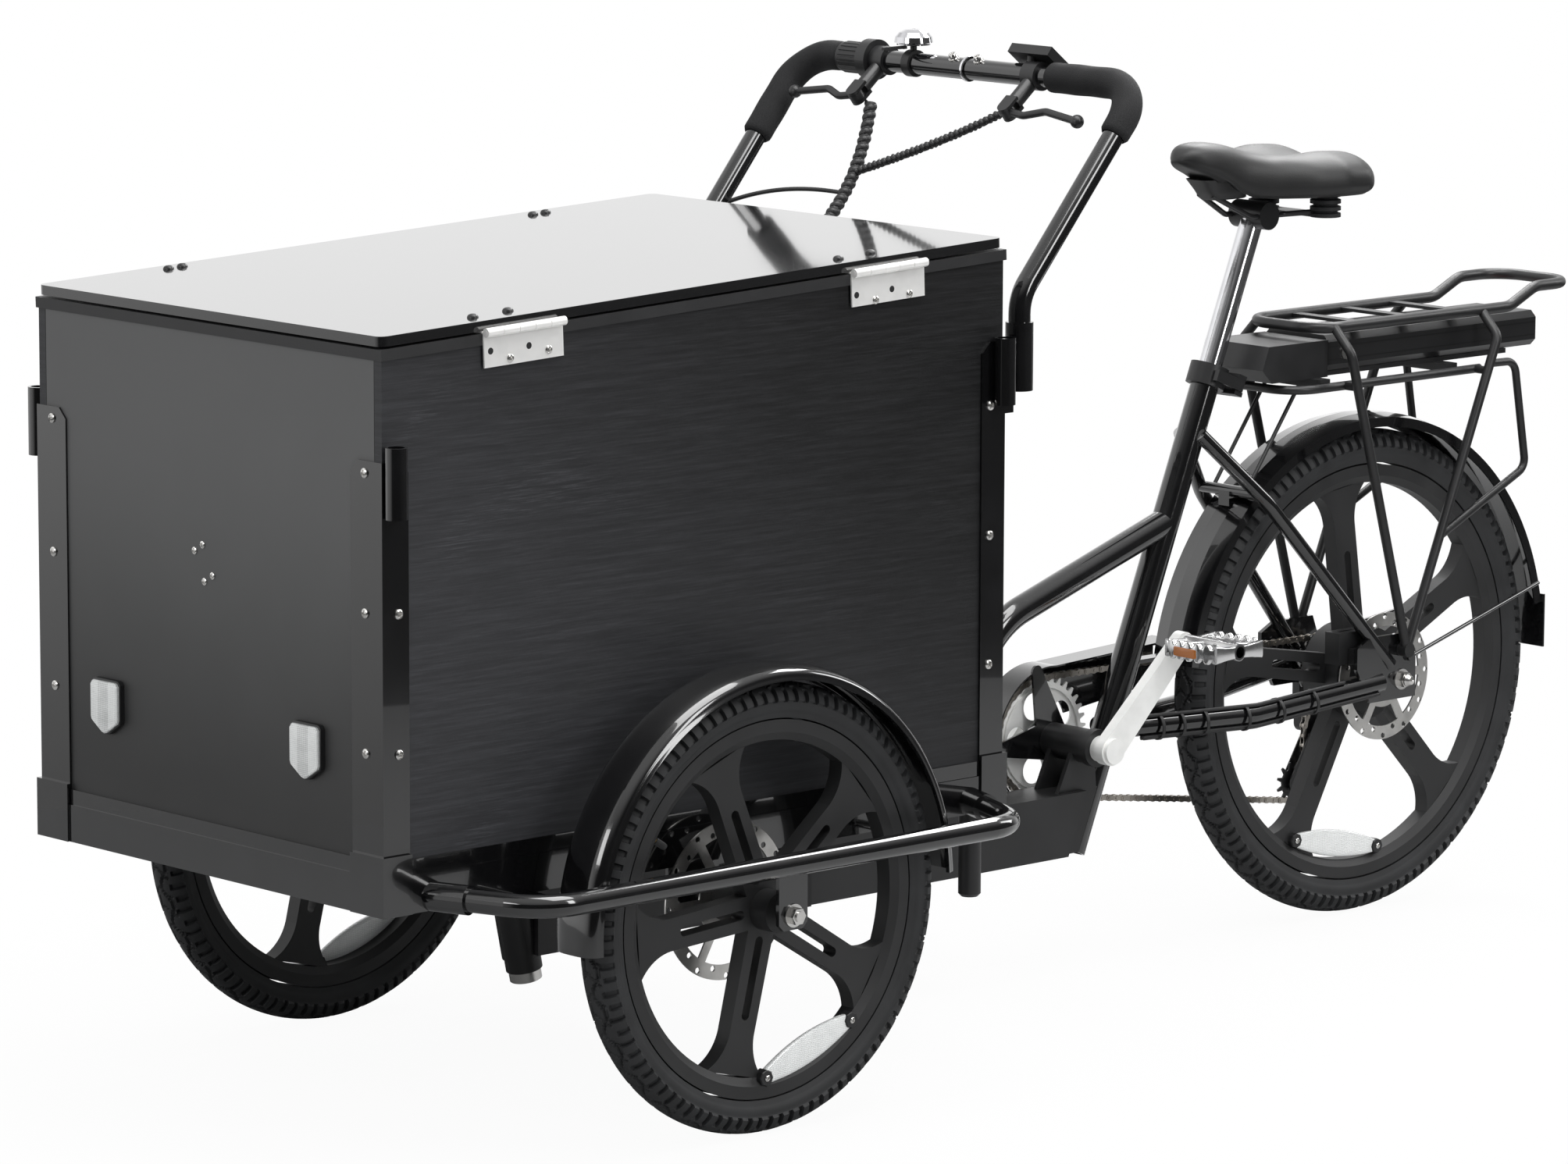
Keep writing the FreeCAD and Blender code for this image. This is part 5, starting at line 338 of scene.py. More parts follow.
def lens_finish(name, colour, scale):
    """Reflector lens: clear skin over crossed rows of prisms, strongest in a band of the front reflectors."""
    f = Finish(name)
    x, y, z = f.axes()
    prism = ((x + y + z) * scale).sine() * ((x + y - z) * scale).sine()
    band = 1 - abs(abs(y) - REFLECTOR_Y).step(0.0085, 0.0095)
    facet = prism.step(-0.2, 0.7) * 0.8 + f.noise(60.0, 2.0).step(0.4, 0.7) * 0.2
    facet = facet * (0.45 + band * 0.55) + band * 0.15
    base = f.mix(facet, rgba(colour, 1.0), rgba(colour, 0.45))
    return f.shade({
        "Base Color": base, "Roughness": 0.16 + facet * 0.12, "Coat Weight": 1.0, "Coat Roughness": 0.04,
    }, prism, 0.35, 0.0008)


def battery_finish(tints):
    """Battery case: satin black moulding that ends in the red lens of the tail light."""
    f = Finish("battery_case")
    x, _, z = f.axes()
    low, high = box("battery")
    lens = x < low[0] + TAIL_LENS
    groove = abs(abs(z - (low[2] + high[2]) / 2) - 0.008) < 0.0006
    grain = f.noise(1300.0, 2.0)
    prism = f.cells(420.0)
    body = f.mix(f.noise(20.0), rgba(tints.plastic, 0.75), rgba(tints.plastic, 1.15))
    red = f.mix(prism.step(0.1, 0.7), rgba(tints.tail_red), rgba(tints.tail_red, 0.55))
    # Painted shade: the two grooves are coloured a darker plastic than the case around them.
    base = f.mix(lens, f.mix(groove, body, rgba(tints.plastic, 0.3)), red)
    return f.shade({
        "Base Color": base, "Roughness": 0.30 - lens * 0.14 + grain * 0.06,
    }, grain * 0.5 - groove * 2.0 + prism * lens, 0.12, 0.0004)


def saddle_frame_finish(tints):
    """Saddle underframe: steel rails and clamp in the middle, rubber bellows outside and behind."""
    f = Finish("saddle_underframe")
    x, y, _ = f.axes()
    bellow = (abs(y) > BELLOWS_FROM) * (x < middle("saddle_frame")[0])
    cloud = f.noise(40.0, 4.0)
    rubber = f.mix(cloud, rgba(tints.tyre, 0.7), rgba(tints.tyre, 1.3))
    steel = f.mix(cloud, rgba(tints.powder, 0.9), rgba(tints.powder, 1.6))
    base = f.mix(bellow, steel, rubber)
    return f.shade({
        "Base Color": base, "Roughness": 0.28 + bellow * 0.28 + cloud * 0.08,
    }, f.noise(900.0, 2.0), 0.1, 0.0003)


def bell_finish():
    """Bell: bright chrome dome over a black clamp."""
    f = Finish("bell_chrome")
    dome = f.axes()[2] > box("bell")[1][2] - DOME_HEIGHT
    cloud = f.noise(70.0, 3.0)
    chrome = f.mix(cloud, (0.78, 0.78, 0.8, 1.0), (0.62, 0.62, 0.64, 1.0))
    base = f.mix(dome, (0.012, 0.012, 0.012, 1.0), chrome)
    return f.shade({
        "Base Color": base, "Metallic": dome, "Roughness": 0.42 - dome * 0.34 + cloud * 0.03,
    }, cloud, 0.03, 0.0002)


def make_finishes(tints):
    """All finishes by name."""
    FINISHES.update({
        "panel": panel_finish(tints),
        "lid": lid_finish(tints),
        "paint": coat_finish("gloss_paint", tints.paint, (1.0, 1.8), (14.0, 5.0, PLAIN, 0.6), (0.10, 0.06),
                             (0.012, 0.0003), (0.45, 0.8), (260.0, 2.0),
                             fixed={"Coat Weight": 1.0, "Coat Roughness": 0.02}),
        "powder": coat_finish("powder_coat", tints.powder, (0.9, 1.35), (18.0, 4.0), (0.33, 0.14),
                              (0.12, 0.0002), (0.3, 0.75), (1500.0, 2.0)),
        "casting": coat_finish("cast_black", tints.casting, (0.9, 1.3), (11.0, 4.0), (0.46, 0.14),
                               (0.18, 0.0003), (0.3, 0.75), (1100.0, 3.0, PLAIN, 0.6)),
        "tyre": coat_finish("tyre_rubber", tints.tyre, (0.85, 1.55), (22.0, 5.0, PLAIN, 0.6), (0.52, 0.2),
                            (0.15, 0.0003), (0.35, 0.8), (1400.0, 2.0)),
        "plastic": coat_finish("moulded_plastic", tints.plastic, (0.85, 1.25), (24.0, 3.0), (0.42, 0.1),
                               (0.10, 0.0002), cells=1300.0),
        "trim": coat_finish("rim_plastic", tints.plastic, (1.36, 2.0), (24.0, 3.0), (0.36, 0.1),
                            (0.10, 0.0002), cells=1300.0),
        "fittings": coat_finish("bar_fittings", tints.plastic, (0.8, 1.3), (26.0, 3.0), (0.30, 0.14),
                                (0.09, 0.0002), cells=1200.0),
        "foam": foam_finish(tints),
        "vinyl": vinyl_finish(tints),
        "steel": metal_finish("brushed_steel", (0.62, 0.61, 0.59), 0.22, (1, 6, 1), 0.07),
        "hinge": metal_finish("stainless_hinge", (0.95, 0.94, 0.92), 0.26, (6, 1, 1), 0.05, 0.9, 0.45),
        "zinc": metal_finish("zinc_plate", (0.72, 0.71, 0.69), 0.16, PLAIN, 0.04),
        "chrome": metal_finish("chrome", (0.80, 0.80, 0.82), 0.05, (1, 1, 9), 0.02, 0.9),
        "alloy": metal_finish("crank_alloy", (0.90, 0.90, 0.88), 0.34, (1, 5, 1), 0.05, 0.90, 0.35),
        "pedal": metal_finish("pedal_alloy", (0.74, 0.74, 0.74), 0.16, (1, 4, 1), 0.04, 0.88),
        "chain": metal_finish("chain_steel", (0.46, 0.43, 0.39), 0.26, PLAIN, 0.06, 0.6),
        "cogs": metal_finish("cog_steel", (0.30, 0.30, 0.30), 0.30, PLAIN, 0.06, 0.7),
        "brass": metal_finish("valve_brass", (0.72, 0.50, 0.20), 0.24, PLAIN, 0.04, 0.8),
        "lens": lens_finish("clear_lens", (0.82, 0.83, 0.82), 1500.0),
        "amber": lens_finish("amber_lens", tints.amber, 2400.0),
        "battery": battery_finish(tints),
        "underframe": saddle_frame_finish(tints),
        "bell": bell_finish(),
    })


NODE_FINISHES = {
    "panel": "box_panels box_floor",
    "lid": "lid",
    "trim": "rim_trim",
    "paint": "corner_posts carriage_frame wheel_guards front_mudguards rear_mudguard seat_tube top_tube "
             "rear_triangle handlebar chain_guard",
    "powder": "main_beam rack steering_stops battery_dock derailleur rear_caliper front_calipers "
              "seat_collar seat_clamp_lever brake_lever_left brake_lever_right",
    "casting": "front_wheel_left front_wheel_right rear_wheel",
    "hinge": "box_hinge_leaves lid_hinge_leaves",
    "steel": "front_rotor_left front_rotor_right rear_rotor",
    "zinc": "front_axles rear_axle battery_lock kingpin",
    "chrome": "seat_post",
    "alloy": "crank_arms chainring pedal_left pedal_right",
    "chain": "chain",
    "cogs": "freewheel",
    "plastic": "guide_pulley tension_pulley twist_grip bell_hammer",
    "lens": "front_reflectors",
    "battery": "battery",
    "underframe": "saddle_frame",
    "bell": "bell",
    "fittings": "bar_fittings",
}


# Surfaces worked out as arrays
def turns(count):
    """Angles of one full turn."""
    return np.linspace(0, 2 * np.pi, count, endpoint=False)


def power(value, exponent):
    """A power of the size that keeps the sign, as in squared circles."""
    return np.sign(value) * abs(value) ** exponent


def xyz(x, y, z):
    """Points from three arrays of coordinates, spread to one shape."""
    return np.stack(np.broadcast_arrays(x, y, z), -1)


def distance(line):
    """Way along a line from its first point to each point."""
    return np.r_[0, np.cumsum(np.linalg.norm(np.diff(line, axis=0), axis=1))]


def grid(points, wrap_u=False, wrap_v=False):
    """Vertices and quads of a surface given as points[u, v]."""
    points = np.asarray(points, float)
    rows, cols = points.shape[:2]
    ids = np.arange(rows * cols).reshape(rows, cols)
    if wrap_u:
        ids = np.vstack([ids, ids[:1]])
    if wrap_v:
        ids = np.hstack([ids, ids[:, :1]])
    quads = np.stack([ids[:-1, :-1], ids[1:, :-1], ids[1:, 1:], ids[:-1, 1:]], -1).reshape(-1, 4)
    return points.reshape(-1, 3), quads


def capped(rows, ends=None):
    """A tube of closed rows, shut by the middles of its first and last row or by the ends given."""
    ends = rows[[0, -1]].mean(1) if ends is None else ends
    first, last = (np.repeat(end[None, None], rows.shape[1], 1) for end in ends)
    return grid(np.concatenate([first, rows, last]), wrap_v=True)


def joined(parts):
    """Several surfaces as one list of vertices and quads."""
    vertices, quads, count = [], [], 0
    for points, faces in parts:
        vertices.append(points)
        quads.append(faces + count)
        count += len(points)
    return np.vstack(vertices), np.vstack(quads)


def placed(name, data):
    """A new object in the scene."""
    made = bpy.data.objects.new(name, data)
    bpy.context.scene.collection.objects.link(made)
    return made


def mesh_of(name, part):
    """A new mesh from vertices and quads."""
    points, quads = part
    mesh = bpy.data.meshes.new(name)
    mesh.from_pydata(points.tolist(), [], quads.tolist())
    return mesh


def piece(name, part, finish, body, smooth=True, sharp=None):
    """A mesh object from vertices and quads, doubles merged and normals outwards, riding on a body."""
    mesh = mesh_of(name, part)
    work = bmesh.new()
    work.from_mesh(mesh)
    bmesh.ops.remove_doubles(work, verts=work.verts, dist=2e-6)
    bmesh.ops.dissolve_degenerate(work, edges=work.edges, dist=1e-7)
    bmesh.ops.recalc_face_normals(work, faces=work.faces)
    work.to_mesh(mesh)
    work.free()
    mesh.polygons.foreach_set("use_smooth", np.full(len(mesh.polygons), smooth))
    if sharp:
        mesh.set_sharp_from_angle(angle=math.radians(sharp))
    mesh.materials.append(FINISHES[finish])
    made = placed(name, mesh)
    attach(made, body)
    return made


def facing(axis):
    """Rows of a turn that takes +Z to the given direction."""
    w = np.asarray(axis, float)
    w = w / np.linalg.norm(w)
    hint = np.array([1.0, 0, 0]) if abs(w[0]) < 0.9 else np.array([0, 1.0, 0])
    u = np.cross(hint, w)
    u = u / np.linalg.norm(u)
    return np.array([u, np.cross(w, u), w])


def pose(axes, place):
    """Matrix of an object with these axes at this place."""
    rows = np.eye(4)
    rows[:3, :3] = np.transpose(axes)
    rows[:3, 3] = place
    return Matrix(rows.tolist())


def set_at(part, spot, axis):
    """A surface made about the origin along +Z, turned to axis and moved to spot."""
    points, quads = part
    return points @ facing(axis) + np.asarray(spot, float), quads


def lathe(profile, count=32):
    """Surface of revolution: the profile's radius and height swung about +Z."""
    profile = np.asarray(profile, float)
    angle = turns(count)
    r, h = profile[:, 0][:, None], profile[:, 1][:, None]
    return grid(xyz(r * np.cos(angle), r * np.sin(angle), h), wrap_v=True)


def carried(path):
    """Tangents and two side directions along a path, carried without twist."""
    tangent = np.gradient(path, axis=0)
    tangent /= np.linalg.norm(tangent, axis=1)[:, None]
    side = np.cross(tangent[0], (0.3, 0.2, 0.93))
    sides = []
    for t in tangent:
        side = side - t * (side @ t)
        side = side / np.linalg.norm(side)
        sides.append(side)
    sides = np.array(sides)
    return tangent, sides, np.cross(tangent, sides)


def rings(line, count):
    """Directions of a circle of points square to the line at each of its points."""
    _, a, b = carried(line)
    angle = turns(count)
    return np.cos(angle)[None, :, None] * a[:, None] + np.sin(angle)[None, :, None] * b[:, None]


def rounded(corners, bend, count=9):
    """Line through corners with each inner corner rounded by an arc of the bend radius."""
    line = [corners[0]]
    for before, corner, after in zip(corners, corners[1:], corners[2:]):
        a = (before - corner) / np.linalg.norm(before - corner)
        b = (after - corner) / np.linalg.norm(after - corner)
        half = math.acos(np.clip(a @ b, -1, 1)) / 2
        inward = (a + b) / np.linalg.norm(a + b)
        centre = corner + inward * bend / math.sin(half)
        start = corner + a * bend / math.tan(half) - centre
        end = corner + b * bend / math.tan(half) - centre
        sweep = math.pi - 2 * half
        t = np.linspace(0, 1, count)[:, None]
        line.extend(centre + (start * np.sin((1 - t) * sweep) + end * np.sin(t * sweep)) / math.sin(sweep))
    line.append(corners[-1])
    return np.array(line)


def even(line, step):
    """The same line with points about a step apart."""
    length = distance(line)
    spots = np.linspace(0, length[-1], max(2, int(length[-1] / step) + 1))
    return np.stack([np.interp(spots, length, line[:, i]) for i in range(3)], -1)


def pan_screw(radius, height, turn=0.0):
    """Pan head: a flat dome over a polar grid, pressed in along two crossed slots."""
    r = np.array([0, 0.10, 0.2, 0.30, 0.42, 0.52, 0.60, 0.68, 0.8, 0.9, 0.97, 1.0, 1.0])
    angle = turns(40)
    share, swing = np.meshgrid(r, angle, indexing="ij")
    dome = height * (1 - 0.55 * share ** 3.2)
    dome[-1] = 0
    x, y = share * np.cos(swing), share * np.sin(swing)
    slot = (np.minimum(abs(x), abs(y)) < 0.13) & (share < 0.61)
    dome = np.where(slot, dome - height * 0.5, dome)
    c, s = math.cos(turn), math.sin(turn)
    return grid(xyz((x * c - y * s) * radius, (x * s + y * c) * radius, dome), wrap_v=True)


class TRIKE_OT_stage(bpy.types.Operator):
    """Pale floor, even studio light, soft boxes and the camera"""

    bl_idname = "trike.stage"
    bl_label = "Stage"

    # Name, place, target, width, height and power
    LAMPS = (
        ("top_box", (0.2, 0.6, 3.2), (0, 0, 0.4), 2.6, 1.6, 78),
        ("left_box", (-0.6, 4.4, 2.7), (0, 0, 0.5), 2.8, 0.9, 70),
        ("front_box", (4.9, 0.4, 2.4), (0.4, 0, 0.5), 1.2, 1.8, 46),
        ("rear_box", (-4.0, 1.4, 2.4), (-0.5, 0, 0.6), 1.0, 2.0, 40),
        ("strip_box", (-1.7, -0.3, 2.5), (0.6, 0.4, 0.4), 2.6, 0.6, 60),
    )

    def execute(self, context):
        scene, settings = context.scene, context.scene.trike_stage
        scene.view_settings.view_transform = "Standard"
        self.camera(scene, settings)
        self.world(scene, settings.ambient)
        self.floor()
        for lamp in self.LAMPS:
            self.lamp(*lamp)
        return {"FINISHED"}

    @staticmethod
    def camera(scene, settings):
        """A camera turned by yaw and pitch, then rolled about the way it looks."""
        data = bpy.data.cameras.new("camera")
        data.sensor_width, data.lens, data.clip_end = 36, settings.lens, 100
        yaw, pitch, roll = settings.yaw, settings.pitch, settings.roll
        level = math.cos(pitch)
        ahead = np.array([level * math.cos(yaw), level * math.sin(yaw), math.sin(pitch)])
        right = np.cross(ahead, (0, 0, 1))
        right /= np.linalg.norm(right)
        up = np.cross(right, ahead)
        across = right * math.cos(roll) + up * math.sin(roll)
        above = up * math.cos(roll) - right * math.sin(roll)
        scene.camera = placed("camera", data)
        scene.camera.matrix_world = pose([across, above, -ahead], settings.camera_place)

    @staticmethod
    def world(scene, ambient):
        """White to the camera; glossy rays see a dark room, bright above, behind and low at the front."""
        f = Finish("studio", "worlds", "Generated")
        scene.world = f.material
        x, y, z = f.axes()
        toward, across = x * 0.671 + y * 0.741, x * 0.671 - y * 0.741
        behind = (toward * -1).step(0.45, 0.97) * z.step(-0.25, 0.02)
        above = z.step(0.30, 0.85) * 0.80
        left = (across * -1).step(0.60, 0.98) * z.step(-0.40, -0.05) * 0.04
        front = across.step(0.50, 0.98) * z.step(-0.27, -0.08) * 1.10
        glow = 0.035 + behind * 1.04 + (above + left + front) * (1 - behind)
        path = [f.node("ShaderNodeLightPath", out=name) for name in (
            "Is Camera Ray", "Is Glossy Ray", "Is Transmission Ray")]
        white = f.node("ShaderNodeBackground", None, {"Color": (1, 1, 1, 1)})
        seen = f.node("ShaderNodeBackground", None, {"Color": (1, 1, 1, 1), "Strength": glow})
        soft = f.node("ShaderNodeBackground", None, {"Color": (0.96, 0.98, 1.0, 1), "Strength": ambient})
        shiny = path[1].math("MAXIMUM", path[1], path[2])
        room = f.node("ShaderNodeMixShader", None, {0: shiny, 1: soft, 2: seen})
        f.end(f.node("ShaderNodeMixShader", None, {0: path[0], 1: room, 2: white}), "ShaderNodeOutputWorld")

    @staticmethod
    def floor():
        """A round pale sheet, almost white to the camera, with a trace of shadow near the wheels."""
        f = Finish("floor_paper")
        x, y, _ = f.axes()
        base = f.mix(f.noise(2.0, 3.0), (0.58, 0.58, 0.58, 1), (0.62, 0.62, 0.62, 1))
        far = 0.95 + (x * x * 0.55 + y * y).step(0.10, 1.5) * 0.05
        camera = f.node("ShaderNodeLightPath", out="Is Camera Ray")
        glossy = f.node("ShaderNodeLightPath", out="Is Glossy Ray")
        sheet = f.node("ShaderNodeBsdfDiffuse", None, {"Color": base})
        dark, white = (f.node("ShaderNodeEmission", None, {"Color": (c, c, c, 1)}) for c in (0, 1))
        sheet = f.node("ShaderNodeMixShader", None, {0: glossy * 0.35, 1: sheet, 2: dark})
        material = f.end(f.node("ShaderNodeMixShader", None, {0: far * camera, 1: sheet, 2: white}))
        turn = turns(96)[None]
        reach = np.array([0.0, 0.4, 1.0, 1.8, 2.6])[:, None]
        disc = xyz(reach * np.cos(turn), reach * np.sin(turn), -0.0006)
        mesh = mesh_of("floor", grid(disc, wrap_v=True))
        mesh.materials.append(material)
        placed("floor", mesh)

    @staticmethod
    def lamp(name, spot, target, wide, tall, power):
        """A soft box that faces the target."""
        data = bpy.data.lights.new(name, "AREA")
        data.shape = "RECTANGLE"
        data.size, data.size_y, data.energy = wide, tall, power
        placed(name, data).matrix_world = pose(facing(np.subtract(spot, target)), spot)


# One operator for each group of pieces
class TRIKE_OT_finishes(bpy.types.Operator):
    """Give each solid of the frame its finish"""

    bl_idname = "trike.finishes"
    bl_label = "Finishes"

    def execute(self, context):
        make_finishes(context.scene.trike_finishes)
        for finish, names in NODE_FINISHES.items():
            for name in names.split():
                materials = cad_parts[name].data.materials
                materials.clear()
                materials.append(FINISHES[finish])
        return {"FINISHED"}


class TRIKE_OT_tyres(bpy.types.Operator):
    """Tyres with a ribbed sidewall and a block tread"""

    bl_idname = "trike.tyres"
    bl_label = "Tyres"

    FRONT_BEAD, REAR_BEAD = 0.0405, 0.0435
    REAR_SHARE = 1.22
    SWING = math.radians(122)
    SHOULDER, WALL = 0.27, 0.635
    STEPS = 12

    def execute(self, context):
        sizes = context.scene.trike_sizes
        depth, blocks = sizes.tread_depth, sizes.tread_blocks
        for side in SIDES:
            self.tyre(f"front_tyre_{side}", f"front_wheel_{side[0]}", depth, blocks, self.FRONT_BEAD)
        self.tyre("rear_tyre", "rear_wheel_body", depth, int(blocks * self.REAR_SHARE), self.REAR_BEAD)
        return {"FINISHED"}

    def tyre(self, node, body, depth, blocks, bead):
        """Section in polar form about the tyre's middle; notches, a wavy groove and sipes are cut into it."""
        low, high = box(node)
        centre = (low + high) / 2
        outer = (high[2] - low[2]) / 2
        half = (high[1] - low[1]) / 2
        share = np.r_[np.linspace(-1, -0.67, 8), np.linspace(-0.65, 0.65, 35), np.linspace(0.67, 1, 8)]
        u, v = np.meshgrid(turns(blocks * self.STEPS), share, indexing="ij")
        swing, edge, side, right = v * self.SWING, abs(v), np.sign(v), math.pi / 2
        tall = bead * 0.62
        wide = half * np.sin(np.clip(abs(swing), 0, right)) * side
        wide = np.where(abs(swing) > right, side * half * (1 - 0.42 * (abs(swing) - right)), wide)
        radius = outer - tall + tall * np.cos(swing) * np.where(abs(swing) < right, 1.0, 1.16)
        pitch = u * blocks / (2 * np.pi)
        step = pitch + np.where(v > 0, 0.0, 0.5)
        notch = (step % 1.0 < 0.40) & (edge > 0.29 + 0.09 * (np.floor(step) % 2))
        notch &= (edge > self.SHOULDER) & (edge < self.WALL)
        wave = 0.16 + 0.09 * np.sin(2 * np.pi * pitch / 3 + np.where(v > 0, 0, 2.1))
        groove = abs(edge - wave) < 0.030
        sipe = (abs(((pitch / 1.5 + edge * 2.2) % 1.0) - 0.5) < 0.055) & (edge < 0.30)
        cut = np.where(notch, 1.0, np.where(groove, 0.65, np.where(sipe, 0.5, 0.0)))
        rib = 0.0007 * (np.cos((edge - 0.65) * 78) > 0.75) * (edge < 0.94)
        lift = np.where(edge > self.WALL, -depth * 0.75 + rib, -depth * cut)
        radius = radius + lift * np.cos(swing)
        wide = wide + lift * np.sin(swing)
        points = xyz(centre[0] + radius * np.cos(u), centre[1] + wide, centre[2] + radius * np.sin(u))
        made = piece(f"{node}_tread", grid(points, wrap_u=True, wrap_v=True), "tyre", body, sharp=38)
        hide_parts(node)


class TRIKE_OT_cables(bpy.types.Operator):
    """Wrapped loom and cables from the levers, on smooth lines along the routes of the solids"""

    bl_idname = "trike.cables"
    bl_label = "Cables"

    LOOM = [(-634, -127.6, 1052), (-614, -116, 1000), (-560, -110, 925), (-452.7, -108, 846),
            (-452.7, -108, 254), (-70, -70, 254)]
    LEFT = [(-632, 94, 1056), (-612, 20, 1018), (-595, -113, 974)]
    THIN = [(-578, -112, 950), (-560, -200, 958), (-537, -270, 930)]

    CORE = 0.82
    LEFT_RADIUS, LEFT_WRAP, THIN_RADIUS = 0.0040, 0.0052, 0.0026
    # Points of a cable's line that its wrap covers, and the lead of one turn
    LOOM_WRAPPED, LOOM_LEAD = 60, 0.010
    LEFT_WRAPPED, LEFT_LEAD = 34, 0.0075

    def execute(self, context):
        radius = context.scene.trike_sizes.loom_radius
        loom, line = self.cable("bar_loom", self.LOOM, radius * self.CORE)
        left, left_line = self.cable("left_lever_cable", self.LEFT, self.LEFT_RADIUS)
        thin, _ = self.cable("right_leg_cable", self.THIN, self.THIN_RADIUS)
        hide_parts("bar_cables")
        wrap = self.spiral("loom_wrap", line[:self.LOOM_WRAPPED], radius, self.LOOM_LEAD)
        covered = left_line[:self.LEFT_WRAPPED]
        left_wrap = self.spiral("left_cable_wrap", covered, self.LEFT_WRAP, self.LEFT_LEAD)
        self.points(self.THIN)[0]
        distance(self.sampled(thin))[-1]
        return {"FINISHED"}

    @staticmethod
    def points(route):
        """Route points in metres, measured from the front axle."""
        return [(FX + x * MM, y * MM, z * MM) for x, y, z in route]

    def cable(self, name, route, radius):
        """A round cable on a smooth spline whose control points are the route's points."""
        data = bpy.data.curves.new(name, "CURVE")
        data.dimensions = "3D"
        spline = data.splines.new("NURBS")
        spots = self.points(route)
        spline.points.add(len(spots) - 1)
        for point, spot in zip(spline.points, spots):
            point.co = (*spot, 1.0)
        spline.order_u = 3
        spline.use_endpoint_u = True
        spline.resolution_u = 16
        made = placed(name, data)
        line = self.sampled(made)
        data.bevel_depth = radius
        data.bevel_resolution = 4
        data.use_fill_caps = True
        data.materials.append(FINISHES["plastic"])
        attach(made, "carriage")
        return made, line

    @staticmethod
    def sampled(made):
        """Points along a curve's own line, read with its bevel put aside."""
        depth = made.data.bevel_depth
        made.data.bevel_depth = 0
        graph = bpy.context.evaluated_depsgraph_get()
        mesh = bpy.data.meshes.new_from_object(made.evaluated_get(graph))
        line = np.zeros(len(mesh.vertices) * 3)
        mesh.vertices.foreach_get("co", line)
        bpy.data.meshes.remove(mesh)
        made.data.bevel_depth = depth
        return line.reshape(-1, 3)

    @staticmethod
    def spiral(name, line, radius, lead):
        """A flat band wound round a line: a rounded strip carried along a helix."""
        line = even(line, 0.0012)
        tangent, a, b = carried(line)
        turn = 2 * np.pi * distance(line) / lead
        ring = np.cos(turn)[:, None] * a + np.sin(turn)[:, None] * b
        across = np.linspace(-1, 1, 6)
        thick = np.cos(across * math.pi / 2) * 0.0012
        line, ring = line[:, None], ring[:, None]
        along = tangent[:, None] * (across * lead * 0.40)[None, :, None]
        strip = line + ring * (radius * 0.86 + thick[None, :, None]) + along
        inner = line + ring * radius * 0.72 + along[:, ::-1]
        return piece(name, grid(np.concatenate([strip, inner], 1), wrap_v=True), "plastic", "carriage")


class TRIKE_OT_screws(bpy.types.Operator):
    """Screws of the corner posts and of the front panel"""

    bl_idname = "trike.screws"
    bl_label = "Screws"

    FRONT_Z = (763, 614, 464, 320)
    REAR_Z = (756, 608, 460, 315)
    PANEL = ((-22, 645), (-8, 653), (-5, 613), (9, 621))
    PANEL_HEAD = (0.0042, 0.0022)
    SHEET, INSET = 0.0025, 0.028

    def execute(self, context):
        sizes = context.scene.trike_sizes
        low, high = box("box_panels")
        side = high[1] + self.SHEET
        rows = []
        for sign in SIDES.values():
            flat, edge = sign * (side - self.INSET), sign * side
            for z in self.FRONT_Z:
                rows.append(((high[0] + self.SHEET, flat, z * MM), (1, 0, 0)))
                rows.append(((high[0] - 0.0192, edge, z * MM), (0, sign, 0)))
            for z in self.REAR_Z:
                rows.append(((low[0] + 0.0208, edge, z * MM), (0, sign, 0)))
                rows.append(((low[0] - self.SHEET, flat, z * MM), (-1, 0, 0)))
        panel = [((high[0], y * MM, z * MM), (1, 0, 0)) for y, z in self.PANEL]
        for name, spots, head, turn in (
                ("post_screws", rows, (sizes.screw_radius, sizes.screw_height), 0.7),
                ("panel_screws", panel, self.PANEL_HEAD, 0.9)):
            parts = [set_at(pan_screw(*head, turn * n), spot, axis) for n, (spot, axis) in enumerate(spots)]
            piece(name, joined(parts), "zinc", "carriage", sharp=35)
        return {"FINISHED"}


class TRIKE_OT_grips(bpy.types.Operator):
    """Foam grips round the bends of the handlebar"""

    bl_idname = "trike.grips"
    bl_label = "Grips"

    BAR = (-0.06775, 0.285, 1.099)
    KNEE = (0.12225, 0.282, 0.873)
    BEND, BORE, ROUND = 0.052, 0.0130, 40
    # Where each grip starts on the bar and how far it goes down the leg
    REACH = {"left": (0.138, 0.24), "right": (0.2135, 0.42)}

    def execute(self, context):
        radius = context.scene.trike_sizes.grip_radius
        for side, (inner, share) in self.REACH.items():
            self.grip(f"grip_{side}", SIDES[side], inner, share, radius)
        return {"FINISHED"}

    def grip(self, name, sign, inner, share, radius):
        """A thick sleeve carried round the bar's bend, rounded at both ends and open round the tube."""
        flip = np.array([1, sign, 1])
        corner, knee = np.array(self.BAR) * flip, np.array(self.KNEE) * flip
        start = np.array([self.BAR[0], sign * inner, self.BAR[2]])
        line = even(rounded([start, corner, corner + (knee - corner) * share], self.BEND, 24), 0.004)
        run = distance(line)
        ease = np.minimum(run, run[-1] - run) / 0.006
        size = radius - 0.0030 * np.clip(1 - ease, 0, 1) ** 2
        size = size[:, None] + 0.00025 * np.sin(run[:, None] * 130 + 2 * turns(self.ROUND)[None])
        ring = rings(line, self.ROUND)
        outer = line[:, None] + size[..., None] * ring
        inside = line[:, None] + self.BORE * ring
        skin = grid(np.concatenate([outer, inside[::-1]]), wrap_u=True, wrap_v=True)
        made = piece(name, skin, "foam", "carriage")
        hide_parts("grips")


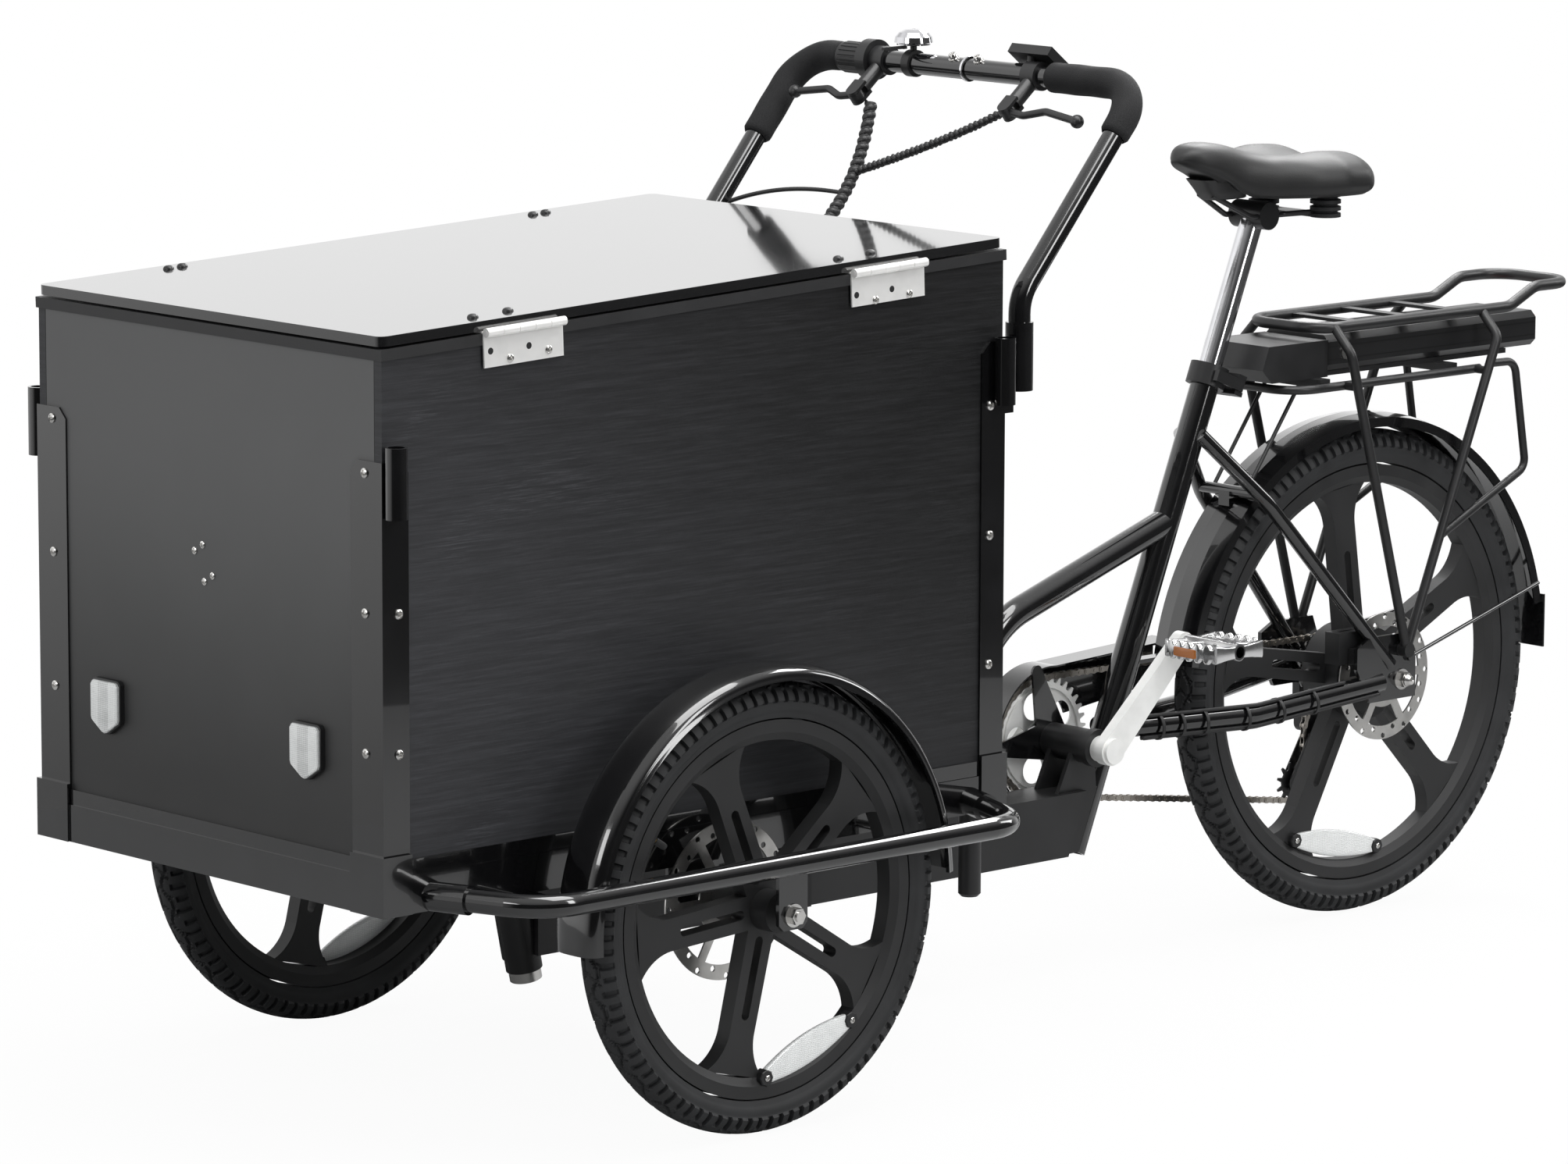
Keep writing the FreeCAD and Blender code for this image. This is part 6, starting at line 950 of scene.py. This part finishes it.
class TRIKE_OT_saddle(bpy.types.Operator):
    """Padded saddle cover with raised wings, a dip between them and a rounded nose"""

    bl_idname = "trike.saddle"
    bl_label = "Saddle"

    STATIONS = (0.0, 0.05, 0.16, 0.30, 0.44, 0.57, 0.66, 0.72, 0.78, 0.86, 0.95, 1.0)
    HALF = (0.60, 0.85, 1.0, 1.0, 0.86, 0.63, 0.49, 0.41, 0.36, 0.32, 0.27, 0.19)
    TOP = (0.46, 0.62, 0.76, 0.79, 0.76, 0.78, 0.84, 0.90, 0.96, 0.99, 0.98, 0.90)
    LOW = (0.12, 0.03, 0.0, 0.0, 0.0, 0.0, 0.02, 0.11, 0.29, 0.45, 0.56, 0.61)
    WING = (0.08, 0.12, 0.17, 0.17, 0.11, 0.04, 0.0, 0.0, 0.0, 0.0, 0.0, 0.0)
    SKIRT = 0.012
    PROUD = 0.003

    def execute(self, context):
        low, high = box("saddle_cover")
        low[2] -= self.SKIRT
        high[2] += self.PROUD
        span, tall, half = high[0] - low[0], high[2] - low[2], (high[1] - low[1]) / 2
        share = 0.5 - 0.5 * np.cos(np.linspace(0, np.pi, 84))
        track = [self.smooth(share, values) for values in (self.HALF, self.TOP, self.LOW, self.WING)]
        wide, top, foot, wing = (row[:, None] for row in track)
        ends = np.sqrt(np.clip(1 - (2 * share - 1) ** 12, 0, 1))[:, None]
        wide = wide * half * np.maximum(ends, 0.02)
        middle_z = foot + (top - foot) * 0.40
        top = middle_z + (top - middle_z) * ends
        foot = middle_z + (foot - middle_z) * ends
        angle = turns(112)[None]
        rise = power(np.sin(angle), 0.84)
        across = power(np.cos(angle), np.where(rise < 0, 0.30, 0.62))
        y = wide * across * np.where(rise < 0, 1 - 0.10 * rise ** 2, 1.0)
        z = np.where(rise > 0, middle_z + (top - middle_z) * rise, middle_z + (middle_z - foot) * rise)
        lobe = np.clip(rise, 0, 1) * (1 - np.exp(-(y / (0.34 * half)) ** 2))
        z = z - wing * np.clip(rise, 0, 1) + wing * 1.15 * lobe
        hollow = np.clip((-rise - 0.70) / 0.30, 0, 1) * (1 - abs(across) ** 6)
        z = z + hollow * 0.15 * (share[:, None] < 0.8)
        groove = 0.03 * np.exp(-((z - foot - 0.10) / 0.022) ** 2) * (rise < 0.2)
        y = y * (1 - groove)
        points = xyz(low[0] + span * share[:, None], y, low[2] + tall * np.clip(z, 0.0, 1.0))
        made = piece("saddle_padding", capped(points), "vinyl", "saddle")
        rounding = made.modifiers.new("round", "SUBSURF")
        rounding.levels = rounding.render_levels = 1
        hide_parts("saddle_cover")
        self.rail_seat(low)
        return {"FINISHED"}

    @staticmethod
    def rail_seat(low):
        """Moulded seat of the rail tips under the nose: rings that widen upward, each a squared circle."""
        turn = turns(40)[None]
        level = np.array([0.0, 0.0, 0.05, 0.45, 1.0, 1.0])[:, None]
        size = np.array([0.0, 0.90, 1.0, 1.10, 1.30, 0.0])[:, None]
        x = size * 0.030 * power(np.cos(turn), 0.45)
        y = size * 0.017 * power(np.sin(turn), 0.45)
        points = xyz(low[0] + 0.196 + 0.012 * level + x, y, low[2] + 0.006 + 0.026 * level)
        piece("saddle_rail_seat", grid(points, wrap_v=True), "plastic", "saddle", sharp=50)

    def smooth(self, share, values):
        """Values at the stations, joined by a line with no overshoot and eased corners."""
        spots = np.linspace(-0.04, 1.04, 433)
        window = np.hanning(41)
        fine = np.pad(np.interp(spots, self.STATIONS, values), 20, "edge")
        return np.interp(share, spots, np.convolve(fine, window / window.sum(), "valid"))


class TRIKE_OT_wheel_fittings(bpy.types.Operator):
    """Spoke reflectors and tyre valves"""

    bl_idname = "trike.wheel_fittings"
    bl_label = "Wheel fittings"

    STEM = ((0.0042, -0.002), (0.0042, 0.006), (0.0030, 0.007), (0.0030, 0.020), (0, 0.020))
    CAP = ((0, 0.017), (0.0041, 0.017), (0.0043, 0.018), (0.0043, 0.030), (0.0036, 0.034), (0, 0.034))
    CLIP = ((0, 0.0062), (0.0085, 0.0062), (0.0095, 0.0050), (0.0095, -0.0060), (0, -0.0060))
    CLIP_FACE = 0.0062
    CLIP_HEAD = (0.0036, 0.0020, 0.4)
    LENS_HALF, LENS_DEPTH = 0.017, 0.0042
    # Lens out of the wheel's middle; its reach, turn in degrees and span; the valve's reach and turn
    FRONT = (0.012, (0.175, -110, 0.143), (0.196, 32))
    REAR = (0.011, (0.217, -80, 0.159), (0.247, 136))

    def execute(self, context):
        for side, sign in SIDES.items():
            self.fit(side, FRONT_HUB[side], sign, f"front_wheel_{side[0]}", *self.FRONT)
        self.fit("rear", REAR_HUB, 1, "rear_wheel_body", *self.REAR)
        return {"FINISHED"}

    def fit(self, name, hub, sign, body, out, lens, valve):
        """A spoke reflector, moved outwards from the wheel's middle, and a valve."""
        self.reflector(f"spoke_reflector_{name}", hub + (0, sign * out, 0), sign, *lens, body)
        self.valve(f"valve_{name}", hub, *valve, body)

    def reflector(self, name, hub, sign, reach, degrees, span, body):
        """A lens with bowed edges across two spokes: half height falls with the square of the way along."""
        along = np.linspace(-1, 1, 33)[:, None]
        angle = turns(24)[None]
        out = reach + self.LENS_HALF * (1 - 0.62 * along ** 2) * power(np.cos(angle), 0.5)
        depth = self.LENS_DEPTH * power(np.sin(angle), 0.5)
        side = along * span / 2
        c, s = math.cos(math.radians(degrees)), math.sin(math.radians(degrees))
        points = xyz(hub[0] + out * c - side * s, hub[1] + sign * depth, hub[2] + out * s + side * c)
        piece(name, capped(points), "lens", body, sharp=40)
        clips, heads = [], []
        for end in (-1, 1):
            tip = end * span * 0.47
            spot = np.array([hub[0] + reach * c - tip * s, hub[1], hub[2] + reach * s + tip * c])
            face = spot + (0, sign * self.CLIP_FACE, 0)
            clips.append(set_at(lathe(self.CLIP, 8), spot, (0, sign, 0)))
            heads.append(set_at(pan_screw(*self.CLIP_HEAD), face, (0, sign, 0)))
        piece(f"{name}_clips", joined(clips), "plastic", body, smooth=False)
        piece(f"{name}_screws", joined(heads), "zinc", body, sharp=35)

    def valve(self, name, hub, reach, degrees, body):
        """A brass stem with a twelve-sided dark cap, pointing from the rim to the hub."""
        axis = -np.array([math.cos(math.radians(degrees)), 0, math.sin(math.radians(degrees))])
        root = hub - axis * reach
        piece(f"{name}_stem", set_at(lathe(self.STEM, 20), root, axis), "brass", body, sharp=40)
        piece(f"{name}_cap", set_at(lathe(self.CAP, 12), root, axis), "plastic", body, smooth=False)


class TRIKE_OT_box_fittings(bpy.types.Operator):
    """Hinge screws and holes, lid bolts and the front reflectors"""

    bl_idname = "trike.box_fittings"
    bl_label = "Box fittings"

    HINGE = ((0.9207, 0.8858), (0.8937, 0.8760), (0.8675, 0.8871), (0.8402, 0.8806),
             (0.3930, 0.9021), (0.3645, 0.8945), (0.3396, 0.9047), (0.3132, 0.8973))
    HINGE_DROP = 0.004
    HINGE_HEAD = (0.0046, 0.0020)
    HOLE = ((0, 0.0003), (0.0033, 0.0003), (0.0037, 0.0), (0.0037, -0.0004))
    LID_SLOPE = math.radians(2.27)
    BOLTS = ((0.920, 0.272), (0.868, 0.268), (0.393, 0.272), (0.341, 0.268),
             (0.905, -0.272), (0.885, -0.273), (0.372, -0.272), (0.352, -0.273))
    BOLT = ((0, 0.0042), (0.0030, 0.0040), (0.0052, 0.0028), (0.0062, 0.0010), (0.0062, -0.0012),
            (0, -0.0012))
    # Outline of a front reflector, and depth and size of the rings of its cup and lens
    SHIELD = ((-1.0, 0.86), (-0.9, 0.96), (-0.78, 1.0), (0.78, 1.0), (0.9, 0.96), (1.0, 0.86), (1.0, -0.42),
              (0.94, -0.56), (0.16, -0.97), (0.0, -1.0), (-0.16, -0.97), (-0.94, -0.56), (-1.0, -0.42))
    CUP = ((0.0, 0.0), (0.0, 1.0), (0.55, 1.0), (0.60, 0.97), (0.60, 0.0))
    LENS = ((0.50, 0.0), (0.50, 0.94), (0.84, 0.94), (0.96, 0.90), (1.0, 0.80), (1.0, 0.0))
    SHIELD_HALF = 0.025

    def execute(self, context):
        face = self.leaf_face()
        heads, holes = [], []
        for n, (x, z) in enumerate(self.HINGE):
            spot = (x, face, z - self.HINGE_DROP)
            if n % 2:
                heads.append(set_at(pan_screw(*self.HINGE_HEAD, 0.8 * n), spot, (0, 1, 0)))
            else:
                holes.append(set_at(lathe(self.HOLE, 24), spot, (0, 1, 0)))
        piece("hinge_screws", joined(heads), "zinc", "carriage", sharp=35)
        piece("hinge_holes", joined(holes), "plastic", "carriage", sharp=35)
        low, high = box("lid")
        normal = (math.sin(self.LID_SLOPE), 0, math.cos(self.LID_SLOPE))
        fall = math.tan(self.LID_SLOPE)
        bolts = [set_at(lathe(self.BOLT, 20), (x, y, high[2] - (x - low[0]) * fall), normal)
                 for x, y in self.BOLTS]
        piece("lid_bolts", joined(bolts), "powder", "lid_body", sharp=50)
        self.reflectors()
        return {"FINISHED"}

    def reflectors(self):
        """Shields built as rings, each the outline shrunk by a share at a depth: black cup, clear lens."""
        low, high = box("front_reflectors")
        half = np.array([self.SHIELD_HALF, (high[2] - low[2]) / 2])
        wide, tall = (np.array(self.SHIELD) * half).T
        for name, ring, finish in (("reflector_cups", self.CUP, "plastic"),
                                   ("reflector_lenses", self.LENS, "lens")):
            depth, share = np.array(ring).T[:, :, None]
            x = low[0] + depth * (high[0] - low[0])
            z = (low[2] + high[2]) / 2 + share * tall
            parts = [grid(xyz(x, sign * (high[1] - half[0]) + share * wide, z), wrap_v=True)
                     for sign in SIDES.values()]
            piece(name, joined(parts), finish, "carriage", sharp=30)
        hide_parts("front_reflectors")

    @staticmethod
    def leaf_face():
        """Outer face of the hinge leaves: the outermost of their points below the knuckle."""
        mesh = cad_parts["box_hinge_leaves"].data
        points = np.zeros(len(mesh.vertices) * 3)
        mesh.vertices.foreach_get("co", points)
        points = points.reshape(-1, 3)
        flat = points[points[:, 2] < points[:, 2].min() + 0.02]
        return float(flat[:, 1].max())


class TRIKE_OT_bar_details(bpy.types.Operator):
    """Bolts and ring at the middle of the bar, ribs of the twist shifter"""

    bl_idname = "trike.bar_details"
    bl_label = "Bar details"

    LEAN = np.array([0.45, 0, 0.9])
    BOLT_Y, BOLT_FOOT = (-0.0205, 0.0215), 0.0122
    BOLT = ((0, 0.0050), (0.0020, 0.0050), (0.0024, 0.0066), (0.0042, 0.0070), (0.0048, 0.0062),
            (0.0048, 0.0012), (0.0064, 0.0010), (0.0064, -0.0016), (0, -0.0016))
    BAND = ((0.0127, -0.0016), (0.0149, -0.0016), (0.0151, -0.0010), (0.0151, 0.0010), (0.0149, 0.0016),
            (0.0127, 0.0016))
    TWIST_BORE, RIB, RIBS = 0.0129, 0.0011, 20

    def execute(self, context):
        x, _, z = TRIKE_OT_grips.BAR
        foot = self.LEAN / np.linalg.norm(self.LEAN) * self.BOLT_FOOT
        heads = [set_at(lathe(self.BOLT, 20), np.array([x, y, z]) + foot, self.LEAN) for y in self.BOLT_Y]
        piece("bar_bolts", joined(heads), "zinc", "carriage", sharp=40)
        band = set_at(lathe(self.BAND, 48), (x, 0, z), (0, 1, 0))
        piece("bar_ring_band", band, "chrome", "carriage", sharp=40)
        self.twist()
        return {"FINISHED"}

    def twist(self):
        """Ribbed sleeve: the radius rises and falls twenty times round, with smooth bands at both ends."""
        low, high = box("twist_grip")
        centre, half = (low + high) / 2, (high[1] - low[1]) / 2
        outer = (high[2] - low[2]) / 2
        along = np.linspace(-1, 1, 25)
        size = np.where(abs(along) > 0.82, outer - 0.0012, outer)
        along, size = np.r_[-1, along, 1][:, None], np.r_[self.TWIST_BORE, size, self.TWIST_BORE][:, None]
        angle = turns(160)
        rib = self.RIB * (np.cos(angle * self.RIBS) < -0.2)
        radius = size - np.where(abs(along) > 0.8, 0, rib)
        x, z = centre[0] + radius * np.cos(angle), centre[2] + radius * np.sin(angle)
        points = xyz(x, centre[1] + half * along, z)
        made = piece("shifter_sleeve", grid(points, wrap_v=True), "plastic", "twist", sharp=35)
        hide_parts("twist_grip")


class TRIKE_OT_pedals(bpy.types.Operator):
    """Alloy cage pedals with pins, barrel, end cap and amber reflectors"""

    bl_idname = "trike.pedals"
    bl_label = "Pedals"

    CAP = ((0, 0.0008), (0.0088, 0.0008), (0.0098, 0.0), (0.0098, -0.006), (0, -0.006))
    LENS = (0.0030, 0.0205, 0.0062)
    FRAME_HALF, SIDE_HALF, RIB_HALF = 0.0040, 0.0042, 0.0030

    def execute(self, context):
        for side, sign in SIDES.items():
            low, high = box(f"pedal_{side}")
            self.pedal(side, sign, (low + high) / 2, (high - low) / 2)
        return {"FINISHED"}

    def pedal(self, side, sign, centre, half):
        """Four bars round a barrel: front and rear bow outwards and carry teeth, ribs go to the corners."""
        body = f"pedal_{side[0]}"
        parts = []
        run = np.linspace(-1, 1, 89)
        teeth = 0.78 + 0.22 * np.clip(1.6 * np.sin(run * math.pi * 5.5 + math.pi / 2), -1, 1)
        for end in (1, -1):
            bow = (half[0] - 0.0042) * (1 - 0.13 * run ** 4)
            line = xyz(end * bow, run * (half[1] - 0.004), 0)
            parts.append(self.bar(line, self.FRAME_HALF, half[2] * teeth, (1, 0, 0)))
            across = np.linspace(-1, 1, 41)
            line = xyz(across * half[0] * 0.86, end * (half[1] - 0.0045), 0)
            tall = half[2] * (0.62 + 0.28 * across ** 2)
            parts.append(self.bar(line, self.SIDE_HALF, tall, (0, 1, 0)))
            for way in (1, -1):
                line = xyz(np.linspace(0.008, half[0] * 0.80, 9) * end,
                           np.linspace(0.010, half[1] * 0.80, 9) * way, 0)
                tall = np.linspace(0.0075, 0.0062, 9)
                parts.append(self.bar(line, self.RIB_HALF, tall, (end * 0.6, -way * 0.6, 0)))
        barrel = [(0.0072, -half[1]), (0.0108, -half[1]), (0.0108, 0.3 * half[1]), (0.0098, 0.55 * half[1]),
                  (0.0106, 0.8 * half[1]), (0.0106, half[1] - 0.001), (0.0072, half[1] - 0.001)]
        parts.append(set_at(lathe(barrel, 40), (0, 0, 0), (0, sign, 0)))
        points, quads = joined(parts)
        made = piece(f"pedal_cage_{side}", (points + centre, quads), "pedal", body, sharp=42)
        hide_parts(f"pedal_{side}")
        cap = set_at(lathe(self.CAP, 32), centre + (0, sign * (half[1] - 0.0008), 0), (0, sign, 0))
        piece(f"pedal_cap_{side}", cap, "plastic", body, sharp=40)
        points, quads = self.block(*self.LENS)
        lenses = [(points + centre + (end * (half[0] - self.LENS[0]), sign * -0.004, -0.0012), quads)
                  for end in (1, -1)]
        piece(f"pedal_reflectors_{side}", joined(lenses), "amber", body, sharp=40)

    @staticmethod
    def bar(line, thick, tall, out):
        """A bar of squarish section carried along a level line: thick along out, tall along Z."""
        angle = turns(16)
        out = np.asarray(out, float) / np.linalg.norm(out)
        rows = line[:, None] + power(np.cos(angle), 0.4)[None, :, None] * thick * out
        rows[..., 2] += power(np.sin(angle), 0.4) * tall[:, None]
        return capped(rows, line[[0, -1]])

    @staticmethod
    def block(thick, wide, tall):
        """A block with rounded edges: a superellipsoid of the given half sizes."""
        u = np.linspace(-np.pi / 2, np.pi / 2, 13)[:, None]
        v = turns(28)[None]
        points = xyz(
            thick * power(np.sin(u), 0.35),
            wide * power(np.cos(u), 0.25) * power(np.cos(v), 0.25),
            tall * power(np.cos(u), 0.25) * power(np.sin(v), 0.25))
        return grid(points, wrap_v=True)


class TRIKE_OT_stay_cables(bpy.types.Operator):
    """Cables tied along the left chain stay"""

    bl_idname = "trike.stay_cables"
    bl_label = "Stay cables"

    FRONT = (-0.3063, 0.014, 0.285)
    WAIST = (-0.50275, 0.058, 0.285)
    BACK = (-0.69875, 0.082, 0.305)
    # Offset outwards and up, radius, and shares of the two legs where each cable starts and ends
    CABLES = ((0.0075, -0.0128, 0.0028, 0.16, 0.98), (0.0020, -0.0150, 0.0024, 0.20, 0.93),
              (0.0065, 0.0130, 0.0024, 0.10, 0.70))
    TIES = (0.30, 0.45, 0.62, 0.92, 1.18, 1.45)
    BAND = ((0.0150, -0.0021), (0.0162, -0.0019), (0.0162, 0.0019), (0.0150, 0.0021), (0.0150, -0.0021))

    def execute(self, context):
        stay = [np.array(p) for p in (self.FRONT, self.WAIST, self.BACK)]
        cables = []
        for out, down, radius, first, last in self.CABLES:
            start = stay[0] + (stay[1] - stay[0]) * first
            end = stay[1] + (stay[2] - stay[1]) * last
            shift = np.array([0, out, down])
            line = even(rounded([start + shift, stay[1] + shift, end + shift], 0.05), 0.006)
            cables.append(capped(line[:, None] + radius * rings(line, 14), line[[0, -1]]))
        piece("stay_cables", joined(cables), "plastic", "frame")
        ties = []
        for spot in self.TIES:
            a, b = stay[int(spot):int(spot) + 2]
            place = a + (b - a) * (spot % 1.0) + (0, 0.0020, -0.0022)
            ties.append(set_at(lathe(self.BAND, 36), place, b - a))
        piece("stay_ties", joined(ties), "plastic", "frame", sharp=40)
        return {"FINISHED"}


class TRIKE_OT_chain(bpy.types.Operator):
    """Roller chain of waisted plates and rollers round the four toothed wheels"""

    bl_idname = "trike.chain"
    bl_label = "Chain"

    PITCH = 0.0127
    # Node, teeth and sense of each wheel on the way of the chain
    WHEELS = (("chainring", 36, 1), ("freewheel", 18, 1), ("guide_pulley", 11, -1),
              ("tension_pulley", 11, 1))
    ROLLER = ((0, 0.0040), (0.0018, 0.0040), (0.0018, 0.0017), (0.0036, 0.0017), (0.0036, -0.0017),
              (0.0018, -0.0017), (0.0018, -0.0040), (0, -0.0040))
    INNER, OUTER, EYE, SHEET = 0.0017, 0.0025, 0.0041, 0.0004

    def execute(self, context):
        line = self.belt()
        run = distance(line)
        count = 2 * round(run[-1] / (2 * self.PITCH))
        spots = np.linspace(0, run[-1], count + 1)
        joints = np.stack([np.interp(spots, run, line[:, i]) for i in range(2)], -1)
        middle_y = middle("chain")[1]
        way = np.diff(joints, axis=0)
        centre = (joints[:-1] + joints[1:]) / 2
        turn = np.arctan2(way[:, 1], way[:, 0])
        even_link = np.arange(count) % 2 == 0
        parts = []
        for wide, chosen in ((self.INNER, even_link), (self.OUTER, ~even_link)):
            for side in (1, -1):
                plate = self.plate(side * (wide + self.SHEET))
                parts.append(self.strewn(plate, centre[chosen], turn[chosen], middle_y))
        roller = set_at(lathe(self.ROLLER, 10), (0, 0, 0), (0, 1, 0))
        parts.append(self.strewn(roller, joints[:-1], 0 * turn, middle_y))
        made = piece("chain_links", joined(parts), "chain", "frame", sharp=35)
        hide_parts("chain")
        return {"FINISHED"}

    def belt(self):
        """Closed line in x and z: arcs on the pitch circles joined by their common tangents."""
        wheels = [(middle(node)[[0, 2]], self.PITCH / (2 * math.sin(math.pi / teeth)), sense)
                  for node, teeth, sense in self.WHEELS]
        tangents = []
        for (c1, r1, s1), (c2, r2, s2) in zip(wheels, wheels[1:] + wheels[:1]):
            way = c2 - c1
            turn = math.atan2(way[1], way[0]) + math.acos((s2 * r2 - s1 * r1) / np.linalg.norm(way))
            normal = np.array([math.cos(turn), math.sin(turn)])
            tangents.append((c1 - normal * s1 * r1, c2 - normal * s2 * r2))
        line = []
        for i, (centre, radius, sense) in enumerate(wheels):
            arrive, leave = tangents[i - 1][1] - centre, tangents[i][0] - centre
            first = math.atan2(arrive[1], arrive[0])
            sweep = (sense * (math.atan2(leave[1], leave[0]) - first)) % (2 * math.pi)
            angle = first + sense * sweep * np.linspace(0, 1, 90)
            line.append(centre + radius * np.stack([np.cos(angle), np.sin(angle)], -1))
        line = np.vstack(line)
        return np.vstack([line, line[:1]])

    def plate(self, y):
        """A waisted plate: its half height is a cosine between the two pins and a circle round each."""
        x = np.linspace(-1, 1, 15)[:, None] * (self.PITCH / 2 + self.EYE)
        past = np.clip((abs(x) - self.PITCH / 2) / self.EYE, 0, 1)
        waist = 0.0035 - 0.0006 * np.cos(x / self.PITCH * 2 * np.pi)
        tall = np.maximum(np.where(past > 0, self.EYE * np.sqrt(1 - past ** 2), waist), 0.00005)
        up, out = np.array([-1.0, 1.0, 1.0, -1.0]), np.array([-1.0, -1.0, 1.0, 1.0])
        return grid(xyz(x, y + self.SHEET * out, tall * up), wrap_v=True)

    @staticmethod
    def strewn(part, centre, turn, y):
        """Copies of a link piece, each turned about Y and moved to its centre."""
        points, quads = part
        c, s = np.cos(turn)[:, None], np.sin(turn)[:, None]
        x = centre[:, :1] + points[:, 0] * c - points[:, 2] * s
        z = centre[:, 1:] + points[:, 0] * s + points[:, 2] * c
        copies = xyz(x, y + points[:, 1], z)
        shift = np.arange(len(centre))[:, None, None] * len(points)
        return copies.reshape(-1, 3), (quads[None] + shift).reshape(-1, 4)


class TRIKE_OT_mudguards(bpy.types.Operator):
    """Front mudguards with a rolled section, a beaded hem and their brackets"""

    bl_idname = "trike.mudguards"
    bl_label = "Mudguards"

    HEM, CROWN, HALF, SHEET = 0.2545, 0.0165, 0.033, 0.0012
    BRACKET = (0.024, 0.128, 0.003)
    RAIL_FOOT = 0.291

    def execute(self, context):
        parts = []
        for side, sign in SIDES.items():
            hub = FRONT_HUB[side]
            parts.append(self.skin(hub))
            for end in (1, -1):
                parts.append(self.bracket(hub, sign, end))
        made = piece("mudguard_skins", joined(parts), "paint", "carriage", sharp=48)
        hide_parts("front_mudguards")
        return {"FINISHED"}

    def skin(self, hub):
        """Squared half ellipse across, swung about the hub; the outer and inner skins meet at both ends."""
        across = np.linspace(-1, 1, 45)
        rise = np.cos(across * np.pi / 2) ** 0.72
        side = power(np.sin(across * np.pi / 2), 0.72)
        bead = 0.0016 * np.exp(-((abs(across) - 1) / 0.05) ** 2)
        turn = np.radians(np.r_[-3, -3, np.linspace(-3, 178, 150), 178, 178])[:, None]
        thick = self.SHEET * np.r_[0, np.ones(len(turn) - 2), 0][:, None]
        loop = []
        for way in (1, -1):
            r = self.HEM + (self.CROWN - self.SHEET) * rise + way * thick * rise
            y = (self.HALF - self.SHEET) * side + way * (thick + bead * (thick > 0)) * side
            row = xyz(hub[0] + r * np.cos(turn), hub[1] + y, hub[2] + r * np.sin(turn))
            loop.append(row[:, ::way])
        return grid(np.concatenate(loop, 1), wrap_v=True)

    def bracket(self, hub, sign, end):
        """A flat tab from the carriage out to the end of the mudguard: a box with eased edges."""
        half = np.array(self.BRACKET) / 2
        place = (hub[0] + end * (self.HEM + half[0]), hub[1] - sign * half[1], self.RAIL_FOOT - half[2])
        turn = turns(32)[None]
        size = np.array([0.0, 0.94, 1.0, 1.0, 0.94, 0.0])[:, None]
        level = np.array([-1.0, -1.0, -0.6, 0.6, 1.0, 1.0])[:, None]
        points = xyz(size * power(np.cos(turn), 0.2), size * power(np.sin(turn), 0.2), level)
        return grid(np.array(place) + half * points, wrap_v=True)


OPERATORS = [
    TRIKE_OT_stage, TRIKE_OT_finishes, TRIKE_OT_cables, TRIKE_OT_tyres, TRIKE_OT_screws, TRIKE_OT_grips,
    TRIKE_OT_saddle, TRIKE_OT_wheel_fittings, TRIKE_OT_box_fittings, TRIKE_OT_bar_details,
    TRIKE_OT_pedals, TRIKE_OT_stay_cables, TRIKE_OT_chain, TRIKE_OT_mudguards,
]


class TRIKE_PT_panel(bpy.types.Panel):
    """The steps that dress the tricycle"""

    bl_idname = "TRIKE_PT_panel"
    bl_label = "Tricycle"
    bl_space_type = "VIEW_3D"
    bl_region_type = "UI"
    bl_category = "Tricycle"

    def draw(self, context):
        for operator in OPERATORS:
            self.layout.operator(operator.bl_idname)


GROUPS = {"trike_finishes": TrikeFinishes, "trike_sizes": TrikeSizes, "trike_stage": TrikeStage}


def register():
    for group in GROUPS.values():
        bpy.utils.register_class(group)
    for name, group in GROUPS.items():
        setattr(bpy.types.Scene, name, bpy.props.PointerProperty(type=group))
    for item in (*OPERATORS, TRIKE_PT_panel):
        bpy.utils.register_class(item)


def unregister():
    for item in (TRIKE_PT_panel, *reversed(OPERATORS)):
        bpy.utils.unregister_class(item)
    for name, group in GROUPS.items():
        delattr(bpy.types.Scene, name)
        bpy.utils.unregister_class(group)


def main():
    register()
    for operator in OPERATORS:
        group, name = operator.bl_idname.split(".")
        getattr(getattr(bpy.ops, group), name)()


if __name__ == "__main__":
    main()
